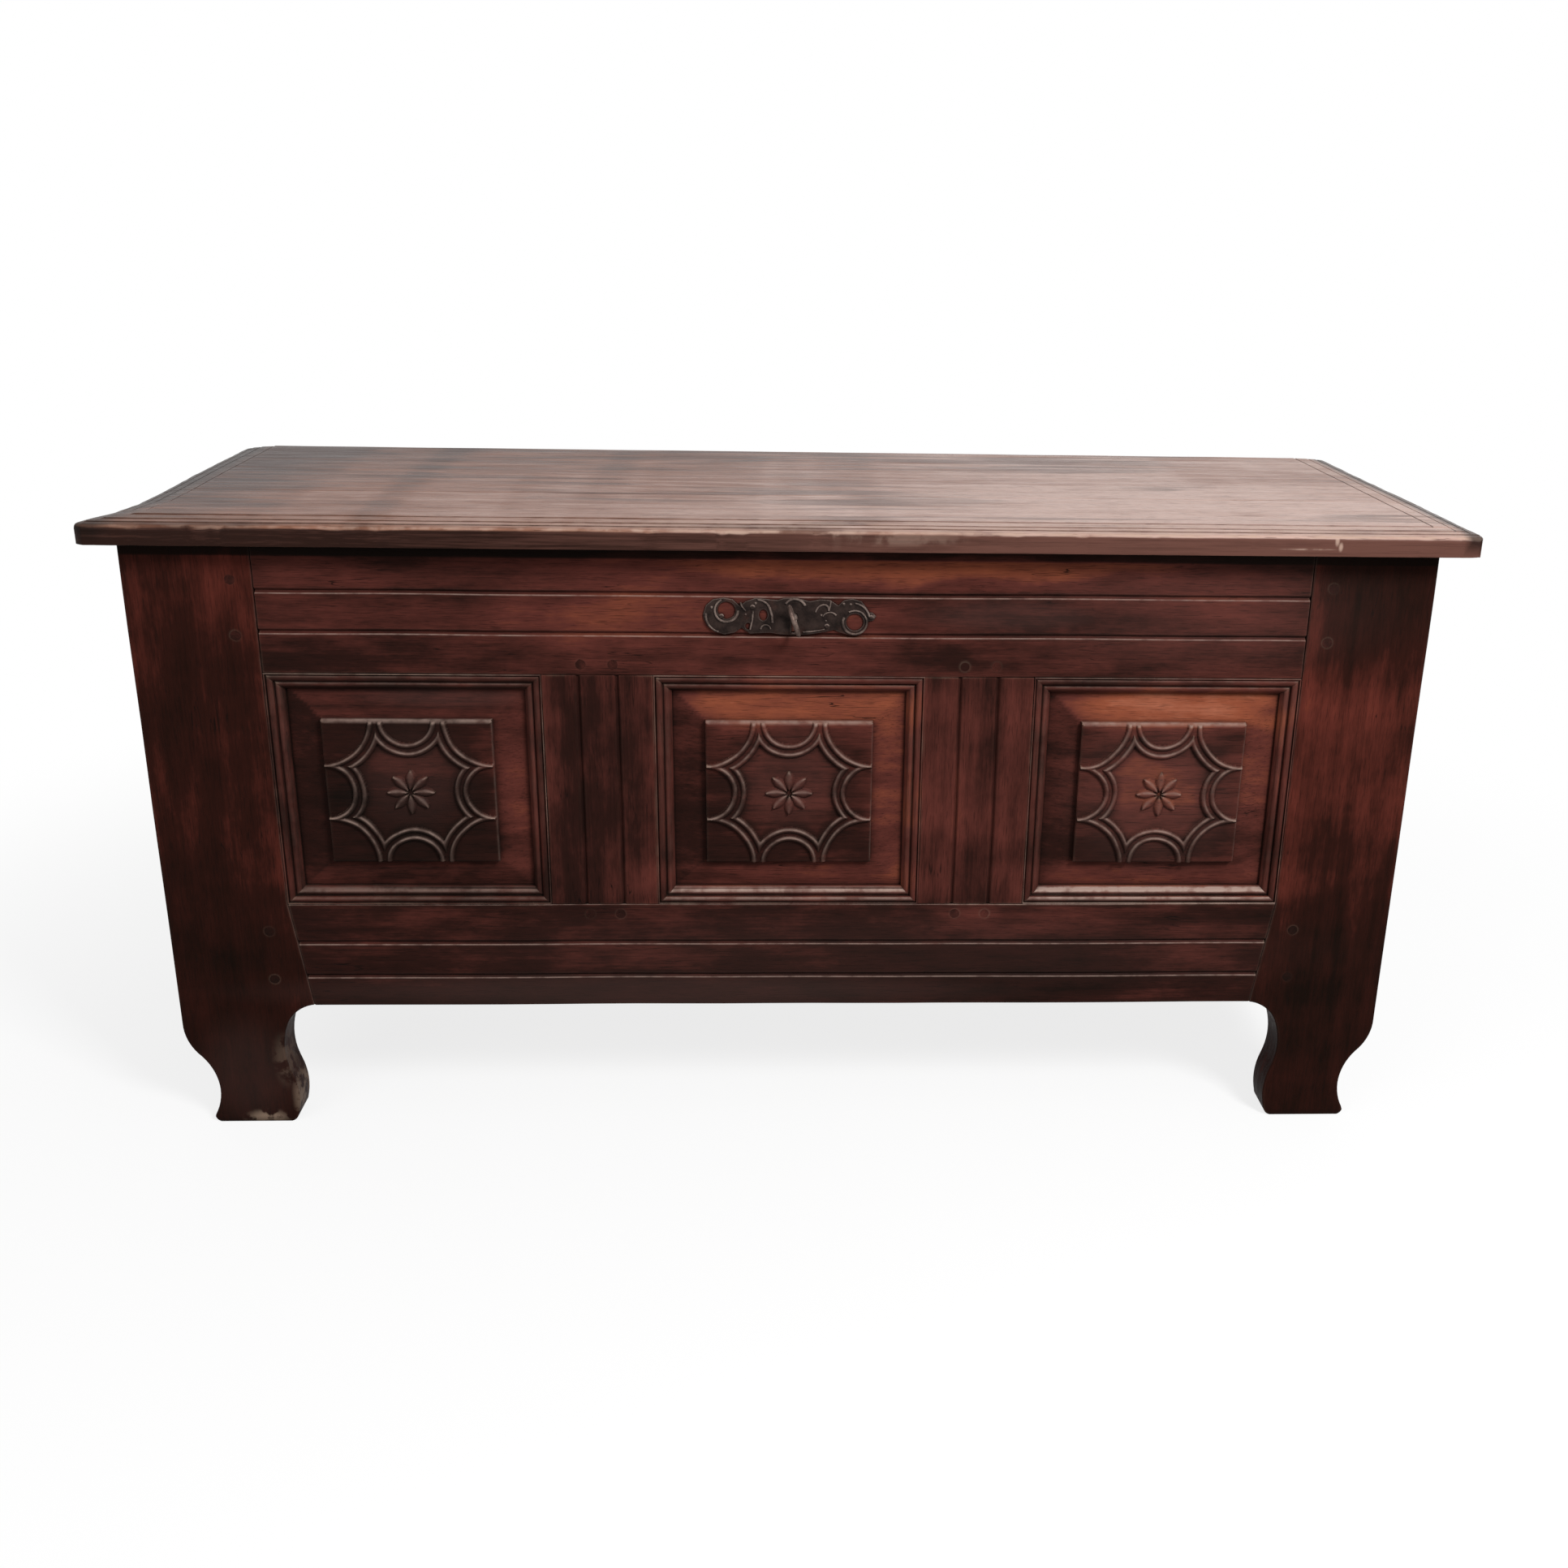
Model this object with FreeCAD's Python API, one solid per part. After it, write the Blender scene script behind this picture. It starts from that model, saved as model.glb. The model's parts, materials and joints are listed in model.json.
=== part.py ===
import FreeCAD, Part
import math
import os

# Joined oak coffer chest: frame and panel carcase on shaped feet, two-board lid on strap hinges, iron lock.
# Millimetres. +Z is up, +X is to the right seen from the front, and the front faces -Y.
# The origin is on the floor, in the middle of the whole chest's box.

Vector = FreeCAD.Vector

# Carcase frame
CARCASE_WIDTH = 1300.0
CARCASE_DEPTH = 470.0
CARCASE_HEIGHT = 644.0
STILE_WIDTH = 126.0
STILE_THICKNESS = 40.0
STILE_FLARE = 17.0              # how far a front stile widens down to the bottom rail's underside
BACK_STILE_WIDTH = 110.0
RAIL_THICKNESS = 30.0           # front rails and muntins
SIDE_RAIL_THICKNESS = 28.0
BACK_RAIL_THICKNESS = 28.0
TOP_RAIL_HEIGHT = 133.0
BOTTOM_RAIL_HEIGHT = 118.0
BOTTOM_RAIL_LIFT = 142.0        # floor to the underside of the bottom rails
MUNTIN_WIDTH = 112.0
BACK_MUNTIN_WIDTH = 100.0

# Foot at the lower end of a front stile: insets from its edges, heights above the floor, swell of each arc
FOOT_SHOULDER_LIFT = 120.0
FOOT_KNEE_INSET = 16.0
FOOT_KNEE_LIFT = 80.0
FOOT_KNEE_SWELL = 4.5
FOOT_WAIST_SWELL = 11.5
FOOT_TOE_INSET = 23.0
FOOT_TOE_LIFT = 8.0
FOOT_TOE_ROUND = 7.0
FOOT_TOE_SWELL = 2.0
FOOT_HEEL_INSET = 13.0
FOOT_HEEL_ROUND = 9.0
FOOT_CALF_INSET = 15.0
FOOT_CALF_LIFT = 58.0
FOOT_CALF_SWELL = 4.0
FOOT_NECK_SWELL = 5.5
FOOT_BRACKET_DROP = 24.0        # below the bottom rail, where the foot's bracket curve starts
FOOT_BRACKET_SWELL = 5.6

# Mortise and tenon joints
TENON_THICKNESS = 10.0
TENON_SETBACK = 11.0            # from the outer face of the frame
TENON_SHOULDER = 14.0           # from each edge of the rail or muntin
TENON_LENGTH = 60.0
MUNTIN_TENON_LENGTH = 40.0
SIDE_TENON_LENGTH = 24.0
SIDE_TENON_SETBACK = 9.0
JOINT_CLEARANCE = 0.2

# Pegs through the tenons
PEG_RADIUS = 4.5
PEG_LENGTH = 26.0
PEG_SPACING = 56.0
PEG_INSET = 22.0                # from the shoulder of a rail
MUNTIN_PEG_SPACING = 32.0
MUNTIN_PEG_INSET = 11.0         # from the edge of the rail
PEG_CLEARANCE = 0.05

# V-grooves run along the rails and muntins
V_WIDTH = 5.0
V_DEPTH = 3.0
TOP_RAIL_V_DROPS = (49.0, 90.0)         # below the top of the carcase
BOTTOM_RAIL_V_RISES = (35.0, 74.0)      # above the underside of the bottom rail
MUNTIN_V_SPACING = 39.0

# Panels held in grooves
PANEL_SETBACK = 12.0            # from the outer face of the frame to the panel's margin
PANEL_THICKNESS = 8.0
PANEL_GROOVE_DEPTH = 10.0
PANEL_EDGE_GAP = 0.8            # room for the panel to swell
PANEL_FACE_CLEARANCE = 0.15
PLAIN_FIELD_MARGIN = 45.0       # bevel width of the plain side and back panels
PLAIN_FIELD_RISE = 5.0

# Mitred moulding around each front panel
MOULDING_WIDTH = 18.0
MOULDING_FILLET = 1.5
MOULDING_BEAD_END = 8.5
MOULDING_BEAD_FALL = 2.5
MOULDING_QUIRK_DEPTH = 4.5
MOULDING_OVOLO_START = 9.5
MOULDING_OVOLO_END = 15.5
MOULDING_OVOLO_FALL = 6.0
MOULDING_SIGHT_DEPTH = 9.0
BEAD_SWELL = 2.2
OVOLO_SWELL = 2.0

# Carving of the front panels
PANEL_MARGIN = 2.0              # flat strip between the moulding and the bevel
BEVEL_RISE = 5.0
BEVEL_SIDE_WIDTH = 31.8         # from the margin in to the plaque, left and right
BEVEL_END_WIDTH = 28.5          # the same above and below the plaque
PLAQUE_STEP = 7.0
CARVING_WIDTH = 171.0           # plaque for which the star and rosette below are drawn
CARVING_HEIGHT = 154.0
STAR_EDGE = 1.0                 # from the plaque's edge to the tips of the star
STAR_LOBE_RADIUS = 26.5
STAR_CORNER_RADIUS = 49.0
STAR_RIDGE_WIDTH = 4.5
STAR_RIDGE_PITCH = 9.5
STAR_RIDGE_HEIGHT = 2.2
PETAL_COUNT = 8
PETAL_START = 3.0
PETAL_END = 23.0
PETAL_HALF_WIDTH = 3.0
PETAL_HEIGHT = 2.0
ROSETTE_BOSS_RADIUS = 3.6

# Floor of the chest
FLOOR_BOARD_COUNT = 5
FLOOR_BOARD_THICKNESS = 16.0
FLOOR_BOARD_GAP = 0.4
LEDGER_SIZE = 25.0
LEDGER_RISE = 15.0              # above the underside of the bottom rail
LEDGER_END_GAP = 5.0

# Lid
LID_THICKNESS = 25.0
LID_SIDE_OVERHANG = 30.0
LID_FRONT_OVERHANG = 32.0
LID_FRONT_BOARD_DEPTH = 180.0
LID_TONGUE_LENGTH = 8.0
LID_TONGUE_THICKNESS = 8.0
LID_CORNER_RADIUS = 7.0
LID_NOSE_RADIUS = 4.0
LID_NOSE_DROP = 5.0             # from the lid's top down to the crown of its nosing
LID_UNDER_RADIUS = 3.0
LID_STEP_WIDTHS = (11.0, 22.0, 39.0)    # quirks of the edge moulding, from the lid's edge
LID_STEP_DROPS = (4.2, 2.6, 1.2)        # below the lid's top at those quirks
LID_QUIRK_WIDTH = 2.0
LID_QUIRK_DEPTH = 1.4

# Battens under the lid
BATTEN_INSET = 110.0            # from the carcase's side to the batten's middle
BATTEN_WIDTH = 60.0
BATTEN_THICKNESS = 24.0
BATTEN_END_GAP = 12.0
BATTEN_CHAMFER = 10.0

# Wrought nails
NAIL_RADIUS = 1.5
NAIL_HEAD_RADIUS = 4.0
NAIL_HEAD_HEIGHT = 1.6
NAIL_CLEARANCE = 0.05
FLOOR_NAIL_LENGTH = 34.0
LEDGER_NAIL_LENGTH = 40.0
LEDGER_NAIL_COUNT = 4
BATTEN_NAIL_LENGTH = 38.0
BATTEN_NAIL_COUNT = 4
HINGE_NAIL_LENGTH = 20.0
LOCK_NAIL_LENGTH = 20.0
ESCUTCHEON_NAIL_LENGTH = 12.0
ESCUTCHEON_NAIL_HEAD = 2.6

# Strap hinges at the back
HINGE_INSET = 230.0             # from the carcase's side to the hinge's middle
STRAP_WIDTH = 32.0
STRAP_THICKNESS = 3.0
STRAP_LENGTH = 220.0
STRAP_NAIL_PITCH = 46.0
STRAP_NAIL_COUNT = 4
BARREL_RADIUS = 6.0
BARREL_GAP = 0.3                # between the barrel and the back of the chest
HINGE_PIN_RADIUS = 3.0
HINGE_PIN_CLEARANCE = 0.05
PIN_HEAD_RADIUS = 4.5
PIN_HEAD_HEIGHT = 2.0
KNUCKLE_WIDTH = 12.0
KNUCKLE_GAP = 0.4
BACK_PLATE_HEIGHT = 70.0
BACK_PLATE_NAIL_INSET = 8.0

# Lock plate on the front
ESCUTCHEON_LENGTH = 174.0
ESCUTCHEON_HEIGHT = 38.0
ESCUTCHEON_THICKNESS = 2.0
ESCUTCHEON_NECK_LENGTH = 12.0
ESCUTCHEON_NECK_HEIGHT = 12.0

# Key
KEY_X = 4.0
KEY_DROP = 71.0                 # below the top of the carcase
KEY_SHANK_RADIUS = 3.5
KEY_HOLE_CLEARANCE = 0.3
KEY_PILOT_RADIUS = 2.5
KEY_PILOT_CLEARANCE = 0.1
KEY_COLLAR_RADIUS = 5.2
KEY_NECK_LENGTH = 5.0
KEY_BOW_LENGTH = 24.0
KEY_BOW_HEIGHT = 34.0
KEY_BOW_WIRE = 6.0
KEY_BIT_RADIUS = 16.0
KEY_BIT_THICKNESS = 4.0
KEY_BIT_WIDTH = 9.0
KEY_REST_TILT = 18.0            # degrees that the key has been turned from upright

# Lock behind the top rail
LOCK_PLATE_THICKNESS = 2.0
LOCK_PLATE_BORDER = 12.0
LOCK_WALL = 2.0
LOCK_LEFT = 48.0                # case, left of the key
LOCK_RIGHT = 46.0
LOCK_BELOW = 30.0
LOCK_ABOVE = 48.0
STAPLE_SWING_GAP = 5.0          # room in front of the staple for its swing with the lid
STAPLE_BACK_GAP = 2.0
STAPLE_SIDE_GAP = 1.5
STAPLE_LEFT = 28.0              # left of the key
STAPLE_WIDTH = 17.0
STAPLE_THICKNESS = 5.0
STAPLE_EYE_WIDTH = 10.0
STAPLE_EYE_HEIGHT = 15.0
STAPLE_EYE_WALL = 6.0
STAPLE_BASE_LENGTH = 36.0
STAPLE_BASE_THICKNESS = 2.5
STAPLE_NAIL_INSET = 5.0
BOLT_THICKNESS = 5.0
BOLT_BAR_HEIGHT = 10.0
BOLT_BAR_RISE = 22.0            # above the key
BOLT_NOSE_GAP = 2.0             # between the staple and the drawn bolt
BOLT_WEB_WIDTH = 10.0
BOLT_WEB_RIGHT = 34.0           # right of the key
BOLT_RUNNING_GAP = 0.2
BOLT_TOE_DROP = 18.0            # below the key, top of the bolt's lower bar
BOLT_TOOTH_WIDTH = 6.0
BOLT_TOOTH_HEIGHT = 8.0
BOLT_NOTCH_WIDTH = 10.0
BOLT_NOTCH_RADIUS = 13.0        # where the key's bit drives the notch
SPRING_THICKNESS = 1.0
SPRING_WIDTH = 4.0
SPRING_FOOT = 10.0

# Places worked out from the sizes above
HALF_WIDTH = CARCASE_WIDTH / 2
STILE_INNER = HALF_WIDTH - STILE_WIDTH
BACK_STILE_INNER = HALF_WIDTH - BACK_STILE_WIDTH
TOP_RAIL_LOW = CARCASE_HEIGHT - TOP_RAIL_HEIGHT
BOTTOM_RAIL_TOP = BOTTOM_RAIL_LIFT + BOTTOM_RAIL_HEIGHT
OPENING_WIDTH = (2 * STILE_INNER - 2 * MUNTIN_WIDTH) / 3
OPENING_HEIGHT = TOP_RAIL_LOW - BOTTOM_RAIL_TOP
PLAQUE_WIDTH = OPENING_WIDTH - 2 * (MOULDING_WIDTH + PANEL_MARGIN + BEVEL_SIDE_WIDTH)
PLAQUE_HEIGHT = OPENING_HEIGHT - 2 * (MOULDING_WIDTH + PANEL_MARGIN + BEVEL_END_WIDTH)
CARVING_SCALE = min(PLAQUE_WIDTH / CARVING_WIDTH, PLAQUE_HEIGHT / CARVING_HEIGHT)
MUNTIN_X = (OPENING_WIDTH + MUNTIN_WIDTH) / 2
PANEL_XS = {"left": -OPENING_WIDTH - MUNTIN_WIDTH, "centre": 0.0, "right": OPENING_WIDTH + MUNTIN_WIDTH}
FRONT_REACH = max(LID_FRONT_OVERHANG, ESCUTCHEON_THICKNESS + KEY_NECK_LENGTH + KEY_BOW_LENGTH)
BACK_REACH = BARREL_GAP + 2 * BARREL_RADIUS
FRONT = FRONT_REACH - (FRONT_REACH + CARCASE_DEPTH + BACK_REACH) / 2
BACK = FRONT + CARCASE_DEPTH
RAIL_INSIDE = FRONT + RAIL_THICKNESS
LID_HALF_WIDTH = HALF_WIDTH + LID_SIDE_OVERHANG
BATTEN_X = HALF_WIDTH - BATTEN_INSET
HINGE_X = HALF_WIDTH - HINGE_INSET
LID_FRONT = FRONT - LID_FRONT_OVERHANG
LID_TOP = CARCASE_HEIGHT + LID_THICKNESS
BOARD_JOINT = LID_FRONT + LID_FRONT_BOARD_DEPTH
HINGE_AXIS_Y = BACK + BARREL_GAP + BARREL_RADIUS
HINGE_AXIS_Z = CARCASE_HEIGHT + STRAP_THICKNESS - BARREL_RADIUS
KEY_Z = CARCASE_HEIGHT - KEY_DROP
LOCK_FACE = RAIL_INSIDE + LOCK_PLATE_THICKNESS
STAPLE_FRONT = LOCK_FACE + STAPLE_SWING_GAP
STAPLE_Y = STAPLE_FRONT + STAPLE_WIDTH / 2
STAPLE_X = KEY_X - STAPLE_LEFT
LOCK_INSIDE_BACK = STAPLE_FRONT + STAPLE_WIDTH + STAPLE_BACK_GAP
LOCK_BACK = LOCK_INSIDE_BACK + LOCK_WALL

Y_AXIS = Vector(0, 1, 0)


# Helpers

def box(x0, x1, y0, y1, z0, z1):
    return Part.makeBox(x1 - x0, y1 - y0, z1 - z0, Vector(x0, y0, z0))


def rod(start, direction, radius, length):
    return Part.makeCylinder(radius, length, start, direction)


def mirrored(shape):
    return shape.mirror(Vector(0, 0, 0), Vector(1, 0, 0))


def grown(bounds, clearance):
    x0, x1, y0, y1, z0, z1 = bounds
    return box(x0 - clearance, x1 + clearance, y0 - clearance, y1 + clearance, z0 - clearance, z1 + clearance)


def fused(shapes):
    return shapes[0].multiFuse(shapes[1:]).removeSplitter()


def outline(start, runs):
    """Closed wire from (point, swell) runs; swell is an arc's height left of its chord, 0 for a line."""
    edges = []
    here = start
    for point, swell in runs + [(start, 0.0)]:
        if here.distanceToPoint(point) > 1e-6:
            edges.append(run_edge(here, point, swell))
        here = point
    return Part.Wire(edges)


def run_edge(here, point, swell):
    if swell == 0.0:
        return Part.LineSegment(here, point).toShape()
    normal = Vector(here.z - point.z, 0, point.x - here.x).normalize()
    middle = (here + point) * 0.5 + normal * swell
    return Part.Arc(here, middle, point).toShape()


def xz(x, z):
    return Vector(x, 0, z)


def plate(wire, y0, y1):
    """Solid of an outline drawn in the upright plane, from depth y0 to y1."""
    face = Part.Face(wire)
    face.translate(Vector(0, y0, 0))
    return face.extrude(Vector(0, y1 - y0, 0))


def polygon_plate(points, y0, y1):
    return plate(outline(xz(*points[0]), [(xz(*point), 0.0) for point in points[1:]]), y0, y1)


def along_x(points, x0, x1):
    """Solid of a section given as (y, z) points, run from x0 to x1."""
    corners = [Vector(x0, y, z) for y, z in points]
    return Part.Face(Part.makePolygon(corners + corners[:1])).extrude(Vector(x1 - x0, 0, 0))


def rectangle(corner, side, rise):
    points = [corner, corner + side, corner + side + rise, corner + rise]
    return Part.makePolygon(points + points[:1])


def nail(place, inward, length, head_radius=NAIL_HEAD_RADIUS):
    """Shank into the wood along inward, and a low domed head standing on the surface at place."""
    shank = rod(place, inward, NAIL_RADIUS, length)
    head = Part.makeCone(head_radius, head_radius / 2, NAIL_HEAD_HEIGHT, place, inward * -1)
    return shank.fuse(head).removeSplitter()


def nail_holes(nails, length):
    return [rod(place, inward, NAIL_RADIUS + NAIL_CLEARANCE, length) for place, inward in nails]


def cut(shape, cutters):
    return shape.cut(cutters) if cutters else shape


def write(node, shape):
    shape.exportStep(os.path.join("parts", node + ".step"))


# Joints of the front frame: tenon bounds and pegs, shared by both pieces of each joint

def top_rail_tenon(side):
    reach = sorted((side * (STILE_INNER - TENON_SHOULDER), side * (STILE_INNER + TENON_LENGTH)))
    return (*reach, FRONT + TENON_SETBACK, FRONT + TENON_SETBACK + TENON_THICKNESS,
            TOP_RAIL_LOW + TENON_SHOULDER, CARCASE_HEIGHT - TENON_SHOULDER)


def bottom_rail_tenon(side):
    start = STILE_INNER - STILE_FLARE - TENON_SHOULDER
    reach = sorted((side * start, side * (STILE_INNER + TENON_LENGTH)))
    return (*reach, FRONT + TENON_SETBACK, FRONT + TENON_SETBACK + TENON_THICKNESS,
            BOTTOM_RAIL_LIFT + TENON_SHOULDER, BOTTOM_RAIL_TOP - TENON_SHOULDER)


def muntin_tenon(x):
    half = MUNTIN_WIDTH / 2 - TENON_SHOULDER
    return (x - half, x + half, FRONT + TENON_SETBACK, FRONT + TENON_SETBACK + TENON_THICKNESS,
            BOTTOM_RAIL_TOP - MUNTIN_TENON_LENGTH, TOP_RAIL_LOW + MUNTIN_TENON_LENGTH)


def rail_peg_heights():
    heights = []
    for middle in ((TOP_RAIL_LOW + CARCASE_HEIGHT) / 2, (BOTTOM_RAIL_LIFT + BOTTOM_RAIL_TOP) / 2):
        heights += [middle - PEG_SPACING / 2, middle + PEG_SPACING / 2]
    return heights


def front_pegs():
    places = []
    for side in (-1, 1):
        places += [Vector(side * (STILE_INNER + PEG_INSET), FRONT, z) for z in rail_peg_heights()]
        for step in (-0.5, 0.5):
            x = side * MUNTIN_X + step * MUNTIN_PEG_SPACING
            places.append(Vector(x, FRONT, TOP_RAIL_LOW + MUNTIN_PEG_INSET))
            places.append(Vector(x, FRONT, BOTTOM_RAIL_TOP - MUNTIN_PEG_INSET))
    return places, Y_AXIS


def back_pegs():
    places = []
    for side in (-1, 1):
        places += [Vector(side * (BACK_STILE_INNER + PEG_INSET), BACK, z) for z in rail_peg_heights()]
    for step in (-0.5, 0.5):
        x = step * MUNTIN_PEG_SPACING
        places.append(Vector(x, BACK, TOP_RAIL_LOW + MUNTIN_PEG_INSET))
        places.append(Vector(x, BACK, BOTTOM_RAIL_TOP - MUNTIN_PEG_INSET))
    return places, Y_AXIS * -1


def side_pegs(side):
    half_tenon = SIDE_TENON_LENGTH / 2
    depths = (FRONT + STILE_THICKNESS - half_tenon, BACK - STILE_THICKNESS + half_tenon)
    places = [Vector(side * HALF_WIDTH, y, z) for y in depths for z in rail_peg_heights()]
    return places, Vector(-side, 0, 0)


def peg_solids(pegs):
    places, inward = pegs
    return [rod(place, inward, PEG_RADIUS, PEG_LENGTH) for place in places]


def peg_holes(pegs):
    places, inward = pegs
    return [rod(place, inward, PEG_RADIUS + PEG_CLEARANCE, PEG_LENGTH) for place in places]


FRONT_PEG_HOLES = peg_holes(front_pegs())
BACK_PEG_HOLES = peg_holes(back_pegs())
SIDE_PEG_HOLES = peg_holes(side_pegs(1))


# Grooves that hold the panels

def front_groove(x0, x1, z0, z1):
    start = FRONT + PANEL_SETBACK - PANEL_FACE_CLEARANCE
    return box(x0, x1, start, start + PANEL_THICKNESS + 2 * PANEL_FACE_CLEARANCE, z0, z1)


def back_groove(x0, x1, z0, z1):
    end = BACK - PANEL_SETBACK + PANEL_FACE_CLEARANCE
    return box(x0, x1, end - PANEL_THICKNESS - 2 * PANEL_FACE_CLEARANCE, end, z0, z1)


def side_groove(y0, y1, z0, z1):
    end = HALF_WIDTH - PANEL_SETBACK + PANEL_FACE_CLEARANCE
    return box(end - PANEL_THICKNESS - 2 * PANEL_FACE_CLEARANCE, end, y0, y1, z0, z1)


GROOVE_LOW = BOTTOM_RAIL_TOP - PANEL_GROOVE_DEPTH
GROOVE_HIGH = TOP_RAIL_LOW + PANEL_GROOVE_DEPTH


def v_groove_across(x0, x1, z):
    half = V_WIDTH / 2
    return along_x([(FRONT, z - half), (FRONT + V_DEPTH, z), (FRONT, z + half)], x0, x1)


def v_groove_upright(x, z0, z1):
    half = V_WIDTH / 2
    corners = [Vector(x - half, FRONT, z0), Vector(x, FRONT + V_DEPTH, z0), Vector(x + half, FRONT, z0)]
    return Part.Face(Part.makePolygon(corners + corners[:1])).extrude(Vector(0, 0, z1 - z0))


# Stiles

def front_stile_wire():
    outer = HALF_WIDTH
    inner = STILE_INNER
    toe = outer - FOOT_TOE_INSET
    heel = inner + FOOT_HEEL_INSET
    calf = inner + FOOT_CALF_INSET
    return outline(xz(inner, CARCASE_HEIGHT), [
        (xz(outer, CARCASE_HEIGHT), 0.0),
        (xz(outer, FOOT_SHOULDER_LIFT), 0.0),
        (xz(outer - FOOT_KNEE_INSET, FOOT_KNEE_LIFT), FOOT_KNEE_SWELL),
        (xz(toe, FOOT_TOE_LIFT), -FOOT_WAIST_SWELL),
        (xz(toe - FOOT_TOE_ROUND, 0), FOOT_TOE_SWELL),
        (xz(heel + FOOT_HEEL_ROUND, 0), 0.0),
        (xz(heel, FOOT_TOE_LIFT), FOOT_TOE_SWELL),
        (xz(calf, FOOT_CALF_LIFT), FOOT_CALF_SWELL),
        (xz(calf, BOTTOM_RAIL_LIFT - FOOT_BRACKET_DROP), -FOOT_NECK_SWELL),
        (xz(inner - STILE_FLARE, BOTTOM_RAIL_LIFT), -FOOT_BRACKET_SWELL),
        (xz(inner, BOTTOM_RAIL_TOP), 0.0),
    ])


def side_rail_tenons():
    """Bounds of the four tenons of the right side's rails: front and back ends, top and bottom rails."""
    x1 = HALF_WIDTH - SIDE_TENON_SETBACK
    x0 = x1 - TENON_THICKNESS
    spans = ((TOP_RAIL_LOW, CARCASE_HEIGHT), (BOTTOM_RAIL_LIFT, BOTTOM_RAIL_TOP))
    front = FRONT + STILE_THICKNESS
    back = BACK - STILE_THICKNESS
    tenons = {}
    for rail, (low, high) in zip(("top", "bottom"), spans):
        z0, z1 = low + TENON_SHOULDER, high - TENON_SHOULDER
        tenons[rail] = [(x0, x1, front - SIDE_TENON_LENGTH, front + TENON_SHOULDER, z0, z1),
                        (x0, x1, back - TENON_SHOULDER, back + SIDE_TENON_LENGTH, z0, z1)]
    return tenons


SIDE_TENONS = side_rail_tenons()


def side_mortises(end):
    return [grown(SIDE_TENONS[rail][end], JOINT_CLEARANCE) for rail in ("top", "bottom")]


def front_stile():
    body = plate(front_stile_wire(), FRONT, FRONT + STILE_THICKNESS)
    cutters = [grown(top_rail_tenon(1), JOINT_CLEARANCE), grown(bottom_rail_tenon(1), JOINT_CLEARANCE)]
    cutters.append(front_groove(STILE_INNER - STILE_FLARE, STILE_INNER + PANEL_GROOVE_DEPTH,
                                GROOVE_LOW, GROOVE_HIGH))
    inside = FRONT + STILE_THICKNESS
    cutters.append(side_groove(inside - PANEL_GROOVE_DEPTH, inside, GROOVE_LOW, GROOVE_HIGH))
    return cut(body, cutters + side_mortises(0) + FRONT_PEG_HOLES + SIDE_PEG_HOLES)


def back_rail_tenon(side, low, high):
    reach = sorted((side * (BACK_STILE_INNER - TENON_SHOULDER), side * (BACK_STILE_INNER + TENON_LENGTH)))
    return (*reach, BACK - TENON_SETBACK - TENON_THICKNESS, BACK - TENON_SETBACK,
            low + TENON_SHOULDER, high - TENON_SHOULDER)


def back_stile():
    inside = BACK - STILE_THICKNESS
    body = box(BACK_STILE_INNER, HALF_WIDTH, inside, BACK, 0, CARCASE_HEIGHT)
    cutters = [grown(back_rail_tenon(1, TOP_RAIL_LOW, CARCASE_HEIGHT), JOINT_CLEARANCE),
               grown(back_rail_tenon(1, BOTTOM_RAIL_LIFT, BOTTOM_RAIL_TOP), JOINT_CLEARANCE),
               back_groove(BACK_STILE_INNER, BACK_STILE_INNER + PANEL_GROOVE_DEPTH, GROOVE_LOW, GROOVE_HIGH),
               side_groove(inside, inside + PANEL_GROOVE_DEPTH, GROOVE_LOW, GROOVE_HIGH)]
    return cut(body, cutters + side_mortises(1) + BACK_PEG_HOLES + SIDE_PEG_HOLES)


# Front rails and muntins

def key_hole(y0, y1):
    """Round hole for the key's shank with a slot below it for the bit."""
    radius = KEY_SHANK_RADIUS + KEY_HOLE_CLEARANCE
    half_slot = KEY_BIT_THICKNESS / 2 + KEY_HOLE_CLEARANCE
    low = KEY_Z - KEY_BIT_RADIUS - KEY_HOLE_CLEARANCE
    slot = box(KEY_X - half_slot, KEY_X + half_slot, y0, y1, low, KEY_Z)
    return rod(Vector(KEY_X, y0, KEY_Z), Y_AXIS, radius, y1 - y0).fuse(slot)


def front_top_rail():
    body = box(-STILE_INNER, STILE_INNER, FRONT, RAIL_INSIDE, TOP_RAIL_LOW, CARCASE_HEIGHT)
    body = fused([body, box(*top_rail_tenon(-1)), box(*top_rail_tenon(1))])
    cutters = [v_groove_across(-STILE_INNER, STILE_INNER, CARCASE_HEIGHT - drop) for drop in TOP_RAIL_V_DROPS]
    cutters.append(front_groove(-STILE_INNER, STILE_INNER, TOP_RAIL_LOW, GROOVE_HIGH))
    cutters += [grown(muntin_tenon(side * MUNTIN_X), JOINT_CLEARANCE) for side in (-1, 1)]
    cutters.append(key_hole(FRONT, RAIL_INSIDE))
    cutters += nail_holes(LOCK_NAILS, LOCK_NAIL_LENGTH) + nail_holes(ESCUTCHEON_NAILS, ESCUTCHEON_NAIL_LENGTH)
    return cut(body, cutters + FRONT_PEG_HOLES)


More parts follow.
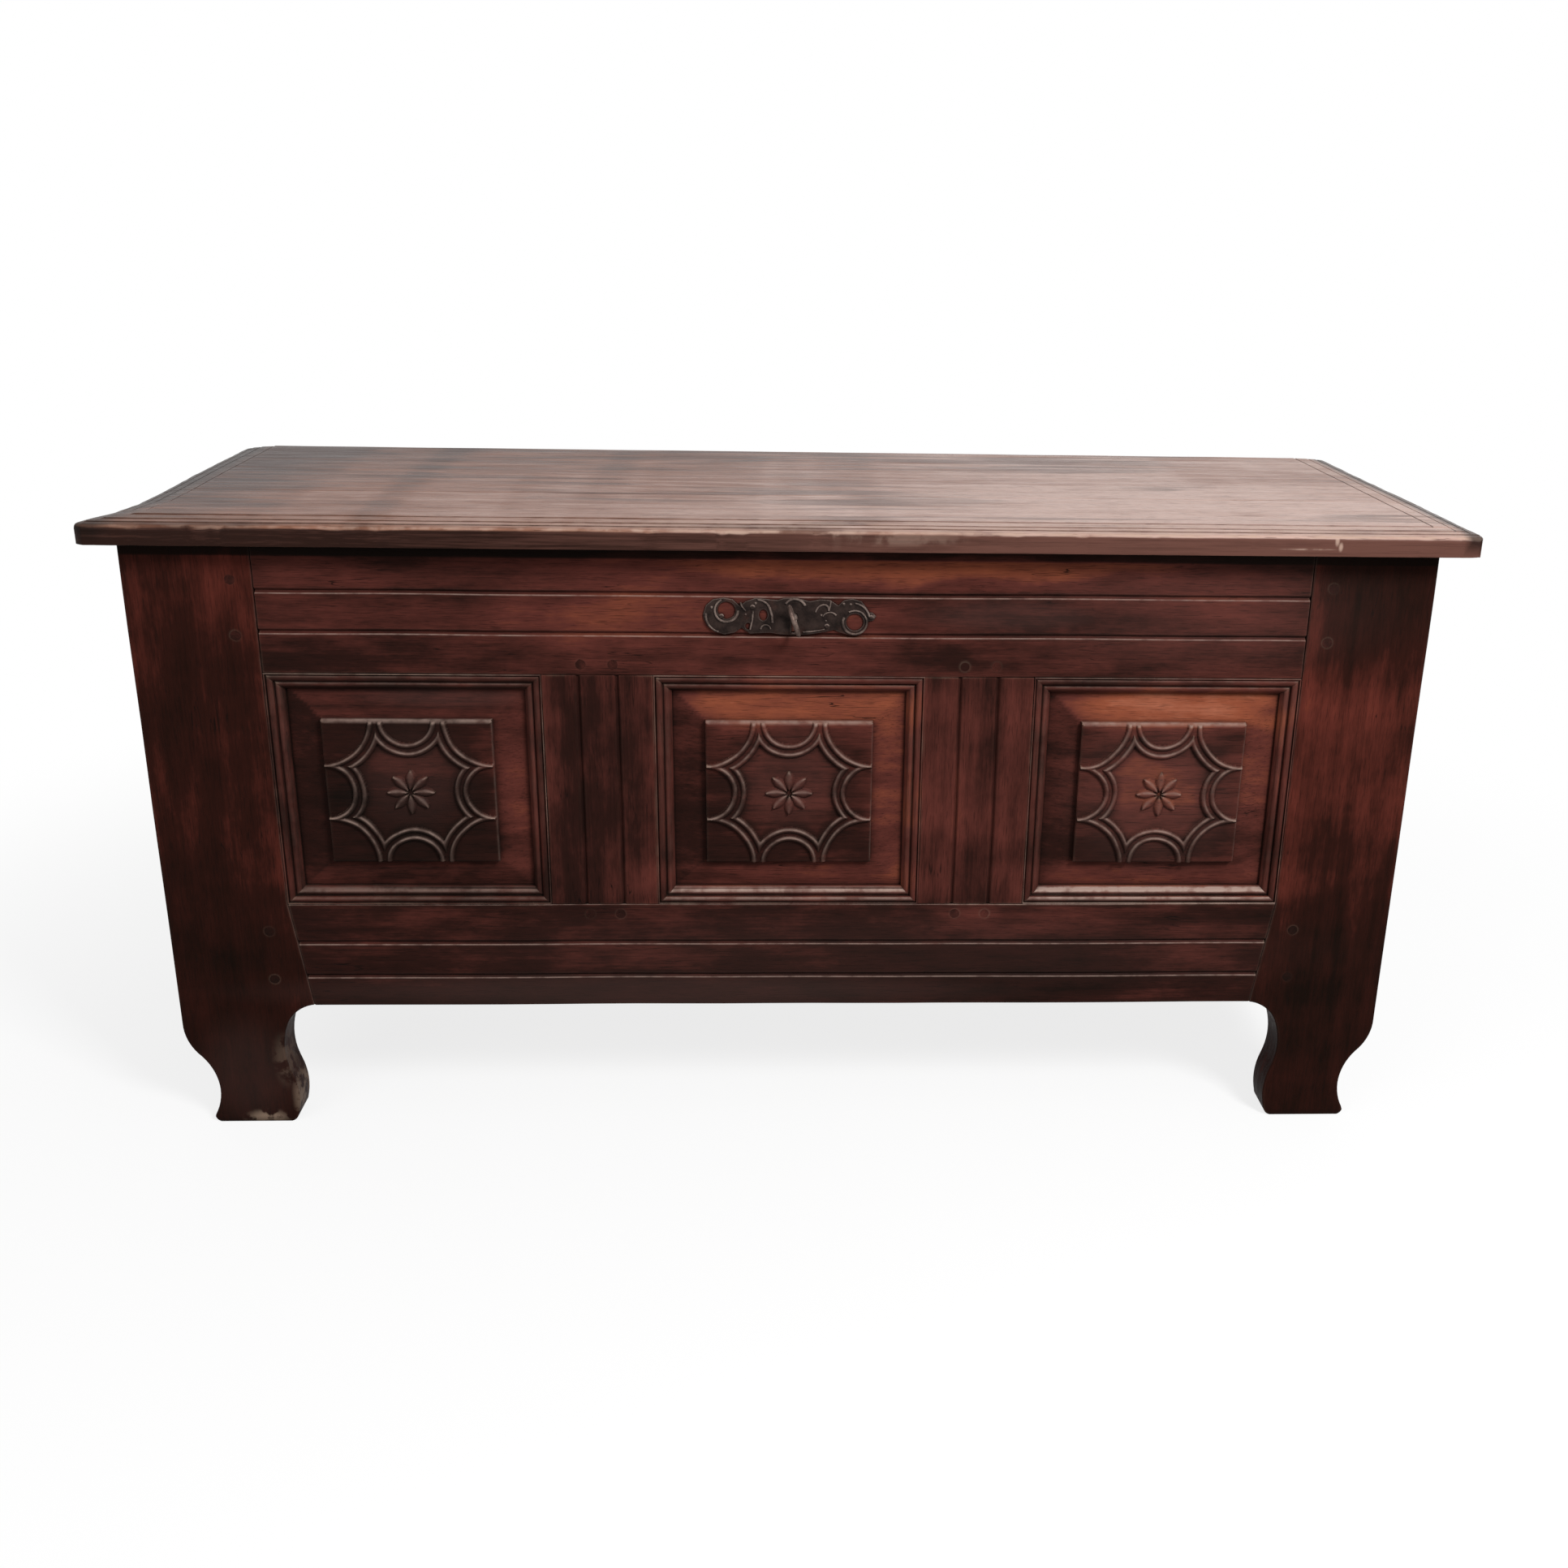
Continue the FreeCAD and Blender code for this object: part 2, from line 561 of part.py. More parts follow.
def front_bottom_rail():
    low_half = STILE_INNER - STILE_FLARE
    corners = [(-low_half, BOTTOM_RAIL_LIFT), (low_half, BOTTOM_RAIL_LIFT),
               (STILE_INNER, BOTTOM_RAIL_TOP), (-STILE_INNER, BOTTOM_RAIL_TOP)]
    body = polygon_plate(corners, FRONT, RAIL_INSIDE)
    # The V-grooves end on the slanted shoulders, so they are cut before the tenons are added.
    grooves = [v_groove_across(-STILE_INNER, STILE_INNER, BOTTOM_RAIL_LIFT + rise)
               for rise in BOTTOM_RAIL_V_RISES]
    body = fused([cut(body, grooves), box(*bottom_rail_tenon(-1)), box(*bottom_rail_tenon(1))])
    cutters = [front_groove(-STILE_INNER, STILE_INNER, GROOVE_LOW, BOTTOM_RAIL_TOP)]
    cutters += [grown(muntin_tenon(side * MUNTIN_X), JOINT_CLEARANCE) for side in (-1, 1)]
    cutters += nail_holes(ledger_nails(FRONT_LEDGER_Y, -1), LEDGER_NAIL_LENGTH)
    return cut(body, cutters + FRONT_PEG_HOLES)


def front_muntin():
    half = MUNTIN_WIDTH / 2
    body = box(MUNTIN_X - half, MUNTIN_X + half, FRONT, RAIL_INSIDE, BOTTOM_RAIL_TOP, TOP_RAIL_LOW)
    body = fused([body, box(*muntin_tenon(MUNTIN_X))])
    cutters = [v_groove_upright(MUNTIN_X + step * MUNTIN_V_SPACING, BOTTOM_RAIL_TOP, TOP_RAIL_LOW)
               for step in (-0.5, 0.5)]
    for edge, inward in ((MUNTIN_X - half, 1), (MUNTIN_X + half, -1)):
        reach = sorted((edge, edge + inward * PANEL_GROOVE_DEPTH))
        cutters.append(front_groove(*reach, BOTTOM_RAIL_TOP, TOP_RAIL_LOW))
    return cut(body, cutters + FRONT_PEG_HOLES)


# Carved front panels and their mouldings

def star_plate(spread, y0, y1):
    """Plaque-sized plate with its corners and mid-sides hollowed by circles that grow with spread."""
    half_width = PLAQUE_WIDTH / 2
    half_height = PLAQUE_HEIGHT / 2
    body = box(STAR_EDGE - half_width, half_width - STAR_EDGE, y0, y1,
               STAR_EDGE - half_height, half_height - STAR_EDGE)
    discs = []
    for x, z in ((-1, 0), (1, 0), (0, -1), (0, 1)):
        discs.append((x, z, STAR_LOBE_RADIUS))
    for x, z in ((-1, -1), (1, -1), (-1, 1), (1, 1)):
        discs.append((x, z, STAR_CORNER_RADIUS))
    holes = []
    for x, z, radius in discs:
        centre = Vector(x * half_width, y0, z * half_height)
        holes.append(rod(centre, Y_AXIS, CARVING_SCALE * (radius + spread), y1 - y0))
    return cut(body, holes)


def star_ridge(spread, y0, y1):
    return star_plate(spread, y0, y1).cut(star_plate(spread + STAR_RIDGE_WIDTH, y0, y1))


def rosette(y0, y1):
    inner_tip = xz(CARVING_SCALE * PETAL_START, 0)
    outer_tip = xz(CARVING_SCALE * PETAL_END, 0)
    swell = CARVING_SCALE * PETAL_HALF_WIDTH
    petal = plate(outline(inner_tip, [(outer_tip, swell), (inner_tip, swell)]), y0, y1)
    pieces = [rod(Vector(0, y0, 0), Y_AXIS, CARVING_SCALE * ROSETTE_BOSS_RADIUS, y1 - y0)]
    for index in range(PETAL_COUNT):
        turned = petal.copy()
        turned.rotate(Vector(0, 0, 0), Y_AXIS, index * 360.0 / PETAL_COUNT)
        pieces.append(turned)
    return pieces


def carved_panel():
    """Front panel about its own middle: tongued board, bevelled field, plaque, star band and rosette."""
    half_width = OPENING_WIDTH / 2
    half_height = OPENING_HEIGHT / 2
    tongue = PANEL_GROOVE_DEPTH - PANEL_EDGE_GAP
    margin = FRONT + PANEL_SETBACK
    board = box(-half_width - tongue, half_width + tongue, margin, margin + PANEL_THICKNESS,
                -half_height - tongue, half_height + tongue)
    inset = MOULDING_WIDTH + PANEL_MARGIN
    field = margin - BEVEL_RISE
    foot = rectangle(Vector(inset - half_width, margin, inset - half_height),
                     Vector(2 * (half_width - inset), 0, 0), Vector(0, 0, 2 * (half_height - inset)))
    head = rectangle(Vector(-PLAQUE_WIDTH / 2, field, -PLAQUE_HEIGHT / 2),
                     Vector(PLAQUE_WIDTH, 0, 0), Vector(0, 0, PLAQUE_HEIGHT))
    bevel = Part.makeLoft([foot, head], True, True)
    face = field - PLAQUE_STEP
    plaque = box(-PLAQUE_WIDTH / 2, PLAQUE_WIDTH / 2, face, field, -PLAQUE_HEIGHT / 2, PLAQUE_HEIGHT / 2)
    crest = face - STAR_RIDGE_HEIGHT
    pieces = [board, bevel, plaque, star_ridge(0.0, crest, face), star_ridge(STAR_RIDGE_PITCH, crest, face)]
    return fused(pieces + rosette(face - PETAL_HEIGHT, face))


def moulding_section(place):
    """Closed section of the moulding; place turns (inset from the frame, depth) into a point."""
    points = [(0.0, PANEL_SETBACK), (0.0, 0.0), (MOULDING_FILLET, 0.0), (MOULDING_FILLET, MOULDING_BEAD_FALL)]
    edges = [Part.LineSegment(place(*a), place(*b)).toShape() for a, b in zip(points, points[1:])]

    def arc(start, end, swell):
        length = math.hypot(end[0] - start[0], end[1] - start[1])
        middle = ((start[0] + end[0]) / 2 + swell * (end[1] - start[1]) / length,
                  (start[1] + end[1]) / 2 - swell * (end[0] - start[0]) / length)
        return Part.Arc(place(*start), place(*middle), place(*end)).toShape()

    bead_end = (MOULDING_BEAD_END, MOULDING_BEAD_FALL)
    quirk = (MOULDING_BEAD_END, MOULDING_QUIRK_DEPTH)
    ovolo_start = (MOULDING_OVOLO_START, MOULDING_QUIRK_DEPTH)
    ovolo_end = (MOULDING_OVOLO_END, MOULDING_OVOLO_FALL)
    sight = (MOULDING_WIDTH, MOULDING_SIGHT_DEPTH)
    foot = (MOULDING_WIDTH, PANEL_SETBACK)
    edges.append(arc(points[-1], bead_end, BEAD_SWELL))
    edges.append(Part.LineSegment(place(*bead_end), place(*quirk)).toShape())
    edges.append(Part.LineSegment(place(*quirk), place(*ovolo_start)).toShape())
    edges.append(arc(ovolo_start, ovolo_end, OVOLO_SWELL))
    for start, end in ((ovolo_end, sight), (sight, foot), (foot, points[0])):
        edges.append(Part.LineSegment(place(*start), place(*end)).toShape())
    return Part.Face(Part.Wire(edges))


def moulding_frame(middle_x):
    """Four strips around one panel opening, mitred at the corners."""
    x0 = middle_x - OPENING_WIDTH / 2
    x1 = middle_x + OPENING_WIDTH / 2
    z0 = BOTTOM_RAIL_TOP
    z1 = TOP_RAIL_LOW
    width = MOULDING_WIDTH
    y0 = FRONT
    y1 = FRONT + PANEL_SETBACK
    across = Vector(x1 - x0, 0, 0)
    upright = Vector(0, 0, z1 - z0)
    bottom = moulding_section(lambda inset, depth: Vector(x0, FRONT + depth, z0 + inset)).extrude(across)
    top = moulding_section(lambda inset, depth: Vector(x0, FRONT + depth, z1 - inset)).extrude(across)
    left = moulding_section(lambda inset, depth: Vector(x0 + inset, FRONT + depth, z0)).extrude(upright)
    right = moulding_section(lambda inset, depth: Vector(x1 - inset, FRONT + depth, z0)).extrude(upright)
    inner = ((x0 + width, z0 + width), (x1 - width, z0 + width),
             (x1 - width, z1 - width), (x0 + width, z1 - width))
    outer = ((x0, z0), (x1, z0), (x1, z1), (x0, z1))
    strips = []
    for index, strip in enumerate((bottom, right, top, left)):
        after = (index + 1) % 4
        mitre = polygon_plate([outer[index], outer[after], inner[after], inner[index]], y0, y1)
        strips.append(strip.common(mitre))
    return Part.makeCompound(strips)


# Sides

def side_rail(rail, low, high):
    y0 = FRONT + STILE_THICKNESS
    y1 = BACK - STILE_THICKNESS
    body = box(HALF_WIDTH - SIDE_RAIL_THICKNESS, HALF_WIDTH, y0, y1, low, high)
    body = fused([body] + [box(*tenon) for tenon in SIDE_TENONS[rail]])
    groove = side_groove(y0, y1, max(low, GROOVE_LOW), min(high, GROOVE_HIGH))
    return cut(body, [groove] + SIDE_PEG_HOLES)


def side_panel():
    tongue = PANEL_GROOVE_DEPTH - PANEL_EDGE_GAP
    y0 = FRONT + STILE_THICKNESS
    y1 = BACK - STILE_THICKNESS
    margin = HALF_WIDTH - PANEL_SETBACK
    board = box(margin - PANEL_THICKNESS, margin, y0 - tongue, y1 + tongue,
                BOTTOM_RAIL_TOP - tongue, TOP_RAIL_LOW + tongue)
    foot = rectangle(Vector(margin, y0, BOTTOM_RAIL_TOP), Vector(0, y1 - y0, 0), Vector(0, 0, OPENING_HEIGHT))
    inset = PLAIN_FIELD_MARGIN
    head = rectangle(Vector(margin + PLAIN_FIELD_RISE, y0 + inset, BOTTOM_RAIL_TOP + inset),
                     Vector(0, y1 - y0 - 2 * inset, 0), Vector(0, 0, OPENING_HEIGHT - 2 * inset))
    return fused([board, Part.makeLoft([foot, head], True, True)])


# Back

def back_rail(low, high):
    body = box(-BACK_STILE_INNER, BACK_STILE_INNER, BACK - BACK_RAIL_THICKNESS, BACK, low, high)
    body = fused([body] + [box(*back_rail_tenon(side, low, high)) for side in (-1, 1)])
    groove = back_groove(-BACK_STILE_INNER, BACK_STILE_INNER, max(low, GROOVE_LOW), min(high, GROOVE_HIGH))
    return cut(body, [groove, grown(back_muntin_tenon(), JOINT_CLEARANCE)] + BACK_PEG_HOLES)


def back_muntin_tenon():
    half = BACK_MUNTIN_WIDTH / 2 - TENON_SHOULDER
    return (-half, half, BACK - TENON_SETBACK - TENON_THICKNESS, BACK - TENON_SETBACK,
            BOTTOM_RAIL_TOP - MUNTIN_TENON_LENGTH, TOP_RAIL_LOW + MUNTIN_TENON_LENGTH)


def back_muntin():
    half = BACK_MUNTIN_WIDTH / 2
    body = box(-half, half, BACK - BACK_RAIL_THICKNESS, BACK, BOTTOM_RAIL_TOP, TOP_RAIL_LOW)
    body = fused([body, box(*back_muntin_tenon())])
    grooves = [back_groove(-half, PANEL_GROOVE_DEPTH - half, BOTTOM_RAIL_TOP, TOP_RAIL_LOW),
               back_groove(half - PANEL_GROOVE_DEPTH, half, BOTTOM_RAIL_TOP, TOP_RAIL_LOW)]
    return cut(body, grooves + BACK_PEG_HOLES)


def back_panel():
    tongue = PANEL_GROOVE_DEPTH - PANEL_EDGE_GAP
    x0 = BACK_MUNTIN_WIDTH / 2
    margin = BACK - PANEL_SETBACK
    board = box(x0 - tongue, BACK_STILE_INNER + tongue, margin - PANEL_THICKNESS, margin,
                BOTTOM_RAIL_TOP - tongue, TOP_RAIL_LOW + tongue)
    width = BACK_STILE_INNER - x0
    foot = rectangle(Vector(x0, margin, BOTTOM_RAIL_TOP), Vector(width, 0, 0), Vector(0, 0, OPENING_HEIGHT))
    inset = PLAIN_FIELD_MARGIN
    head = rectangle(Vector(x0 + inset, margin + PLAIN_FIELD_RISE, BOTTOM_RAIL_TOP + inset),
                     Vector(width - 2 * inset, 0, 0), Vector(0, 0, OPENING_HEIGHT - 2 * inset))
    return fused([board, Part.makeLoft([foot, head], True, True)])


# Floor

FLOOR_Z = BOTTOM_RAIL_LIFT + LEDGER_RISE + LEDGER_SIZE
FRONT_LEDGER_Y = RAIL_INSIDE + LEDGER_SIZE / 2
BACK_LEDGER_Y = BACK - BACK_RAIL_THICKNESS - LEDGER_SIZE / 2
FLOOR_HALF_LENGTH = HALF_WIDTH - SIDE_RAIL_THICKNESS
FLOOR_BOARD_WIDTH = 2 * FLOOR_HALF_LENGTH / FLOOR_BOARD_COUNT


def ledger_nails(ledger_y, outward):
    inner_face = ledger_y - outward * LEDGER_SIZE / 2
    half = STILE_INNER - STILE_FLARE
    pitch = 2 * half / LEDGER_NAIL_COUNT
    z = FLOOR_Z - LEDGER_SIZE / 2
    return [(Vector(pitch * (index + 0.5) - half, inner_face, z), Vector(0, outward, 0))
            for index in range(LEDGER_NAIL_COUNT)]


def floor_nails():
    places = []
    for index in range(FLOOR_BOARD_COUNT):
        middle = FLOOR_BOARD_WIDTH * (index + 0.5) - FLOOR_HALF_LENGTH
        reach = FLOOR_BOARD_WIDTH / 4
        for x in (middle - reach, middle + reach):
            for y in (FRONT_LEDGER_Y, BACK_LEDGER_Y):
                if abs(x) < ledger_half_length() - NAIL_HEAD_RADIUS:
                    places.append((Vector(x, y, FLOOR_Z + FLOOR_BOARD_THICKNESS), Vector(0, 0, -1)))
    return places


def ledger_half_length():
    return min(STILE_INNER - STILE_FLARE, BACK_STILE_INNER) - LEDGER_END_GAP


def ledger(ledger_y, outward):
    half = ledger_half_length()
    y0 = ledger_y - LEDGER_SIZE / 2
    body = box(-half, half, y0, y0 + LEDGER_SIZE, FLOOR_Z - LEDGER_SIZE, FLOOR_Z)
    holes = nail_holes(ledger_nails(ledger_y, outward), LEDGER_NAIL_LENGTH)
    return cut(body, holes + nail_holes(floor_nails(), FLOOR_NAIL_LENGTH))


def floor_board(index):
    x0 = FLOOR_BOARD_WIDTH * index - FLOOR_HALF_LENGTH + FLOOR_BOARD_GAP / 2
    x1 = x0 + FLOOR_BOARD_WIDTH - FLOOR_BOARD_GAP
    top = FLOOR_Z + FLOOR_BOARD_THICKNESS
    y0 = RAIL_INSIDE + FLOOR_BOARD_GAP
    y1 = BACK - BACK_RAIL_THICKNESS - FLOOR_BOARD_GAP
    body = box(x0, x1, y0, y1, FLOOR_Z, top)
    notches = []
    for side in (-1, 1):
        front_reach = sorted((side * (STILE_INNER - STILE_FLARE - FLOOR_BOARD_GAP), side * HALF_WIDTH))
        back_reach = sorted((side * (BACK_STILE_INNER - FLOOR_BOARD_GAP), side * HALF_WIDTH))
        notches.append(box(*front_reach, FRONT, FRONT + STILE_THICKNESS + FLOOR_BOARD_GAP, FLOOR_Z, top))
        notches.append(box(*back_reach, BACK - STILE_THICKNESS - FLOOR_BOARD_GAP, BACK, FLOOR_Z, top))
    return cut(body, notches + nail_holes(floor_nails(), FLOOR_NAIL_LENGTH))


# Lid

def lid_edge_runs():
    """Section of the wood taken off the lid's top edge: distance from the edge, height and swell."""
    top = LID_TOP
    crown = top - LID_NOSE_DROP
    swell = LID_NOSE_RADIUS * (1 - math.sqrt(0.5))
    runs = [(0.0, crown - LID_NOSE_RADIUS, 0.0), (LID_NOSE_RADIUS, crown, swell)]
    for width, drop in zip(LID_STEP_WIDTHS, LID_STEP_DROPS):
        runs.append((width - LID_QUIRK_WIDTH / 2, top - drop, 0.0))
        runs.append((width, top - drop - LID_QUIRK_DEPTH, 0.0))
        runs.append((width + LID_QUIRK_WIDTH / 2, top - drop + LID_QUIRK_DEPTH / 2, 0.0))
    last_width = LID_STEP_WIDTHS[-1] + LID_QUIRK_WIDTH / 2
    return runs + [(last_width, top + LID_NOSE_RADIUS, 0.0), (-LID_NOSE_RADIUS, top + LID_NOSE_RADIUS, 0.0),
                   (-LID_NOSE_RADIUS, crown - LID_NOSE_RADIUS, 0.0)]


def lid_under_runs():
    low = CARCASE_HEIGHT
    radius = LID_UNDER_RADIUS
    swell = radius * (1 - math.sqrt(0.5))
    return [(radius, low, 0.0), (0.0, low + radius, swell), (-radius, low + radius, 0.0),
            (-radius, low - radius, 0.0), (radius, low - radius, 0.0)]


def edge_cutter(runs, half_length, mitre):
    """Cutter along the local X axis for an edge at local y=0 with the lid behind it, ends mitred."""
    edges = []
    points = runs + runs[:1]
    for (d0, z0, _), (d1, z1, swell) in zip(points, points[1:]):
        start = Vector(-half_length, d0, z0)
        end = Vector(-half_length, d1, z1)
        if start.distanceToPoint(end) < 1e-6:
            continue
        if swell:
            normal = Vector(0, z0 - z1, d1 - d0).normalize()
            edges.append(Part.Arc(start, (start + end) * 0.5 + normal * swell, end).toShape())
        else:
            edges.append(Part.LineSegment(start, end).toShape())
    prism = Part.Face(Part.Wire(edges)).extrude(Vector(2 * half_length, 0, 0))
    return prism.common(mitre)


def mitre_wedge(half_length, left_mitre, right_mitre):
    """Plan of one edge's share of the lid: 45 degree lines run inward from the mitred corners."""
    reach = LID_STEP_WIDTHS[-1] + LID_QUIRK_WIDTH
    out = LID_NOSE_RADIUS
    left = reach if left_mitre else 0.0
    right = reach if right_mitre else 0.0
    left_out = out if left_mitre else 0.0
    right_out = out if right_mitre else 0.0
    z0 = CARCASE_HEIGHT - LID_THICKNESS
    points = [Vector(-half_length - left_out, -out, z0), Vector(half_length + right_out, -out, z0),
              Vector(half_length - right, reach, z0), Vector(left - half_length, reach, z0)]
    return Part.Face(Part.makePolygon(points + points[:1])).extrude(Vector(0, 0, 3 * LID_THICKNESS))


def lid_edge_cutters():
    cutters = []
    half_depth = (BACK - LID_FRONT) / 2
    for runs in (lid_edge_runs(), lid_under_runs()):
        long_runs = LID_HALF_WIDTH + LID_NOSE_RADIUS
        front = edge_cutter(runs, long_runs, mitre_wedge(LID_HALF_WIDTH, True, True))
        front.translate(Vector(0, LID_FRONT, 0))
        right = edge_cutter(runs, half_depth + LID_NOSE_RADIUS, mitre_wedge(half_depth, True, False))
        right.rotate(Vector(0, 0, 0), Vector(0, 0, 1), 90)
        right.translate(Vector(LID_HALF_WIDTH, (LID_FRONT + BACK) / 2, 0))
        cutters += [front, right, mirrored(right)]
    return cutters


def lid_slab():
    slab = box(-LID_HALF_WIDTH, LID_HALF_WIDTH, LID_FRONT, BACK, CARCASE_HEIGHT, LID_TOP)
    corners = [edge for edge in slab.Edges
               if abs(edge.Vertexes[0].Z - edge.Vertexes[1].Z) > LID_THICKNESS / 2 and edge.Vertexes[0].Y < 0]
    slab = slab.makeFillet(LID_CORNER_RADIUS, corners)
    return cut(slab, lid_edge_cutters())


def lid_boards():
    slab = lid_slab()
    low = CARCASE_HEIGHT - LID_THICKNESS
    high = LID_TOP + LID_THICKNESS
    middle = CARCASE_HEIGHT + LID_THICKNESS / 2
    half = LID_TONGUE_THICKNESS / 2
    reach = 2 * LID_HALF_WIDTH
    front_part = slab.common(box(-reach, reach, 2 * LID_FRONT, BOARD_JOINT, low, high))
    rear_part = slab.common(box(-reach, reach, BOARD_JOINT, 2 * BACK, low, high))
    tongue_half = LID_HALF_WIDTH - LID_CORNER_RADIUS
    tongue = (-tongue_half, tongue_half, BOARD_JOINT - LID_TONGUE_LENGTH, BOARD_JOINT + LID_TONGUE_LENGTH,
              middle - half, middle + half)
    rear_part = fused([rear_part, box(*tongue)])
    front_part = front_part.cut(grown(tongue, JOINT_CLEARANCE))
    straps = []
    for side in (-1, 1):
        straps.append(strap_bed(side * HINGE_X))
    holes = nail_holes(strap_nails(), HINGE_NAIL_LENGTH) + nail_holes(batten_nails(), BATTEN_NAIL_LENGTH)
    front_holes = holes + nail_holes(STAPLE_NAILS, LOCK_NAIL_LENGTH)
    return cut(front_part, front_holes), cut(rear_part, straps + holes)


def batten_ends():
    front = FRONT + STILE_THICKNESS + BATTEN_END_GAP
    back = BACK - STILE_THICKNESS - BATTEN_END_GAP
    return front, back


def batten_nails():
    front, back = batten_ends()
    pitch = (back - front) / BATTEN_NAIL_COUNT
    places = []
    for side in (-1, 1):
        for index in range(BATTEN_NAIL_COUNT):
            y = front + pitch * (index + 0.5)
            # A nail never stands in the joint between the two boards.
            if abs(y - BOARD_JOINT) < LID_TONGUE_LENGTH + NAIL_HEAD_RADIUS:
                y += 2 * LID_TONGUE_LENGTH
            places.append((Vector(side * BATTEN_X, y, CARCASE_HEIGHT - BATTEN_THICKNESS), Vector(0, 0, 1)))
    return places


def lid_batten():
    front, back = batten_ends()
    low = CARCASE_HEIGHT - BATTEN_THICKNESS
    chamfer = BATTEN_CHAMFER
    section = [(front, CARCASE_HEIGHT), (front, low + chamfer), (front + chamfer, low), (back - chamfer, low),
               (back, low + chamfer), (back, CARCASE_HEIGHT)]
    body = along_x(section, BATTEN_X - BATTEN_WIDTH / 2, BATTEN_X + BATTEN_WIDTH / 2)
    return cut(body, nail_holes(batten_nails(), BATTEN_NAIL_LENGTH))


# Strap hinges

STRAP_FRONT = BACK - STRAP_LENGTH


def strap_nails():
    places = []
    for side in (-1, 1):
        for index in range(STRAP_NAIL_COUNT):
            y = STRAP_FRONT + STRAP_WIDTH / 2 + index * STRAP_NAIL_PITCH
            places.append((Vector(side * HINGE_X, y, CARCASE_HEIGHT), Vector(0, 0, 1)))
    return places


def strap_plan(x, z, y_end):
    """Strap-shaped plan, round at its front end, as a solid of the strap's thickness."""
    half = STRAP_WIDTH / 2
    leaf = box(x - half, x + half, STRAP_FRONT + half, y_end, z, z + STRAP_THICKNESS)
    round_end = rod(Vector(x, STRAP_FRONT + half, z), Vector(0, 0, 1), half, STRAP_THICKNESS)
    return fused([leaf, round_end])


def strap_bed(x):
    half = STRAP_WIDTH / 2 + JOINT_CLEARANCE
    round_y = STRAP_FRONT + STRAP_WIDTH / 2
    high = CARCASE_HEIGHT + STRAP_THICKNESS
    leaf = box(x - half, x + half, round_y, BACK + STRAP_THICKNESS, CARCASE_HEIGHT, high)
    return leaf.fuse(rod(Vector(x, round_y, CARCASE_HEIGHT), Vector(0, 0, 1), half, STRAP_THICKNESS))


def barrel(x0, x1):
    start = Vector(x0, HINGE_AXIS_Y, HINGE_AXIS_Z)
    return rod(start, Vector(1, 0, 0), BARREL_RADIUS, x1 - x0)


def pin_bore(x):
    start = Vector(x - STRAP_WIDTH, HINGE_AXIS_Y, HINGE_AXIS_Z)
    return rod(start, Vector(1, 0, 0), HINGE_PIN_RADIUS + HINGE_PIN_CLEARANCE, 2 * STRAP_WIDTH)


def hinge_strap(x):
    half = KNUCKLE_WIDTH / 2
    leaf = strap_plan(x, CARCASE_HEIGHT, BACK)
    high = CARCASE_HEIGHT + STRAP_THICKNESS
    tab = box(x - half, x + half, BACK - STRAP_THICKNESS, HINGE_AXIS_Y, CARCASE_HEIGHT, high)
    body = fused([leaf, tab, barrel(x - half, x + half)])
    return cut(body, [pin_bore(x)] + nail_holes(strap_nails(), HINGE_NAIL_LENGTH))


def back_plate_nails():
    places = []
    inset = BACK_PLATE_NAIL_INSET
    face = BACK + STRAP_THICKNESS
    for side in (-1, 1):
        for x in (side * HINGE_X - STRAP_WIDTH / 2 + inset, side * HINGE_X + STRAP_WIDTH / 2 - inset):
            for z in (HINGE_AXIS_Z - BACK_PLATE_HEIGHT + inset, HINGE_AXIS_Z - BACK_PLATE_HEIGHT / 2):
                places.append((Vector(x, face, z), Vector(0, -1, 0)))
    return places


def hinge_plate(x):
    half = STRAP_WIDTH / 2
    gap = KNUCKLE_WIDTH / 2 + KNUCKLE_GAP
    low = HINGE_AXIS_Z - BACK_PLATE_HEIGHT
    leaf = box(x - half, x + half, BACK, BACK + STRAP_THICKNESS, low, HINGE_AXIS_Z)
    body = fused([leaf, barrel(x - half, x - gap), barrel(x + gap, x + half)])
    room = BARREL_RADIUS + KNUCKLE_GAP
    knuckle_room = rod(Vector(x - gap, HINGE_AXIS_Y, HINGE_AXIS_Z), Vector(1, 0, 0), room, 2 * gap)
    return cut(body, [knuckle_room, pin_bore(x)] + nail_holes(back_plate_nails(), HINGE_NAIL_LENGTH))


def hinge_pin(x):
    half = STRAP_WIDTH / 2
    start = Vector(x - half, HINGE_AXIS_Y, HINGE_AXIS_Z)
    along = Vector(1, 0, 0)
    pieces = [rod(start, along, HINGE_PIN_RADIUS, STRAP_WIDTH)]
    pieces.append(rod(start - along * PIN_HEAD_HEIGHT, along, PIN_HEAD_RADIUS, PIN_HEAD_HEIGHT))
    pieces.append(rod(start + along * STRAP_WIDTH, along, PIN_HEAD_RADIUS, PIN_HEAD_HEIGHT))
    return fused(pieces)


# Lock plate on the front, and key

ESCUTCHEON_FACE = FRONT - ESCUTCHEON_THICKNESS


def escutcheon_nails():
    half_length = ESCUTCHEON_LENGTH / 2
    lobe = ESCUTCHEON_HEIGHT / 2
    nail_x = half_length - ESCUTCHEON_NECK_LENGTH / 2
    shoulder_x = half_length - ESCUTCHEON_NECK_LENGTH - 2 * lobe
    places = [(-half_length + lobe, 0.0), (nail_x, 0.0), (-shoulder_x, lobe / 2), (shoulder_x, -lobe / 2)]
    return [(Vector(x, ESCUTCHEON_FACE, KEY_Z + z), Y_AXIS) for x, z in places]


ESCUTCHEON_NAILS = escutcheon_nails()


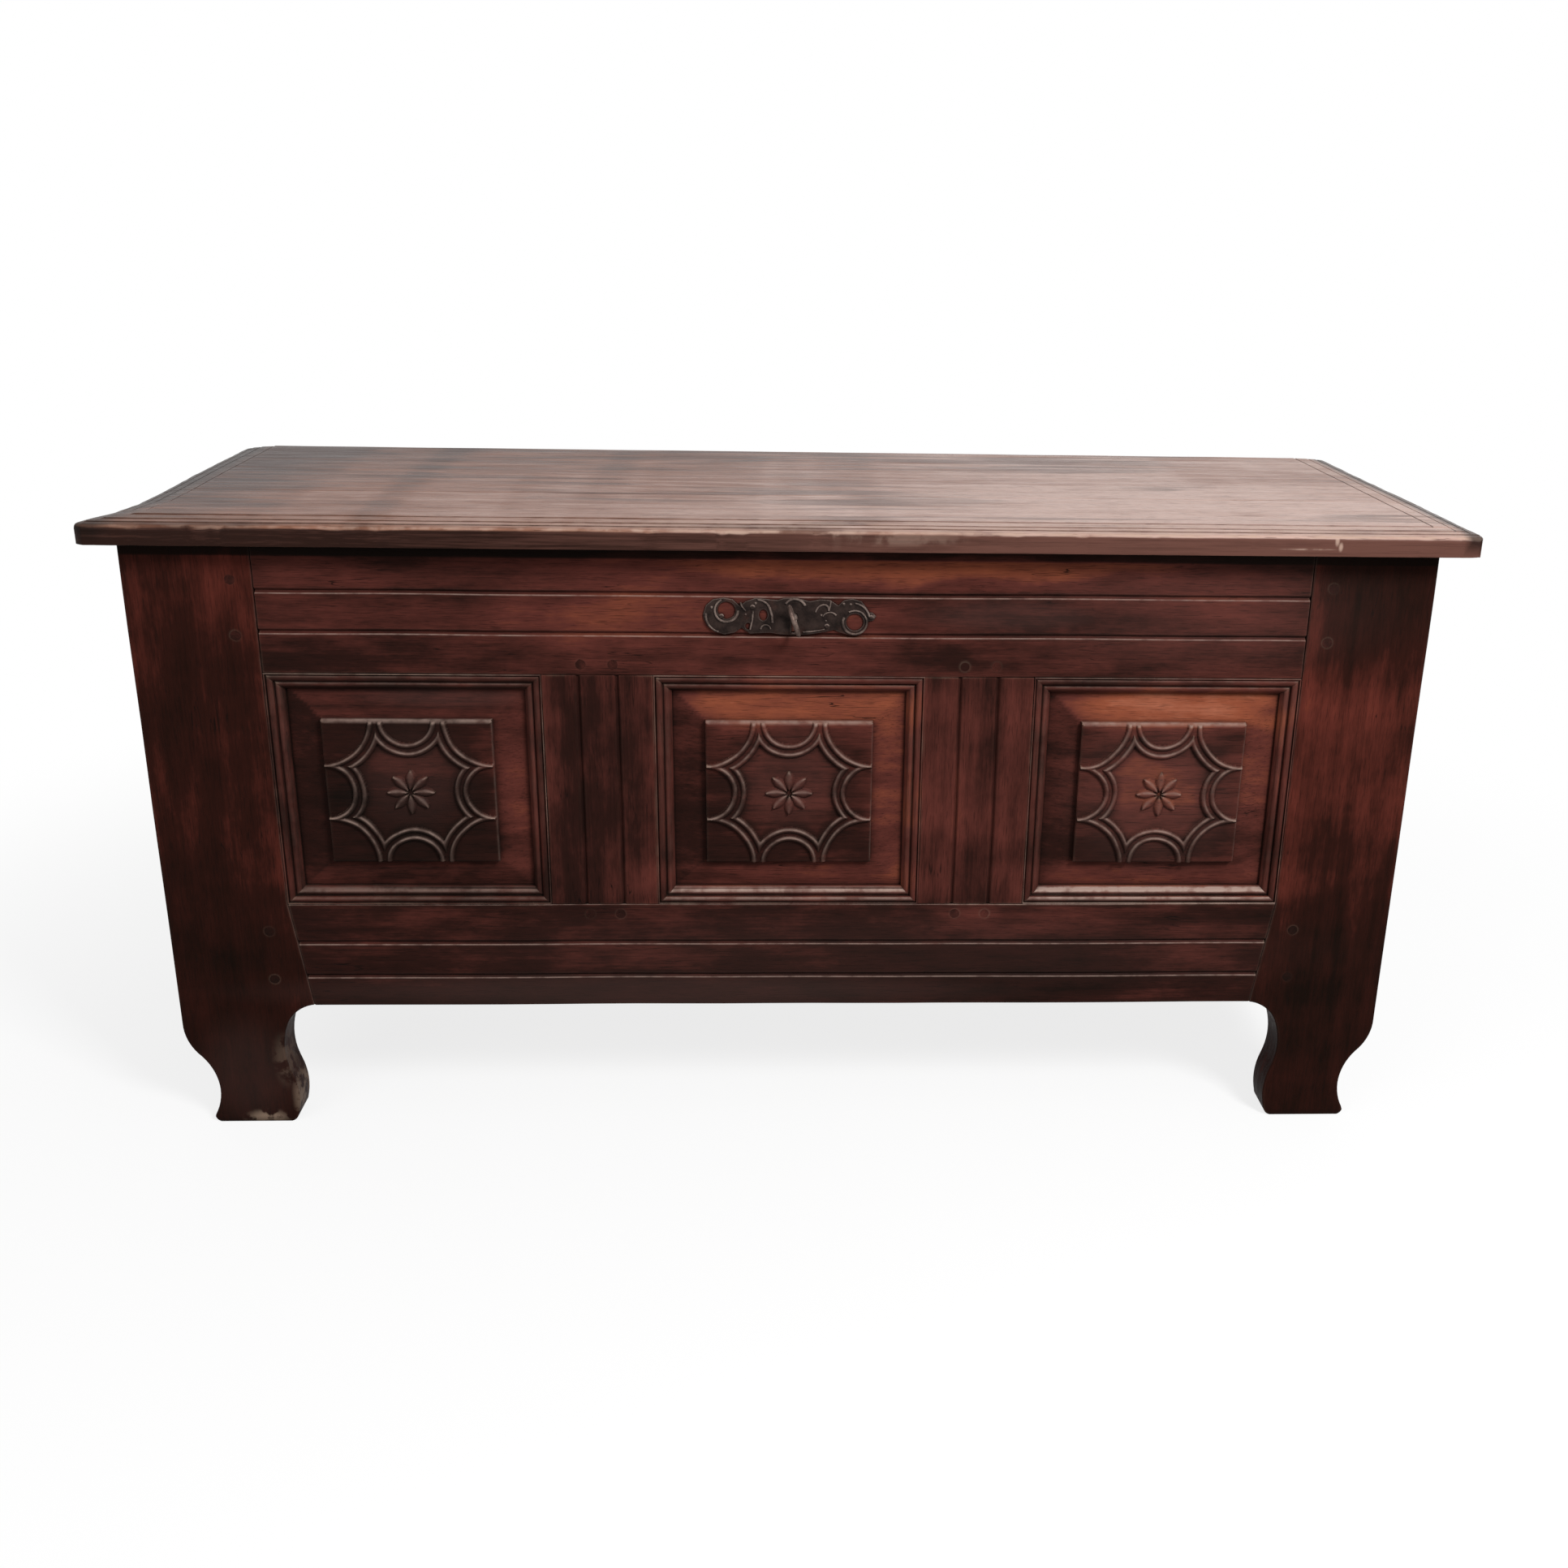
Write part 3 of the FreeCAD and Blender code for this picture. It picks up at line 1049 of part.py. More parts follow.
def escutcheon():
    """Long plate with a round left end and a round right end drawn out to a small nailed tip."""
    half_length = ESCUTCHEON_LENGTH / 2
    lobe = ESCUTCHEON_HEIGHT / 2
    neck = ESCUTCHEON_NECK_HEIGHT / 2
    round_right = half_length - ESCUTCHEON_NECK_LENGTH
    low = KEY_Z - lobe
    high = KEY_Z + lobe
    tip_start = round_right - lobe + math.sqrt(lobe ** 2 - neck ** 2)
    half_chord = math.hypot(tip_start - round_right + lobe, lobe - neck) / 2
    arc_swell = lobe - math.sqrt(lobe ** 2 - half_chord ** 2)
    wire = outline(xz(-half_length + lobe, low), [
        (xz(round_right - lobe, low), 0.0),
        (xz(tip_start, KEY_Z - neck), -arc_swell),
        (xz(half_length - neck, KEY_Z - neck), 0.0),
        (xz(half_length - neck, KEY_Z + neck), -neck),
        (xz(tip_start, KEY_Z + neck), 0.0),
        (xz(round_right - lobe, high), -arc_swell),
        (xz(-half_length + lobe, high), 0.0),
        (xz(-half_length + lobe, low), -lobe),
    ])
    body = plate(wire, ESCUTCHEON_FACE, FRONT)
    holes = nail_holes(ESCUTCHEON_NAILS, ESCUTCHEON_NAIL_LENGTH)
    return cut(body, [key_hole(ESCUTCHEON_FACE, FRONT)] + holes)


def key():
    """Key with an oval bow, collar, shank and bit, turned to its rest angle about its own axis."""
    bow_end = ESCUTCHEON_FACE - KEY_NECK_LENGTH
    bow_middle = Vector(KEY_X, bow_end - KEY_BOW_LENGTH / 2, KEY_Z)
    shank = rod(Vector(KEY_X, bow_end - KEY_BOW_WIRE / 2, KEY_Z), Y_AXIS, KEY_SHANK_RADIUS,
                LOCK_INSIDE_BACK - JOINT_CLEARANCE - bow_end + KEY_BOW_WIRE / 2)
    pilot_start = Vector(KEY_X, LOCK_INSIDE_BACK - LOCK_WALL, KEY_Z)
    pilot = rod(pilot_start, Y_AXIS, KEY_PILOT_RADIUS, 2 * LOCK_WALL)
    collar = rod(Vector(KEY_X, bow_end, KEY_Z), Y_AXIS, KEY_COLLAR_RADIUS, KEY_NECK_LENGTH - JOINT_CLEARANCE)
    half_bit = KEY_BIT_THICKNESS / 2
    bit = box(KEY_X - half_bit, KEY_X + half_bit, STAPLE_Y - KEY_BIT_WIDTH / 2, STAPLE_Y + KEY_BIT_WIDTH / 2,
              KEY_Z - KEY_BIT_RADIUS, KEY_Z)
    pieces = [shank, pilot, collar, bit, key_bow(bow_middle)]
    body = fused(pieces)
    body.rotate(Vector(KEY_X, 0, KEY_Z), Y_AXIS, -KEY_REST_TILT)
    return body


def key_bow(middle):
    """Upright oval ring in the plane of the shank and the bit."""
    def oval(shrink):
        ellipse = Part.Ellipse(Vector(0, 0, 0), KEY_BOW_HEIGHT / 2 - shrink, KEY_BOW_LENGTH / 2 - shrink)
        return Part.Face(Part.Wire(ellipse.toShape())).extrude(Vector(0, 0, KEY_BOW_WIRE))
    ring = oval(0.0).cut(oval(KEY_BOW_WIRE))
    # The ellipse lies in X and Y: stand its long axis up along Z and its thickness across X.
    ring.translate(Vector(0, 0, -KEY_BOW_WIRE / 2))
    ring.rotate(Vector(0, 0, 0), Y_AXIS, 90)
    ring.translate(middle)
    return ring


# Lock behind the top rail

def lock_nails():
    places = []
    half_border = LOCK_PLATE_BORDER / 2
    for x in (KEY_X - LOCK_LEFT - half_border, KEY_X + LOCK_RIGHT + half_border):
        for z in (KEY_Z - LOCK_BELOW - half_border, KEY_Z + LOCK_ABOVE + half_border):
            places.append((Vector(x, LOCK_FACE, z), Y_AXIS * -1))
    return places


LOCK_NAILS = lock_nails()


def lock_plate():
    border = LOCK_PLATE_BORDER
    body = box(KEY_X - LOCK_LEFT - border, KEY_X + LOCK_RIGHT + border, RAIL_INSIDE, LOCK_FACE,
               KEY_Z - LOCK_BELOW - border, KEY_Z + LOCK_ABOVE + border)
    return cut(body, [key_hole(RAIL_INSIDE, LOCK_FACE)] + nail_holes(LOCK_NAILS, LOCK_NAIL_LENGTH))


def lock_case():
    x0 = KEY_X - LOCK_LEFT
    x1 = KEY_X + LOCK_RIGHT
    z0 = KEY_Z - LOCK_BELOW
    z1 = KEY_Z + LOCK_ABOVE
    wall = LOCK_WALL
    body = box(x0, x1, LOCK_FACE, LOCK_BACK, z0, z1)
    hollow = box(x0 + wall, x1 - wall, LOCK_FACE, LOCK_INSIDE_BACK, z0 + wall, z1 - wall)
    half_slot = STAPLE_THICKNESS / 2 + STAPLE_SIDE_GAP
    slot = box(STAPLE_X - half_slot, STAPLE_X + half_slot, LOCK_FACE, LOCK_INSIDE_BACK, z1 - wall, z1)
    pilot = rod(Vector(KEY_X, LOCK_INSIDE_BACK, KEY_Z), Y_AXIS, KEY_PILOT_RADIUS + KEY_PILOT_CLEARANCE, wall)
    return cut(body, [hollow, slot, pilot])


def lock_bolt():
    """Flat C-shaped bolt: upper bar with the nose, web on the right, lower bar with teeth for the bit."""
    nose = STAPLE_X + STAPLE_THICKNESS / 2 + BOLT_NOSE_GAP
    right = KEY_X + BOLT_WEB_RIGHT
    web = right - BOLT_WEB_WIDTH
    bar_low = KEY_Z + BOLT_BAR_RISE
    bar_high = bar_low + BOLT_BAR_HEIGHT
    toe_high = KEY_Z - BOLT_TOE_DROP
    toe_low = KEY_Z - LOCK_BELOW + LOCK_WALL + BOLT_RUNNING_GAP
    tooth_high = toe_high + BOLT_TOOTH_HEIGHT
    notch_x = KEY_X + BOLT_NOTCH_RADIUS * math.sin(math.radians(KEY_REST_TILT))
    notch_left = notch_x - BOLT_NOTCH_WIDTH / 2
    notch_right = notch_x + BOLT_NOTCH_WIDTH / 2
    left = notch_left - BOLT_TOOTH_WIDTH
    tooth_right = notch_right + BOLT_TOOTH_WIDTH
    points = [(nose, bar_low), (web, bar_low), (web, toe_high), (tooth_right, toe_high),
              (tooth_right, tooth_high), (notch_right, tooth_high), (notch_right, toe_high),
              (notch_left, toe_high), (notch_left, tooth_high), (left, tooth_high), (left, toe_low),
              (right, toe_low), (right, bar_high), (nose, bar_high)]
    return polygon_plate(points, STAPLE_Y - BOLT_THICKNESS / 2, STAPLE_Y + BOLT_THICKNESS / 2)


def lock_spring():
    """Bent leaf under the top of the case, pressing on the bolt's upper bar."""
    high = KEY_Z + LOCK_ABOVE - LOCK_WALL
    low = KEY_Z + BOLT_BAR_RISE + BOLT_BAR_HEIGHT + BOLT_RUNNING_GAP
    right = KEY_X + LOCK_RIGHT - LOCK_WALL - BOLT_RUNNING_GAP
    bend = right - SPRING_FOOT
    contact = KEY_X + SPRING_FOOT
    tip = KEY_X
    thick = SPRING_THICKNESS
    points = [(right, high), (bend, high), (contact, low + thick), (tip, low + 3 * thick),
              (tip, low + 2 * thick), (contact, low), (bend, high - thick), (right, high - thick)]
    return polygon_plate(points, STAPLE_Y - SPRING_WIDTH / 2, STAPLE_Y + SPRING_WIDTH / 2)


def staple_nails():
    reach = STAPLE_BASE_LENGTH / 2 - STAPLE_NAIL_INSET
    low = CARCASE_HEIGHT - STAPLE_BASE_THICKNESS
    return [(Vector(STAPLE_X + side * reach, STAPLE_Y, low), Vector(0, 0, 1)) for side in (-1, 1)]


STAPLE_NAILS = staple_nails()


def lid_staple():
    eye_middle = KEY_Z + BOLT_BAR_RISE + BOLT_BAR_HEIGHT / 2
    eye_low = eye_middle - STAPLE_EYE_HEIGHT / 2
    half = STAPLE_THICKNESS / 2
    base_low = CARCASE_HEIGHT - STAPLE_BASE_THICKNESS
    blade = box(STAPLE_X - half, STAPLE_X + half, STAPLE_FRONT, STAPLE_FRONT + STAPLE_WIDTH,
                eye_low - STAPLE_EYE_WALL, CARCASE_HEIGHT)
    base = box(STAPLE_X - STAPLE_BASE_LENGTH / 2, STAPLE_X + STAPLE_BASE_LENGTH / 2,
               STAPLE_FRONT, STAPLE_FRONT + STAPLE_WIDTH, base_low, CARCASE_HEIGHT)
    half_eye = STAPLE_EYE_WIDTH / 2
    eye = box(STAPLE_X - half, STAPLE_X + half, STAPLE_Y - half_eye, STAPLE_Y + half_eye,
              eye_low, eye_low + STAPLE_EYE_HEIGHT)
    return cut(fused([blade, base]), [eye] + nail_holes(STAPLE_NAILS, LOCK_NAIL_LENGTH))


# Write every piece

def nail_group(nails, length, head_radius=NAIL_HEAD_RADIUS):
    return [nail(place, inward, length, head_radius) for place, inward in nails]


def write_pair(stem, right_shape):
    write(stem + "_right", right_shape)
    write(stem + "_left", mirrored(right_shape))


def write_front():
    write_pair("front_stile", front_stile())
    write("front_top_rail", front_top_rail())
    write("front_bottom_rail", front_bottom_rail())
    write_pair("front_muntin", front_muntin())
    middle_z = (TOP_RAIL_LOW + BOTTOM_RAIL_TOP) / 2
    panel = carved_panel()
    for name, x in PANEL_XS.items():
        placed = panel.copy()
        placed.translate(Vector(x, 0, middle_z))
        write("front_panel_" + name, placed)
        write("panel_moulding_" + name, moulding_frame(x))
    write("front_pegs", Part.makeCompound(peg_solids(front_pegs())))


def write_sides_and_back():
    write_pair("side_top_rail", side_rail("top", TOP_RAIL_LOW, CARCASE_HEIGHT))
    write_pair("side_bottom_rail", side_rail("bottom", BOTTOM_RAIL_LIFT, BOTTOM_RAIL_TOP))
    write_pair("side_panel", side_panel())
    write("side_pegs", Part.makeCompound(peg_solids(side_pegs(1)) + peg_solids(side_pegs(-1))))
    write_pair("back_stile", back_stile())
    top = back_rail(TOP_RAIL_LOW, CARCASE_HEIGHT)
    write("back_top_rail", cut(top, nail_holes(back_plate_nails(), HINGE_NAIL_LENGTH)))
    bottom = back_rail(BOTTOM_RAIL_LIFT, BOTTOM_RAIL_TOP)
    write("back_bottom_rail", cut(bottom, nail_holes(ledger_nails(BACK_LEDGER_Y, 1), LEDGER_NAIL_LENGTH)))
    write("back_muntin", back_muntin())
    write_pair("back_panel", back_panel())
    write("back_pegs", Part.makeCompound(peg_solids(back_pegs())))


def write_floor():
    write("floor_ledger_front", ledger(FRONT_LEDGER_Y, -1))
    write("floor_ledger_back", ledger(BACK_LEDGER_Y, 1))
    for index in range(FLOOR_BOARD_COUNT):
        write("floor_board_%d" % (index + 1), floor_board(index))
    nails = nail_group(floor_nails(), FLOOR_NAIL_LENGTH)
    nails += nail_group(ledger_nails(FRONT_LEDGER_Y, -1), LEDGER_NAIL_LENGTH)
    nails += nail_group(ledger_nails(BACK_LEDGER_Y, 1), LEDGER_NAIL_LENGTH)
    write("floor_nails", Part.makeCompound(nails))


def write_lid_and_hinges():
    front_board, rear_board = lid_boards()
    write("lid_board_front", front_board)
    write("lid_board_rear", rear_board)
    write_pair("lid_batten", lid_batten())
    write("lid_batten_nails", Part.makeCompound(nail_group(batten_nails(), BATTEN_NAIL_LENGTH)))
    for name, side in (("left", -1), ("right", 1)):
        write("hinge_strap_" + name, hinge_strap(side * HINGE_X))
        write("hinge_plate_" + name, hinge_plate(side * HINGE_X))
        write("hinge_pin_" + name, hinge_pin(side * HINGE_X))
    write("hinge_strap_nails", Part.makeCompound(nail_group(strap_nails(), HINGE_NAIL_LENGTH)))
    write("hinge_plate_nails", Part.makeCompound(nail_group(back_plate_nails(), HINGE_NAIL_LENGTH)))


def write_lock():
    write("escutcheon", escutcheon())
    nails = nail_group(ESCUTCHEON_NAILS, ESCUTCHEON_NAIL_LENGTH, ESCUTCHEON_NAIL_HEAD)
    write("escutcheon_nails", Part.makeCompound(nails))
    write("key", key())
    write("lock_plate", lock_plate())
    write("lock_case", lock_case())
    write("lock_bolt", lock_bolt())
    write("lock_spring", lock_spring())
    write("lock_nails", Part.makeCompound(nail_group(LOCK_NAILS, LOCK_NAIL_LENGTH)))
    write("lid_staple", lid_staple())
    write("lid_staple_nails", Part.makeCompound(nail_group(STAPLE_NAILS, LOCK_NAIL_LENGTH)))


os.makedirs("parts", exist_ok=True)
write_front()
write_sides_and_back()
write_floor()
write_lid_and_hinges()
write_lock()
print("lid hinge axis: y %.3f, z %.3f" % (HINGE_AXIS_Y, HINGE_AXIS_Z))
print("key axis: x %.3f, z %.3f" % (KEY_X, KEY_Z))
print("front face y %.3f, back face y %.3f, lid top z %.3f" % (FRONT, BACK, LID_TOP))
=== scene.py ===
# %% [markdown]
# # A joined oak coffer chest
# The chest is a pegged frame of oak stiles and rails that holds three carved panels. A flat lid of two
# boards turns on strap hinges, and a key works a bolt behind the iron lock plate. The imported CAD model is
# loaded first and stays where it is. Each piece made below sits in its places, in metres, and takes over
# from a CAD node.

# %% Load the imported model
import json
import math
import random

import bmesh
import bpy
from mathutils import Matrix, Vector, noise

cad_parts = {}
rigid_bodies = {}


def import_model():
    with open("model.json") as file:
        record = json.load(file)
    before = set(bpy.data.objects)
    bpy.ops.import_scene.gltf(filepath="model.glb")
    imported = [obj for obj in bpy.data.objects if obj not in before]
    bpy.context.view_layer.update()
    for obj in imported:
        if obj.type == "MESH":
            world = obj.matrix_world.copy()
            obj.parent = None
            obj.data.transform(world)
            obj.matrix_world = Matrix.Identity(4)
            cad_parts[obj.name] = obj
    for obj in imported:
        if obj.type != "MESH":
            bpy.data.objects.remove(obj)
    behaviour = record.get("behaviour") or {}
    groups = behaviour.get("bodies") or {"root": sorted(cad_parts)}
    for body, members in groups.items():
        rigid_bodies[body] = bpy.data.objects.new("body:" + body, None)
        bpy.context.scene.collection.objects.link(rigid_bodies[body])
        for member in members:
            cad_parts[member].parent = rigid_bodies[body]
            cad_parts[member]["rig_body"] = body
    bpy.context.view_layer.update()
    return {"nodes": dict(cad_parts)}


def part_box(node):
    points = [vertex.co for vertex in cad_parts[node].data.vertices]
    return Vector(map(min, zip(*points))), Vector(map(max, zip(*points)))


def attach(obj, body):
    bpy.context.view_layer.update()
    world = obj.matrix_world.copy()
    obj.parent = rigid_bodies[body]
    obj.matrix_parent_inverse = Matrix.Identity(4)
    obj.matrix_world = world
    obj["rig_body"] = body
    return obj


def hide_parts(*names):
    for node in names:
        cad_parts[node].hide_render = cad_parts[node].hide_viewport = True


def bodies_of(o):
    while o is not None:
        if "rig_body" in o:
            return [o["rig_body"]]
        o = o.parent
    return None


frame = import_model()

NODES = frame["nodes"]
MM = 0.001
print("nodes loaded:", len(NODES))

# %% [markdown]
# ## The camera
# The photograph was taken a little above the lid, from about a metre and a half in front. The camera's
# place and turn were worked out once from the chest's own corners. They are kept here as a place, three
# angles and a focal length in pixels, and the optical axis lies a little right of the picture's middle,
# which is what the shift is for.

# %% Place the camera
IMAGE_SIZE = 1932
SENSOR_WIDTH = 36.0
FOCAL_PIXELS = 1989.1
OPTICAL_AXIS_X = 1050.6
CAMERA_PLACE = Vector((-0.0097, -1.79665, 0.9594))
CAMERA_PITCH = -0.344
CAMERA_YAW = -0.048
CAMERA_ROLL = 0.019


def camera_turn(pitch, yaw, roll):
    """Rotation of a camera that looks along +Y, then yaws, pitches and rolls."""
    level = Matrix.Rotation(yaw, 3, "Z") @ Matrix.Rotation(math.pi / 2 + pitch, 3, "X")
    return level @ Matrix.Rotation(roll, 3, "Z")


def add_object(name, data):
    """Puts new data into the scene as an object of its own."""
    made = bpy.data.objects.new(name, data)
    bpy.context.scene.collection.objects.link(made)
    return made


camera_data = bpy.data.cameras.new("camera")
camera_data.sensor_width = SENSOR_WIDTH
camera_data.lens = FOCAL_PIXELS * SENSOR_WIDTH / IMAGE_SIZE
camera_data.shift_x = (IMAGE_SIZE / 2 - OPTICAL_AXIS_X) / IMAGE_SIZE
camera = add_object("camera", camera_data)
turn = camera_turn(CAMERA_PITCH, CAMERA_YAW, CAMERA_ROLL)
camera.matrix_world = Matrix.Translation(CAMERA_PLACE) @ turn.to_4x4()
bpy.context.scene.camera = camera
bpy.context.scene.view_settings.view_transform = "Standard"
print("lens:", round(camera_data.lens, 2), "mm, shift:", round(camera_data.shift_x, 4))

# %% [markdown]
# ## A small kit for materials
# Every finish below is drawn by nodes, so it needs no pictures. Adding nodes one by one takes many lines,
# so a small class adds a node, fills its sockets from values or from other nodes, and hands back the
# socket to use next. Patterns read Object coordinates: all pieces share the chest's origin, so one pattern
# runs through all of them.


# %% Write the node kit
class NodeKit:
    """Adds nodes to a tree. Each method returns the socket to use next."""

    def __init__(self, tree):
        self.tree = tree

    def add(self, kind, inputs=None, **settings):
        made = self.tree.nodes.new("ShaderNode" + kind)
        for key, value in settings.items():
            setattr(made, key, value)
        for socket, value in (inputs or {}).items():
            self.put(made.inputs[socket], value)
        return made

    def put(self, socket, value):
        """Links a socket, or fills it with a number, a place or a colour."""
        if isinstance(value, bpy.types.NodeSocket):
            self.tree.links.new(value, socket)
        elif socket.type == "RGBA":
            socket.default_value = (*value, 1.0)
        else:
            socket.default_value = value

    def math(self, operation, first, *others):
        """One node for a lone value, or a chain that takes in the other values one by one."""
        if not others:
            return self.add("Math", {0: first}, operation=operation).outputs[0]
        for other in others:
            first = self.add("Math", {0: first, 1: other}, operation=operation).outputs[0]
        return first

    def blend(self, *parts):
        """Sum of several values, each times its weight."""
        return self.math("ADD", *(self.math("MULTIPLY", value, weight) for value, weight in parts))

    def vector_math(self, operation, *values):
        return self.add("VectorMath", dict(enumerate(values)), operation=operation).outputs["Vector"]

    def length(self, place):
        return self.add("VectorMath", {0: place}, operation="LENGTH").outputs["Value"]

    def noise(self, place, scale, detail=3.0, roughness=0.55, distortion=0.0):
        inputs = {"Scale": 1.0, "Detail": detail, "Roughness": roughness, "Distortion": distortion}
        inputs["Vector"] = self.vector_math("MULTIPLY", place, scale)
        return self.add("TexNoise", inputs).outputs["Fac"]

    def span(self, value, low, high, start=0.0, end=1.0, curve="SMOOTHSTEP"):
        inputs = {"Value": value, "From Min": low, "From Max": high, "To Min": start, "To Max": end}
        return self.add("MapRange", inputs, interpolation_type=curve).outputs["Result"]

    def swing(self, value, reach, low=0.25, high=0.75):
        """A pattern as a shift that runs straight from -reach to reach."""
        return self.span(value, low, high, -reach, reach, "LINEAR")

    def mix(self, factor, first, second, blend="MIX"):
        made = self.add("Mix", {0: factor, 6: first, 7: second}, data_type="RGBA", blend_type=blend)
        return made.outputs[2]

    def cover(self, colour, top, first_share, *shares):
        """Covers a colour by another one, as far as the product of the shares says."""
        share = self.math("MULTIPLY", first_share, *shares) if shares else first_share
        return self.mix(share, colour, top)

    def ramp(self, value, stops):
        made = self.add("ValToRGB", {"Fac": value})
        points = made.color_ramp.elements
        while len(points) < len(stops):
            points.new(1.0)
        for point, (position, colour) in zip(points, stops):
            point.position = position
            point.color = (*colour, 1.0)
        return made.outputs["Color"]


print("node kit ready:", NodeKit.__name__)

# %% Write the start of every finish
# The share of a zone's reach over which it has its full strength
ZONE_CORE = 0.25


class Finish(NodeKit):
    """A material under construction, with the places and directions that its patterns read."""

    def __init__(self, name):
        self.material = bpy.data.materials.new(name)
        self.material.use_nodes = True
        super().__init__(self.material.node_tree)
        self.shader = self.tree.nodes["Principled BSDF"]
        coordinates = self.add("TexCoord")
        self.place = coordinates.outputs["Object"]
        self.along, self.depth, self.height = self.add("SeparateXYZ", {"Vector": self.place}).outputs
        self.facing = self.add("SeparateXYZ", {"Vector": coordinates.outputs["Normal"]}).outputs["Z"]

    def zone(self, place, centre, reach, strength=1.0):
        """The strength at the centre, fading smoothly to 0 at reach from it along each axis."""
        inputs = {"Vector": place, "Location": centre, "Scale": reach}
        local = self.add("Mapping", inputs, vector_type="TEXTURE").outputs["Vector"]
        return self.span(self.length(local), ZONE_CORE, 1.0, strength, 0.0)

    def strongest_zone(self, zones):
        """The largest of several zones, each given by centre, reach and strength."""
        return self.math("MAXIMUM", 0.0, *(self.zone(self.place, *zone) for zone in zones))

    def painted(self, layer):
        """A value painted on the piece's own vertices; 0 on pieces without that layer."""
        return self.add("Attribute", attribute_name=layer).outputs["Fac"]

    def constants(self, **values):
        """Numbers that are the same all over the surface, straight on the shader's sockets."""
        for socket, value in values.items():
            self.shader.inputs[socket.replace("_", " ")].default_value = value

    def done(self, colour, roughness, relief, strength, distance):
        """Hands colour, roughness and bump to the shader, and gives back the material."""
        bump = self.add("Bump", {"Height": relief, "Strength": strength, "Distance": distance})
        self.put(self.shader.inputs["Base Color"], colour)
        self.put(self.shader.inputs["Roughness"], roughness)
        self.put(self.shader.inputs["Normal"], bump.outputs["Normal"])
        return self.material


print("finish kit ready:", Finish.__name__)

# %% [markdown]
# ## Floor and light
# The photograph shows the chest cut out on white with a faint shadow. The floor here is white to the
# camera and in reflections, and only close round the chest does it take the light like a matte sheet,
# which keeps the shadow. A large soft lamp high on the right gives the carving its shadows, a weaker one
# fills in from the left, and one behind puts a sheen on the lid.

# %% Lay the floor
FLOOR_SIZE = 30.0
FLOOR_SEEN = (0.86, 0.86, 0.86)
FLOOR_BOUNCE = (0.36, 0.36, 0.36)
WHITE = (1.0, 1.0, 1.0)
# Share of the light that the floor close round the chest takes like a matte sheet, and where that fades out
SHADOW_SHARE = 0.20
SHADOW_NEAR = 0.75
SHADOW_FAR = 1.7


def background_rays(kit):
    """1 for the rays that see the white background: from the camera, reflected, or passing through."""
    path = kit.add("LightPath").outputs
    return kit.math("MAXIMUM", path["Is Camera Ray"], path["Is Glossy Ray"], path["Is Transmission Ray"])


sheet = Finish("floor")
sheet.constants(Roughness=1.0, Specular_IOR_Level=0.0)
from_camera = sheet.add("LightPath").outputs["Is Camera Ray"]
sheet.put(sheet.shader.inputs["Base Color"], sheet.mix(from_camera, FLOOR_BOUNCE, FLOOR_SEEN))
glow = sheet.add("Emission", {"Color": WHITE, "Strength": 1.0})
glow_share = sheet.span(sheet.length(sheet.place), SHADOW_NEAR, SHADOW_FAR, 1.0 - SHADOW_SHARE, 1.0)
glow_share = sheet.math("MULTIPLY", glow_share, background_rays(sheet))
surface = sheet.add("MixShader", {0: glow_share, 1: sheet.shader.outputs[0], 2: glow.outputs[0]})
sheet.put(sheet.tree.nodes["Material Output"].inputs["Surface"], surface.outputs[0])

floor_shape = bmesh.new()
bmesh.ops.create_grid(floor_shape, x_segments=1, y_segments=1, size=FLOOR_SIZE / 2)
floor_mesh = bpy.data.meshes.new("floor")
floor_shape.to_mesh(floor_mesh)
floor_shape.free()
floor_mesh.materials.append(sheet.material)
floor = add_object("floor", floor_mesh)
print("floor:", FLOOR_SIZE, "m wide")

# %% Light the studio
AMBIENT_STRENGTH = 0.45
# Each lamp: name, place, the point it faces, size, watts
LAMPS = (
    ("key_lamp", (1.6, -2.2, 2.4), (0.1, -0.2, 0.35), 0.8, 108.0),
    ("fill_lamp", (-1.9, -2.4, 1.5), (0.0, -0.2, 0.35), 1.6, 20.0),
    ("sheen_lamp", (1.2, 2.4, 1.6), (0.2, 0.0, 0.65), 3.0, 9.0),
)

for name, place, facing, size, watts in LAMPS:
    lamp_data = bpy.data.lights.new(name, "AREA")
    lamp_data.size = size
    lamp_data.energy = watts
    lamp = add_object(name, lamp_data)
    lamp.location = place
    lamp.rotation_euler = (Vector(facing) - Vector(place)).to_track_quat("-Z", "Y").to_euler()
    lamp.visible_camera = False

world = bpy.data.worlds.new("studio")
world.use_nodes = True
bpy.context.scene.world = world
sky = NodeKit(world.node_tree)
background = world.node_tree.nodes["Background"]
sky.put(background.inputs["Color"], WHITE)
sky_level = sky.span(background_rays(sky), 0.0, 1.0, AMBIENT_STRENGTH, 1.0, "LINEAR")
sky.put(background.inputs["Strength"], sky_level)
print("lamps:", len(LAMPS))
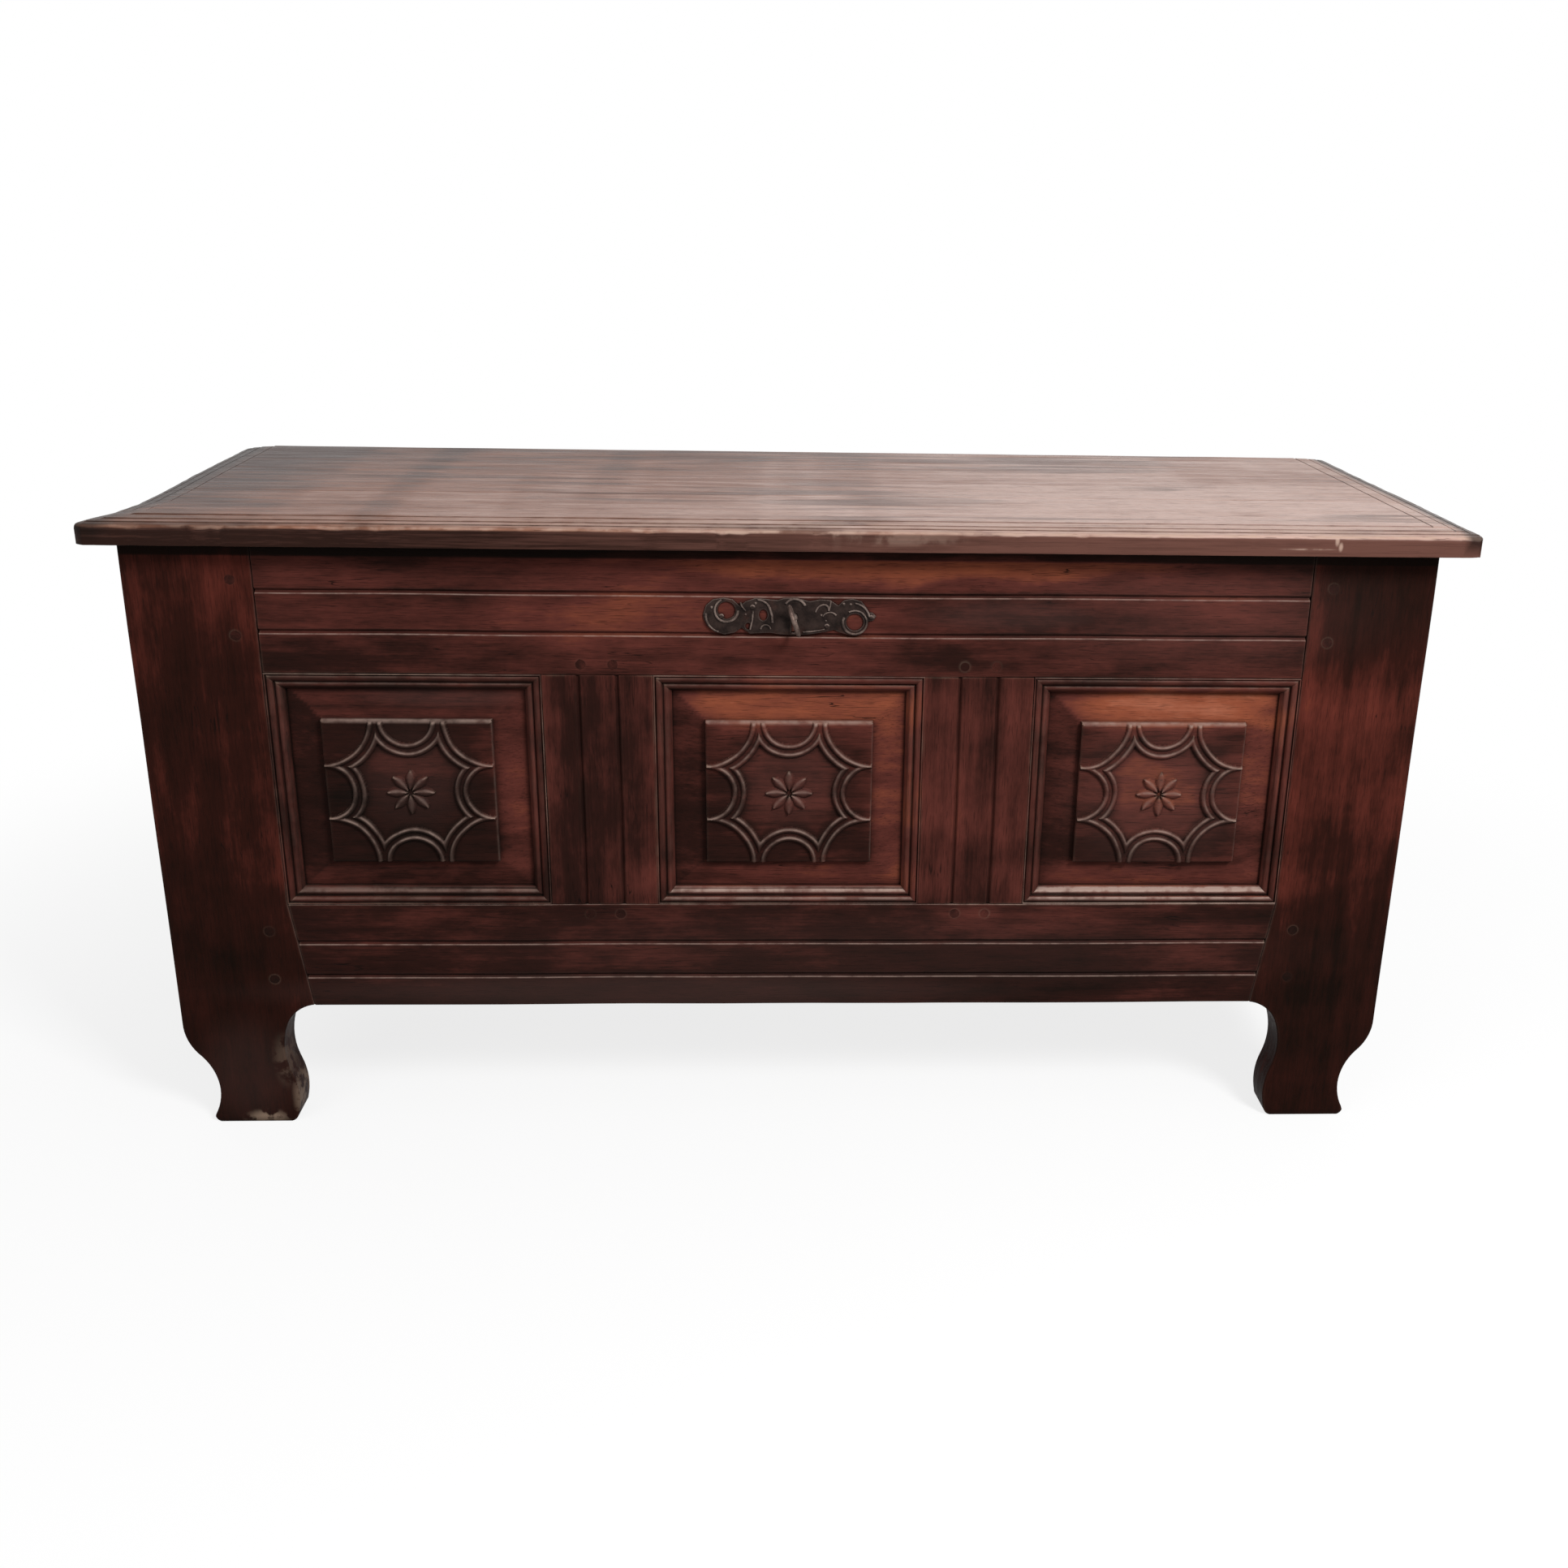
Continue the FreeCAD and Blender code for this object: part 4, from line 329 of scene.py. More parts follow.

# %% [markdown]
# ## Stained oak
# The frame is oak under centuries of red-brown stain, wax and soot. It is nearly black at the feet and in
# the corners, where the darkening is dirt and painted shade together, a deep red on the rails, and orange
# where hands and cloths have thinned the stain and, on the panels' top and right facets, as painted light.
# Colour comes from one tone value that runs from soot to bright orange. Broad zones, placed where the
# photograph shows them, lift or lower it, and noise breaks up their edges; the zones hold both the stain's
# own differences and painted light and shade. Long stretched noise gives the figure and fibres, short
# dashes the pores. Corners darken and arrises that look up turn pale, dirt and wear together with painted
# shade and painted highlight, and both are found by ambient occlusion, outside and inside the wood.

# %% Choose tones and zones for the stained oak
SOOT = (0.0070, 0.0042, 0.0032)
DARK_STAIN = (0.0215, 0.0076, 0.0059)
RED_STAIN = (0.0840, 0.0228, 0.0172)
WARM_STAIN = (0.1980, 0.0540, 0.0270)
BRIGHT_STAIN = (0.3850, 0.1440, 0.0860)
# Pale of worn arrises and chips, which on up-facing arrises also stands for a painted highlight
WORN_PALE_AND_HIGHLIGHT = (0.2100, 0.1450, 0.1050)
# Pale of rubbed ridges and beads, which also stands for their painted highlight
RUBBED_AND_HIGHLIT_RIDGE = (0.3000, 0.2120, 0.1780)
# Dark of pores and cracks, and of corners, where it is dirt and painted shade
DIRT_AND_SHADE = (0.0050, 0.0036, 0.0030)
DUST = (0.0950, 0.0550, 0.0480)

# Each zone: centre x and z, reach along x and z, all in metres, and how far it shifts the tone
# The zones hold the stain's own differences and also painted light and shade: lit top facets on the panels, a
# lighter right side and a darker left, and a lift on the top rail against the lid's shadow
STAIN_AND_LIGHT_ZONES = (
    ((-0.14, 0.575), (0.23, 0.050), 0.155),
    ((0.10, 0.626), (0.42, 0.028), 0.30),
    ((-0.22, 0.530), (0.20, 0.030), -0.02),
    ((-0.45, 0.530), (0.14, 0.030), -0.10),
    ((0.45, 0.530), (0.14, 0.030), -0.045),
    ((0.02, 0.477), (0.19, 0.044), 0.255),
    ((0.110, 0.390), (0.045, 0.170), 0.11),
    ((0.0, 0.285), (0.22, 0.040), 0.20),
    ((0.385, 0.475), (0.17, 0.040), 0.35),
    ((0.385, 0.385), (0.15, 0.14), 0.085),
    ((0.495, 0.390), (0.040, 0.190), 0.08),
    ((0.385, 0.285), (0.22, 0.040), 0.22),
    ((0.385, 0.390), (0.070, 0.060), 0.12),
    ((-0.285, 0.385), (0.040, 0.080), 0.16),
    ((-0.385, 0.480), (0.16, 0.040), -0.01),
    ((-0.385, 0.410), (0.055, 0.040), 0.02),
    ((0.60, 0.44), (0.07, 0.15), 0.025),
    ((0.585, 0.12), (0.10, 0.17), -0.06),
    ((-0.585, 0.12), (0.10, 0.17), -0.04),
    ((-0.42, 0.600), (0.17, 0.070), -0.045),
    ((-0.36, 0.236), (0.16, 0.030), 0.045),
    ((-0.193, 0.385), (0.050, 0.170), -0.05),
    ((0.19, 0.40), (0.09, 0.20), 0.04),
    ((-0.231, 0.385), (0.030, 0.200), -0.10),
    ((0.43, 0.575), (0.12, 0.060), 0.04),
    ((0.225, 0.575), (0.17, 0.030), -0.10),
    ((0.140, 0.532), (0.075, 0.026), -0.13),
    ((-0.60, 0.40), (0.10, 0.40), -0.09),
    ((-0.40, 0.385), (0.17, 0.16), -0.15),
    ((0.27, 0.238), (0.17, 0.030), 0.09),
    ((0.20, 0.205), (0.50, 0.045), 0.04),
    ((0.60, 0.60), (0.09, 0.12), -0.18),
)
# Bare pale patches where the wood is chipped or scuffed: centre, reach and strength
PALE_ZONES = (
    ((-0.570, -0.225, 0.003), (0.030, 0.05, 0.015), 1.0),
    ((-0.533, -0.208, 0.030), (0.011, 0.05, 0.040), 0.55),
    ((-0.545, -0.225, 0.075), (0.016, 0.05, 0.040), 0.22),
)
# Dusty places on the frame: centre, reach and strength
DUST_ZONES = (
    ((-0.15, -0.225, 0.158), (0.52, 0.06, 0.030), 0.22),
    ((-0.585, -0.225, 0.060), (0.07, 0.06, 0.085), 0.14),
    ((-0.350, -0.215, 0.485), (0.12, 0.06, 0.016), 0.14),
    ((0.23, -0.225, 0.575), (0.14, 0.06, 0.024), 0.16),
    ((0.42, -0.225, 0.580), (0.26, 0.06, 0.085), 0.10),
    ((0.10, -0.225, 0.205), (0.60, 0.06, 0.070), 0.07),
    ((0.385, -0.225, 0.385), (0.13, 0.06, 0.120), 0.13),
    ((-0.385, -0.225, 0.400), (0.08, 0.06, 0.080), 0.10),
    ((0.0, -0.225, 0.400), (0.08, 0.06, 0.080), 0.10),
)
ZONE_DEPTH = 0.35
FRONT_Y = -0.225
BASE_TONE = 0.315
FEET_DARK_LOW = 0.08
FEET_DARK_HIGH = 0.42
FEET_DARKENING = 0.16
# A painted shadow: a thin dark line across the front face just under the lid's overhang
LID_SHADOW_LOW = 0.6285
LID_SHADOW_HIGH = 0.6315
LID_SHADOW_DARKENING = 0.34
LID_SHADOW_FRONT = -0.2245
LID_SHADOW_BACK = -0.2225
print("zones of tone:", len(STAIN_AND_LIGHT_ZONES), "pale:", len(PALE_ZONES), "dusty:", len(DUST_ZONES))

# %% Write the patterns of the wood
GRAIN_AXES = "xyz"
RING_TURNS = 70.0
# How far a board's own number moves its figure along each axis
BOARD_SHIFT = (3.7, 5.3, 7.9)


def grain_scale(axis, along, across):
    """Noise scale per metre for grain that runs along one axis."""
    scale = [across] * 3
    scale[GRAIN_AXES.index(axis)] = along
    return tuple(scale)


def board_place(finish):
    """Object coordinates shifted by the board's own number, so that no two boards share a figure."""
    board = finish.add("Attribute", attribute_name="board").outputs["Vector"]
    return finish.vector_math("MULTIPLY_ADD", board, BOARD_SHIFT, finish.place)


def growth_rings(finish, axis):
    """Contour lines of a long stretched noise, which run and loop like the rings of a sawn board."""
    flow = finish.noise(board_place(finish), grain_scale(axis, 1.0, 8.0), detail=1.0, distortion=0.3)
    return finish.math("SINE", finish.math("MULTIPLY", flow, RING_TURNS))


def wood_patterns(finish, axis):
    """Figure, fibre and pore values of a board."""
    place = board_place(finish)
    figure = finish.noise(place, grain_scale(axis, 1.6, 30.0), detail=4.0, distortion=0.7)
    fibre = finish.noise(place, grain_scale(axis, 9.0, 330.0), detail=4.0, roughness=0.65)
    pores = finish.noise(place, grain_scale(axis, 55.0, 1100.0), detail=1.0)
    return figure, fibre, finish.span(pores, 0.56, 0.70)


def grain_lines(finish, scale, width, patch_scale, patch_low, patch_high):
    """Dark lines along the grain, only inside patches."""
    lines = finish.noise(finish.place, scale, detail=2.0, distortion=0.3)
    off_line = finish.math("ABSOLUTE", finish.math("SUBTRACT", lines, 0.5))
    patches = finish.noise(finish.place, patch_scale, detail=2.0)
    inside = finish.span(patches, patch_low, patch_high)
    return finish.math("MULTIPLY", finish.span(off_line, width / 3, width, 1.0, 0.0), inside)


print("grain axes:", GRAIN_AXES)

# %% Write the tone, dirt and wear of the oak
# How far the outlines of the tone zones wander along each axis
ZONE_WANDER = (0.10, 0.0, 0.045)
PATCH_SHIFT = 0.11
# The room inside the chest
INSIDE_LOW = Vector((-0.6315, -0.2065, 0.150))
INSIDE_HIGH = Vector((0.6315, 0.2260, 0.6435))
BARE_DARK = (0.080, 0.044, 0.026)
BARE_LIGHT = (0.205, 0.128, 0.078)
BARE_PORES = 0.5


def oak_tone(finish):
    """Tone from 0, sooty, to 1, bright, from the zones of stain and painted light, the height above
    the floor, broad patches and the painted shadow under the lid.
    """
    wander = finish.add("TexNoise", {"Vector": finish.place, "Scale": 14.0, "Detail": 3.0}).outputs["Color"]
    centred = finish.vector_math("SUBTRACT", wander, (0.5, 0.5, 0.5))
    place = finish.vector_math("MULTIPLY_ADD", centred, ZONE_WANDER, finish.place)
    patches = finish.noise(finish.place, (4.0, 4.0, 9.0), detail=4.0)
    shifts = [finish.swing(patches, PATCH_SHIFT)]
    for (x, z), (reach_x, reach_z), shift in STAIN_AND_LIGHT_ZONES:
        shifts.append(finish.zone(place, (x, FRONT_Y, z), (reach_x, ZONE_DEPTH, reach_z), shift))
    shifts.append(finish.span(finish.height, FEET_DARK_LOW, FEET_DARK_HIGH, -FEET_DARKENING, 0.0))
    # Painted shadow of the lid's overhang along the top of the front face
    lid_shadow = finish.span(finish.height, LID_SHADOW_LOW, LID_SHADOW_HIGH, 0.0, -LID_SHADOW_DARKENING)
    on_front = finish.span(finish.depth, LID_SHADOW_FRONT, LID_SHADOW_BACK, 1.0, 0.0)
    shifts.append(finish.math("MULTIPLY", lid_shadow, on_front))
    return finish.math("ADD", BASE_TONE, *shifts)


def inside_chest(finish):
    """1 on faces that look into the chest, where the oak was never stained."""
    middle = (INSIDE_LOW + INSIDE_HIGH) / 2
    half = (INSIDE_HIGH - INSIDE_LOW) / 2
    centred = finish.vector_math("SUBTRACT", finish.place, tuple(middle))
    room = finish.vector_math("SUBTRACT", tuple(half), finish.vector_math("ABSOLUTE", centred))
    least_room = finish.math("MINIMUM", *finish.add("SeparateXYZ", {"Vector": room}).outputs)
    return finish.math("GREATER_THAN", least_room, 0.0)


def upward(finish, low, high, least):
    """From least on faces that look down to 1 on faces that look up."""
    return finish.span(finish.facing, low, high, least, 1.0)


def corner_dirt_and_shade(finish, reach):
    """1 deep in a corner, 0 on an open face: where corners darken, as dirt and painted shade together."""
    open_share = finish.add("AmbientOcclusion", {"Distance": reach}, samples=8).outputs["AO"]
    return finish.span(open_share, 0.35, 0.95, 1.0, 0.0)


def arris_wear_and_highlight(finish, reach):
    """1 on an arris that looks up, 0 on a flat face: pale wear and a painted highlight together."""
    inner = finish.add("AmbientOcclusion", {"Distance": reach}, samples=8, inside=True).outputs["AO"]
    return finish.math("MULTIPLY", finish.span(inner, 0.62, 0.96, 1.0, 0.0), upward(finish, -0.15, 0.6, 0.12))


def bare_oak_colour(finish, figure, fibre, pores):
    colour = finish.ramp(finish.span(figure, 0.3, 0.7), ((0.0, BARE_DARK), (1.0, BARE_LIGHT)))
    streak = finish.span(fibre, 0.35, 0.65, 0.75, 1.0)
    grey = finish.add("CombineColor", {0: streak, 1: streak, 2: streak}).outputs[0]
    return finish.cover(finish.mix(1.0, colour, grey, "MULTIPLY"), BARE_DARK, pores, BARE_PORES)


print("inside of the chest:", [round(value, 3) for value in INSIDE_HIGH - INSIDE_LOW])

# %% Mix the oak finishes
STAIN_STOPS = ((0.0, SOOT), (0.22, DARK_STAIN), (0.45, RED_STAIN), (0.70, WARM_STAIN), (1.0, BRIGHT_STAIN))
# How far each pattern shifts the tone
# Faces that look up are lighter and faces that look down darker: painted light and shade
UPWARD_LIGHT_SHIFT = 0.06
FIGURE_SHIFT = 0.075
FIBRE_SHIFT = 0.045
RING_SHIFT = 0.022
MOTTLE_SHIFT = 0.10
# How strongly pores, drying cracks and corners darken the oak; the corners' darkening is dirt and painted
# shade
PORE_DARKENING = 0.38
CRACK_DARKENING = 0.8
CORNER_DARKENING = 0.85
CRACK_WIDTH = 0.010
ARRIS_REACH = 0.003
CORNER_REACH = 0.012
OAK_GLOSS = 0.015
# A warmer stain on the stiles
STILE_TINT = (1.05, 0.86, 0.78)
PLAIN_TINT = (1.0, 1.0, 1.0)


def stained_oak(name, axis, lift=0.0, wear_and_highlight_share=1.0, rub_and_highlight_share=1.0, tint=PLAIN_TINT):
    """Red-brown stained oak whose grain runs along one axis, bare on the faces inside the chest."""
    finish = Finish(name)
    figure, fibre, pores = wood_patterns(finish, axis)
    mottle = finish.noise(finish.place, grain_scale(axis, 16.0, 50.0), detail=4.0, roughness=0.7)
    rings = finish.math("MULTIPLY", growth_rings(finish, axis), RING_SHIFT)
    # The tone takes painted light too: lighter where the face looks up, darker where it looks down
    tone = finish.math("ADD", oak_tone(finish), lift, finish.painted("tone"),
                       finish.swing(finish.facing, UPWARD_LIGHT_SHIFT, -0.7, 0.7),
                       finish.swing(figure, FIGURE_SHIFT), finish.swing(fibre, FIBRE_SHIFT),
                       finish.swing(mottle, MOTTLE_SHIFT), rings)
    colour = finish.mix(1.0, finish.ramp(tone, STAIN_STOPS), tint, "MULTIPLY")
    colour = finish.cover(colour, DIRT_AND_SHADE, pores, PORE_DARKENING)
    cracks = grain_lines(finish, grain_scale(axis, 7.0, 120.0), CRACK_WIDTH, (9.0, 9.0, 14.0), 0.53, 0.68)
    colour = finish.cover(colour, DIRT_AND_SHADE, cracks, CRACK_DARKENING)
    scuffs = finish.noise(finish.place, (70.0, 70.0, 70.0), detail=3.0)
    lengths = finish.noise(finish.place, (16.0, 16.0, 16.0), detail=2.0)
    # Arrises that look up turn pale: wear and painted highlight
    colour = finish.cover(colour, WORN_PALE_AND_HIGHLIGHT, arris_wear_and_highlight(finish, ARRIS_REACH), wear_and_highlight_share,
                          finish.span(lengths, 0.36, 0.66, 0.08, 0.62),
                          finish.span(scuffs, 0.30, 0.60, 0.45, 1.0))
    # Rubbed places painted on the vertices turn pale, most where they look up: wear and painted highlight
    colour = finish.cover(colour, RUBBED_AND_HIGHLIT_RIDGE, finish.painted("rubbed_and_highlit"), rub_and_highlight_share,
                          finish.span(scuffs, 0.30, 0.62, 0.30, 0.85), upward(finish, -0.18, 0.74, 0.05))
    colour = finish.cover(colour, DUST, finish.strongest_zone(DUST_ZONES))
    colour = finish.cover(colour, WORN_PALE_AND_HIGHLIGHT, finish.strongest_zone(PALE_ZONES),
                          finish.span(scuffs, 0.40, 0.54))
    # Corners darken: dirt and painted shade
    colour = finish.cover(colour, DIRT_AND_SHADE, corner_dirt_and_shade(finish, CORNER_REACH), CORNER_DARKENING)
    colour = finish.cover(colour, bare_oak_colour(finish, figure, fibre, pores), inside_chest(finish))
    finish.constants(Specular_IOR_Level=OAK_GLOSS)
    relief = finish.blend((fibre, 0.6), (pores, -0.5), (scuffs, 0.6), (cracks, -1.0))
    roughness = finish.span(fibre, 0.3, 0.7, 0.34, 0.54)
    return finish.done(colour, roughness, relief, strength=0.35, distance=0.0009)


OAK_ALONG_X = stained_oak("stained_oak_long", "x")
OAK_ALONG_Y = stained_oak("stained_oak_deep", "y")
OAK_ALONG_Z = stained_oak("stained_oak_upright", "z")
STILE_OAK = stained_oak("stained_oak_stiles", "z", tint=STILE_TINT)
PEG_ENDS = stained_oak("stained_oak_peg_ends", "y", lift=-0.04, wear_and_highlight_share=0.0)
# The panel mouldings: how far their strips are rubbed and carry a painted highlight, most on the bottom ones,
# which look up, and towards the right, where the light falls
TOP_STRIP = stained_oak("stained_oak_top_strip", "x", rub_and_highlight_share=0.36)
UPRIGHT_STRIP = stained_oak("stained_oak_upright_strip", "z", rub_and_highlight_share=0.26)
BOTTOM_RUBS_AND_HIGHLIGHTS = {"left": 0.40, "centre": 1.15, "right": 1.90}
BOTTOM_STRIPS = {side: stained_oak("stained_oak_bottom_strip_" + side, "x", rub_and_highlight_share=share)
                 for side, share in BOTTOM_RUBS_AND_HIGHLIGHTS.items()}
print("finishes so far:", len(bpy.data.materials))

# %% [markdown]
# ## Lid oak, bare oak and iron
# The lid has been scrubbed and leaned on, so its oak is paler, greyer and shinier than the frame; part of
# that paleness, growing to the right and to the front and in broad bands, is painted reflection. The battens
# and the floor never saw stain. The lock and hinges are forged iron, dark and a little rusty, with bright
# edges that are rubbed wear and painted highlight.

# %% Mix the lid finish
LID_DARK = (0.0450, 0.0200, 0.0140)
LID_RED = (0.2080, 0.0960, 0.0630)
# Scrubbed grey that also stands for the lid's painted sheen
LID_GREY_AND_SHEEN = (0.4100, 0.2750, 0.2320)
LID_EDGE_DARK = (0.0200, 0.0085, 0.0062)
LID_EDGE_LIGHT = (0.1050, 0.0460, 0.0350)
# Pale of chips and worn wood, which on the nosing also stands for a painted highlight
NOSING_PALE_AND_HIGHLIGHT = (0.3800, 0.2600, 0.2050)
LID_STOPS = ((0.0, LID_DARK), (0.5, LID_RED), (1.0, LID_GREY_AND_SHEEN))
# Pale marks and splits on the lid's front edge: centre, reach and strength
EDGE_MARKS = (
    ((0.0447, -0.257, 0.656), (0.0060, 0.02, 0.0150), 0.75),
    ((0.1050, -0.257, 0.658), (0.0900, 0.02, 0.0100), 0.25),
    ((0.5330, -0.257, 0.6600), (0.0030, 0.02, 0.0070), 0.85),
    ((0.5370, -0.257, 0.6540), (0.0030, 0.02, 0.0060), 0.85),
    ((0.5050, -0.257, 0.6515), (0.0340, 0.02, 0.0013), 0.70),
)
# Where the lid is darker or paler, partly as painted reflection: centre, reach and shift of the tone
LID_ZONES = (
    ((-0.62, 0.02, 0.66), (0.13, 0.40, 0.5), -0.16),
    ((0.42, -0.15, 0.66), (0.45, 0.22, 0.5), 0.08),
)
LID_TONE = 0.75
# How far each pattern shifts the lid's tone
LID_PATCH_SHIFT = 0.16
LID_FIGURE_SHIFT = 0.22
LID_COARSE_SHIFT = 0.18
LID_FIBRE_SHIFT = 0.12
LID_RING_SHIFT = 0.05
# How strongly pores, streaks and corners darken it; the corners' darkening is dirt and painted shade
LID_PORE_DARKENING = 0.6
STREAK_DARKENING = 0.6
LID_CORNER_DARKENING = 0.5
STREAK_WIDTH = 0.055
LID_CORNER_REACH = 0.006
LID_GLOSS = 0.035


def lid_tone(finish, figure, fibre):
    """Tone from 0, dark, to 1, scrubbed grey with painted sheen. It pales to the right and to the front,
    and in broad bands, as painted reflection.
    """
    patches = finish.noise(finish.place, (3.0, 9.0, 9.0), detail=4.0)
    sheen_bands = finish.noise(finish.place, (8.0, 0.6, 0.6), detail=2.0)
    coarse_fibre = finish.noise(board_place(finish), (9.0, 75.0, 75.0), detail=3.0, roughness=0.6)
    shifts = [finish.zone(finish.place, *zone) for zone in LID_ZONES]
    shifts += [
        finish.swing(patches, LID_PATCH_SHIFT),
        # The paling to the front and to the right and the broad bands are painted reflection
        finish.span(finish.depth, -0.20, 0.20, 0.10, -0.22, "LINEAR"),
        finish.span(finish.along, -0.62, 0.05, -0.50, 0.0),
        finish.span(finish.along, 0.05, 0.60, 0.0, 0.22),
        finish.span(sheen_bands, 0.42, 0.58, -0.11, 0.09),
        finish.swing(figure, LID_FIGURE_SHIFT),
        finish.swing(coarse_fibre, LID_COARSE_SHIFT, 0.30, 0.70),
        finish.swing(fibre, LID_FIBRE_SHIFT),
        finish.math("MULTIPLY", growth_rings(finish, "x"), LID_RING_SHIFT),
    ]
    return finish.math("ADD", LID_TONE, *shifts)


def lid_oak(name):
    """Scrubbed and waxed lid boards with painted sheen, dark on the edge faces, pale on the nosing from chips
    and a painted highlight, bare below.
    """
    finish = Finish(name)
    figure, fibre, pores = wood_patterns(finish, "x")
    colour = finish.ramp(lid_tone(finish, figure, fibre), LID_STOPS)
    colour = finish.cover(colour, LID_DARK, pores, LID_PORE_DARKENING)
    streaks = grain_lines(finish, (1.2, 15.0, 15.0), STREAK_WIDTH, (3.0, 7.0, 7.0), 0.44, 0.60)
    colour = finish.cover(colour, LID_DARK, streaks, STREAK_DARKENING)
    # The edge faces darken towards the left: painted shade
    edge_light = finish.math("ADD", finish.span(finish.along, -0.55, 0.45),
                             finish.span(fibre, 0.2, 0.8, -0.35, 0.35))
    edge = finish.mix(edge_light, LID_EDGE_DARK, LID_EDGE_LIGHT)
    colour = finish.cover(colour, edge, finish.span(finish.facing, 0.25, 0.60, 1.0, 0.0))
    under = bare_oak_colour(finish, figure, fibre, pores)
    colour = finish.cover(colour, under, finish.span(finish.facing, -0.95, -0.80, 1.0, 0.0))
    scuffs = finish.noise(finish.place, (45.0, 45.0, 45.0), detail=4.0)
    chipped = finish.span(scuffs, 0.40, 0.58, 0.05, 0.90)
    # The nosing's rubbed strip turns pale, more to the right: chipped wear and a painted highlight
    colour = finish.cover(colour, NOSING_PALE_AND_HIGHLIGHT, finish.painted("rubbed_and_highlit"), chipped,
                          finish.span(finish.along, -0.70, 0.0, 0.25, 1.0))
    for mark in EDGE_MARKS:
        colour = finish.cover(colour, NOSING_PALE_AND_HIGHLIGHT, finish.zone(finish.place, *mark), chipped)
    # Corners, quirks and both ends darken: dirt together with painted shade
    soil_and_shade = finish.math("MULTIPLY", corner_dirt_and_shade(finish, LID_CORNER_REACH), LID_CORNER_DARKENING)
    colour = finish.cover(colour, DIRT_AND_SHADE, finish.math("MAXIMUM", soil_and_shade, finish.painted("dirt_and_shade")))
    finish.constants(Specular_IOR_Level=LID_GLOSS)
    relief = finish.blend((fibre, 0.5), (pores, -0.4))
    roughness = finish.span(fibre, 0.3, 0.7, 0.24, 0.40)
    return finish.done(colour, roughness, relief, strength=0.25, distance=0.0006)


LID_OAK = lid_oak("lid_oak_long")
print("lid finish:", LID_OAK.name)

# %% Mix the bare oak and the iron
RUST = (0.0620, 0.0240, 0.0165)
BARE_GLOSS = 0.3
# Corners of the bare oak darken, as dirt and painted shade
BARE_CORNER_REACH = 0.02
BARE_CORNER_DARKENING = 0.6
IRON_GLOSS = 0.05
IRON_ARRIS_REACH = 0.0012
# Corners of the iron darken, as dirt and painted shade
IRON_CORNER_REACH = 0.005
IRON_CORNER_DARKENING = 0.7


def bare_oak(name, axis):
    """Oak that was never stained."""
    finish = Finish(name)
    figure, fibre, pores = wood_patterns(finish, axis)
    colour = bare_oak_colour(finish, figure, fibre, pores)
    # Corners darken: dirt and painted shade
    colour = finish.cover(colour, DIRT_AND_SHADE, corner_dirt_and_shade(finish, BARE_CORNER_REACH), BARE_CORNER_DARKENING)
    finish.constants(Specular_IOR_Level=BARE_GLOSS)
    relief = finish.math("SUBTRACT", fibre, pores)
    roughness = finish.span(fibre, 0.3, 0.7, 0.55, 0.75)
    return finish.done(colour, roughness, relief, strength=0.3, distance=0.0008)


def forged_iron(name, dark, light, rubbed_and_highlit, metal, rust_share):
    """Hammered metal: dark and light scale in patches, bright on its edges from rubbing and a painted
    highlight.
    """
    finish = Finish(name)
    patches = finish.noise(finish.place, (90.0, 90.0, 90.0), detail=5.0, roughness=0.65)
    pits = finish.noise(finish.place, (600.0, 600.0, 600.0), detail=3.0)
    rust = finish.noise(finish.place, (38.0, 38.0, 38.0), detail=4.0)
    colour = finish.ramp(finish.span(patches, 0.3, 0.7), ((0.0, dark), (1.0, light)))
    colour = finish.cover(colour, RUST, finish.span(rust, 0.50, 0.72, 0.0, rust_share))
    # Bright edges and raised tops: rubbed wear and painted highlight
    edge = finish.math("MULTIPLY", arris_wear_and_highlight(finish, IRON_ARRIS_REACH),
                       finish.span(patches, 0.3, 0.6, 0.3, 0.9))
    rub_and_highlight = finish.math("MULTIPLY", finish.painted("rubbed_and_highlit"), finish.span(patches, 0.35, 0.65, 0.15, 0.75))
    colour = finish.cover(colour, rubbed_and_highlit, finish.math("MAXIMUM", edge, rub_and_highlight))
    # Corners darken: dirt and painted shade
    colour = finish.cover(colour, DIRT_AND_SHADE, corner_dirt_and_shade(finish, IRON_CORNER_REACH), IRON_CORNER_DARKENING)
    finish.constants(Metallic=metal, Specular_IOR_Level=IRON_GLOSS)
    relief = finish.math("ADD", patches, pits)
    roughness = finish.span(pits, 0.3, 0.7, 0.38, 0.62)
    return finish.done(colour, roughness, relief, strength=0.5, distance=0.0008)


BARE_ALONG_X = bare_oak("bare_oak_long", "x")
BARE_ALONG_Y = bare_oak("bare_oak_deep", "y")
DARK_IRON = forged_iron("dark_iron_forged", dark=(0.0095, 0.0062, 0.0054), light=(0.0290, 0.0185, 0.0155),
                        rubbed_and_highlit=(0.210, 0.155, 0.132), metal=0.0, rust_share=0.7)
WORN_STEEL = forged_iron("worn_steel_rubbed_and_highlit", dark=(0.062, 0.042, 0.035), light=(0.170, 0.122, 0.102),
                         rubbed_and_highlit=(0.330, 0.255, 0.222), metal=0.4, rust_share=0.3)
print("finishes:", len(bpy.data.materials))

# %% [markdown]
# ## The frame, worked by hand
# Stiles, rails, muntins and boards were planed and sawn by hand, so no arris is sharp and no face dead
# flat. Each one starts as a merged copy of its CAD node, which keeps its joints and grooves in place. Its
# long arrises are eased with a bevel. Cuts across the board give it extra rings of vertices, and noise
# then moves these a little.


# %% Write the board helpers
SHARP_ANGLE = math.radians(30)
SMOOTH_ANGLE = math.radians(38)
FLAT_ANGLE = math.radians(1)
MERGE_DISTANCE = 1e-6
SHORTEST_ARRIS = 1.8 * MM
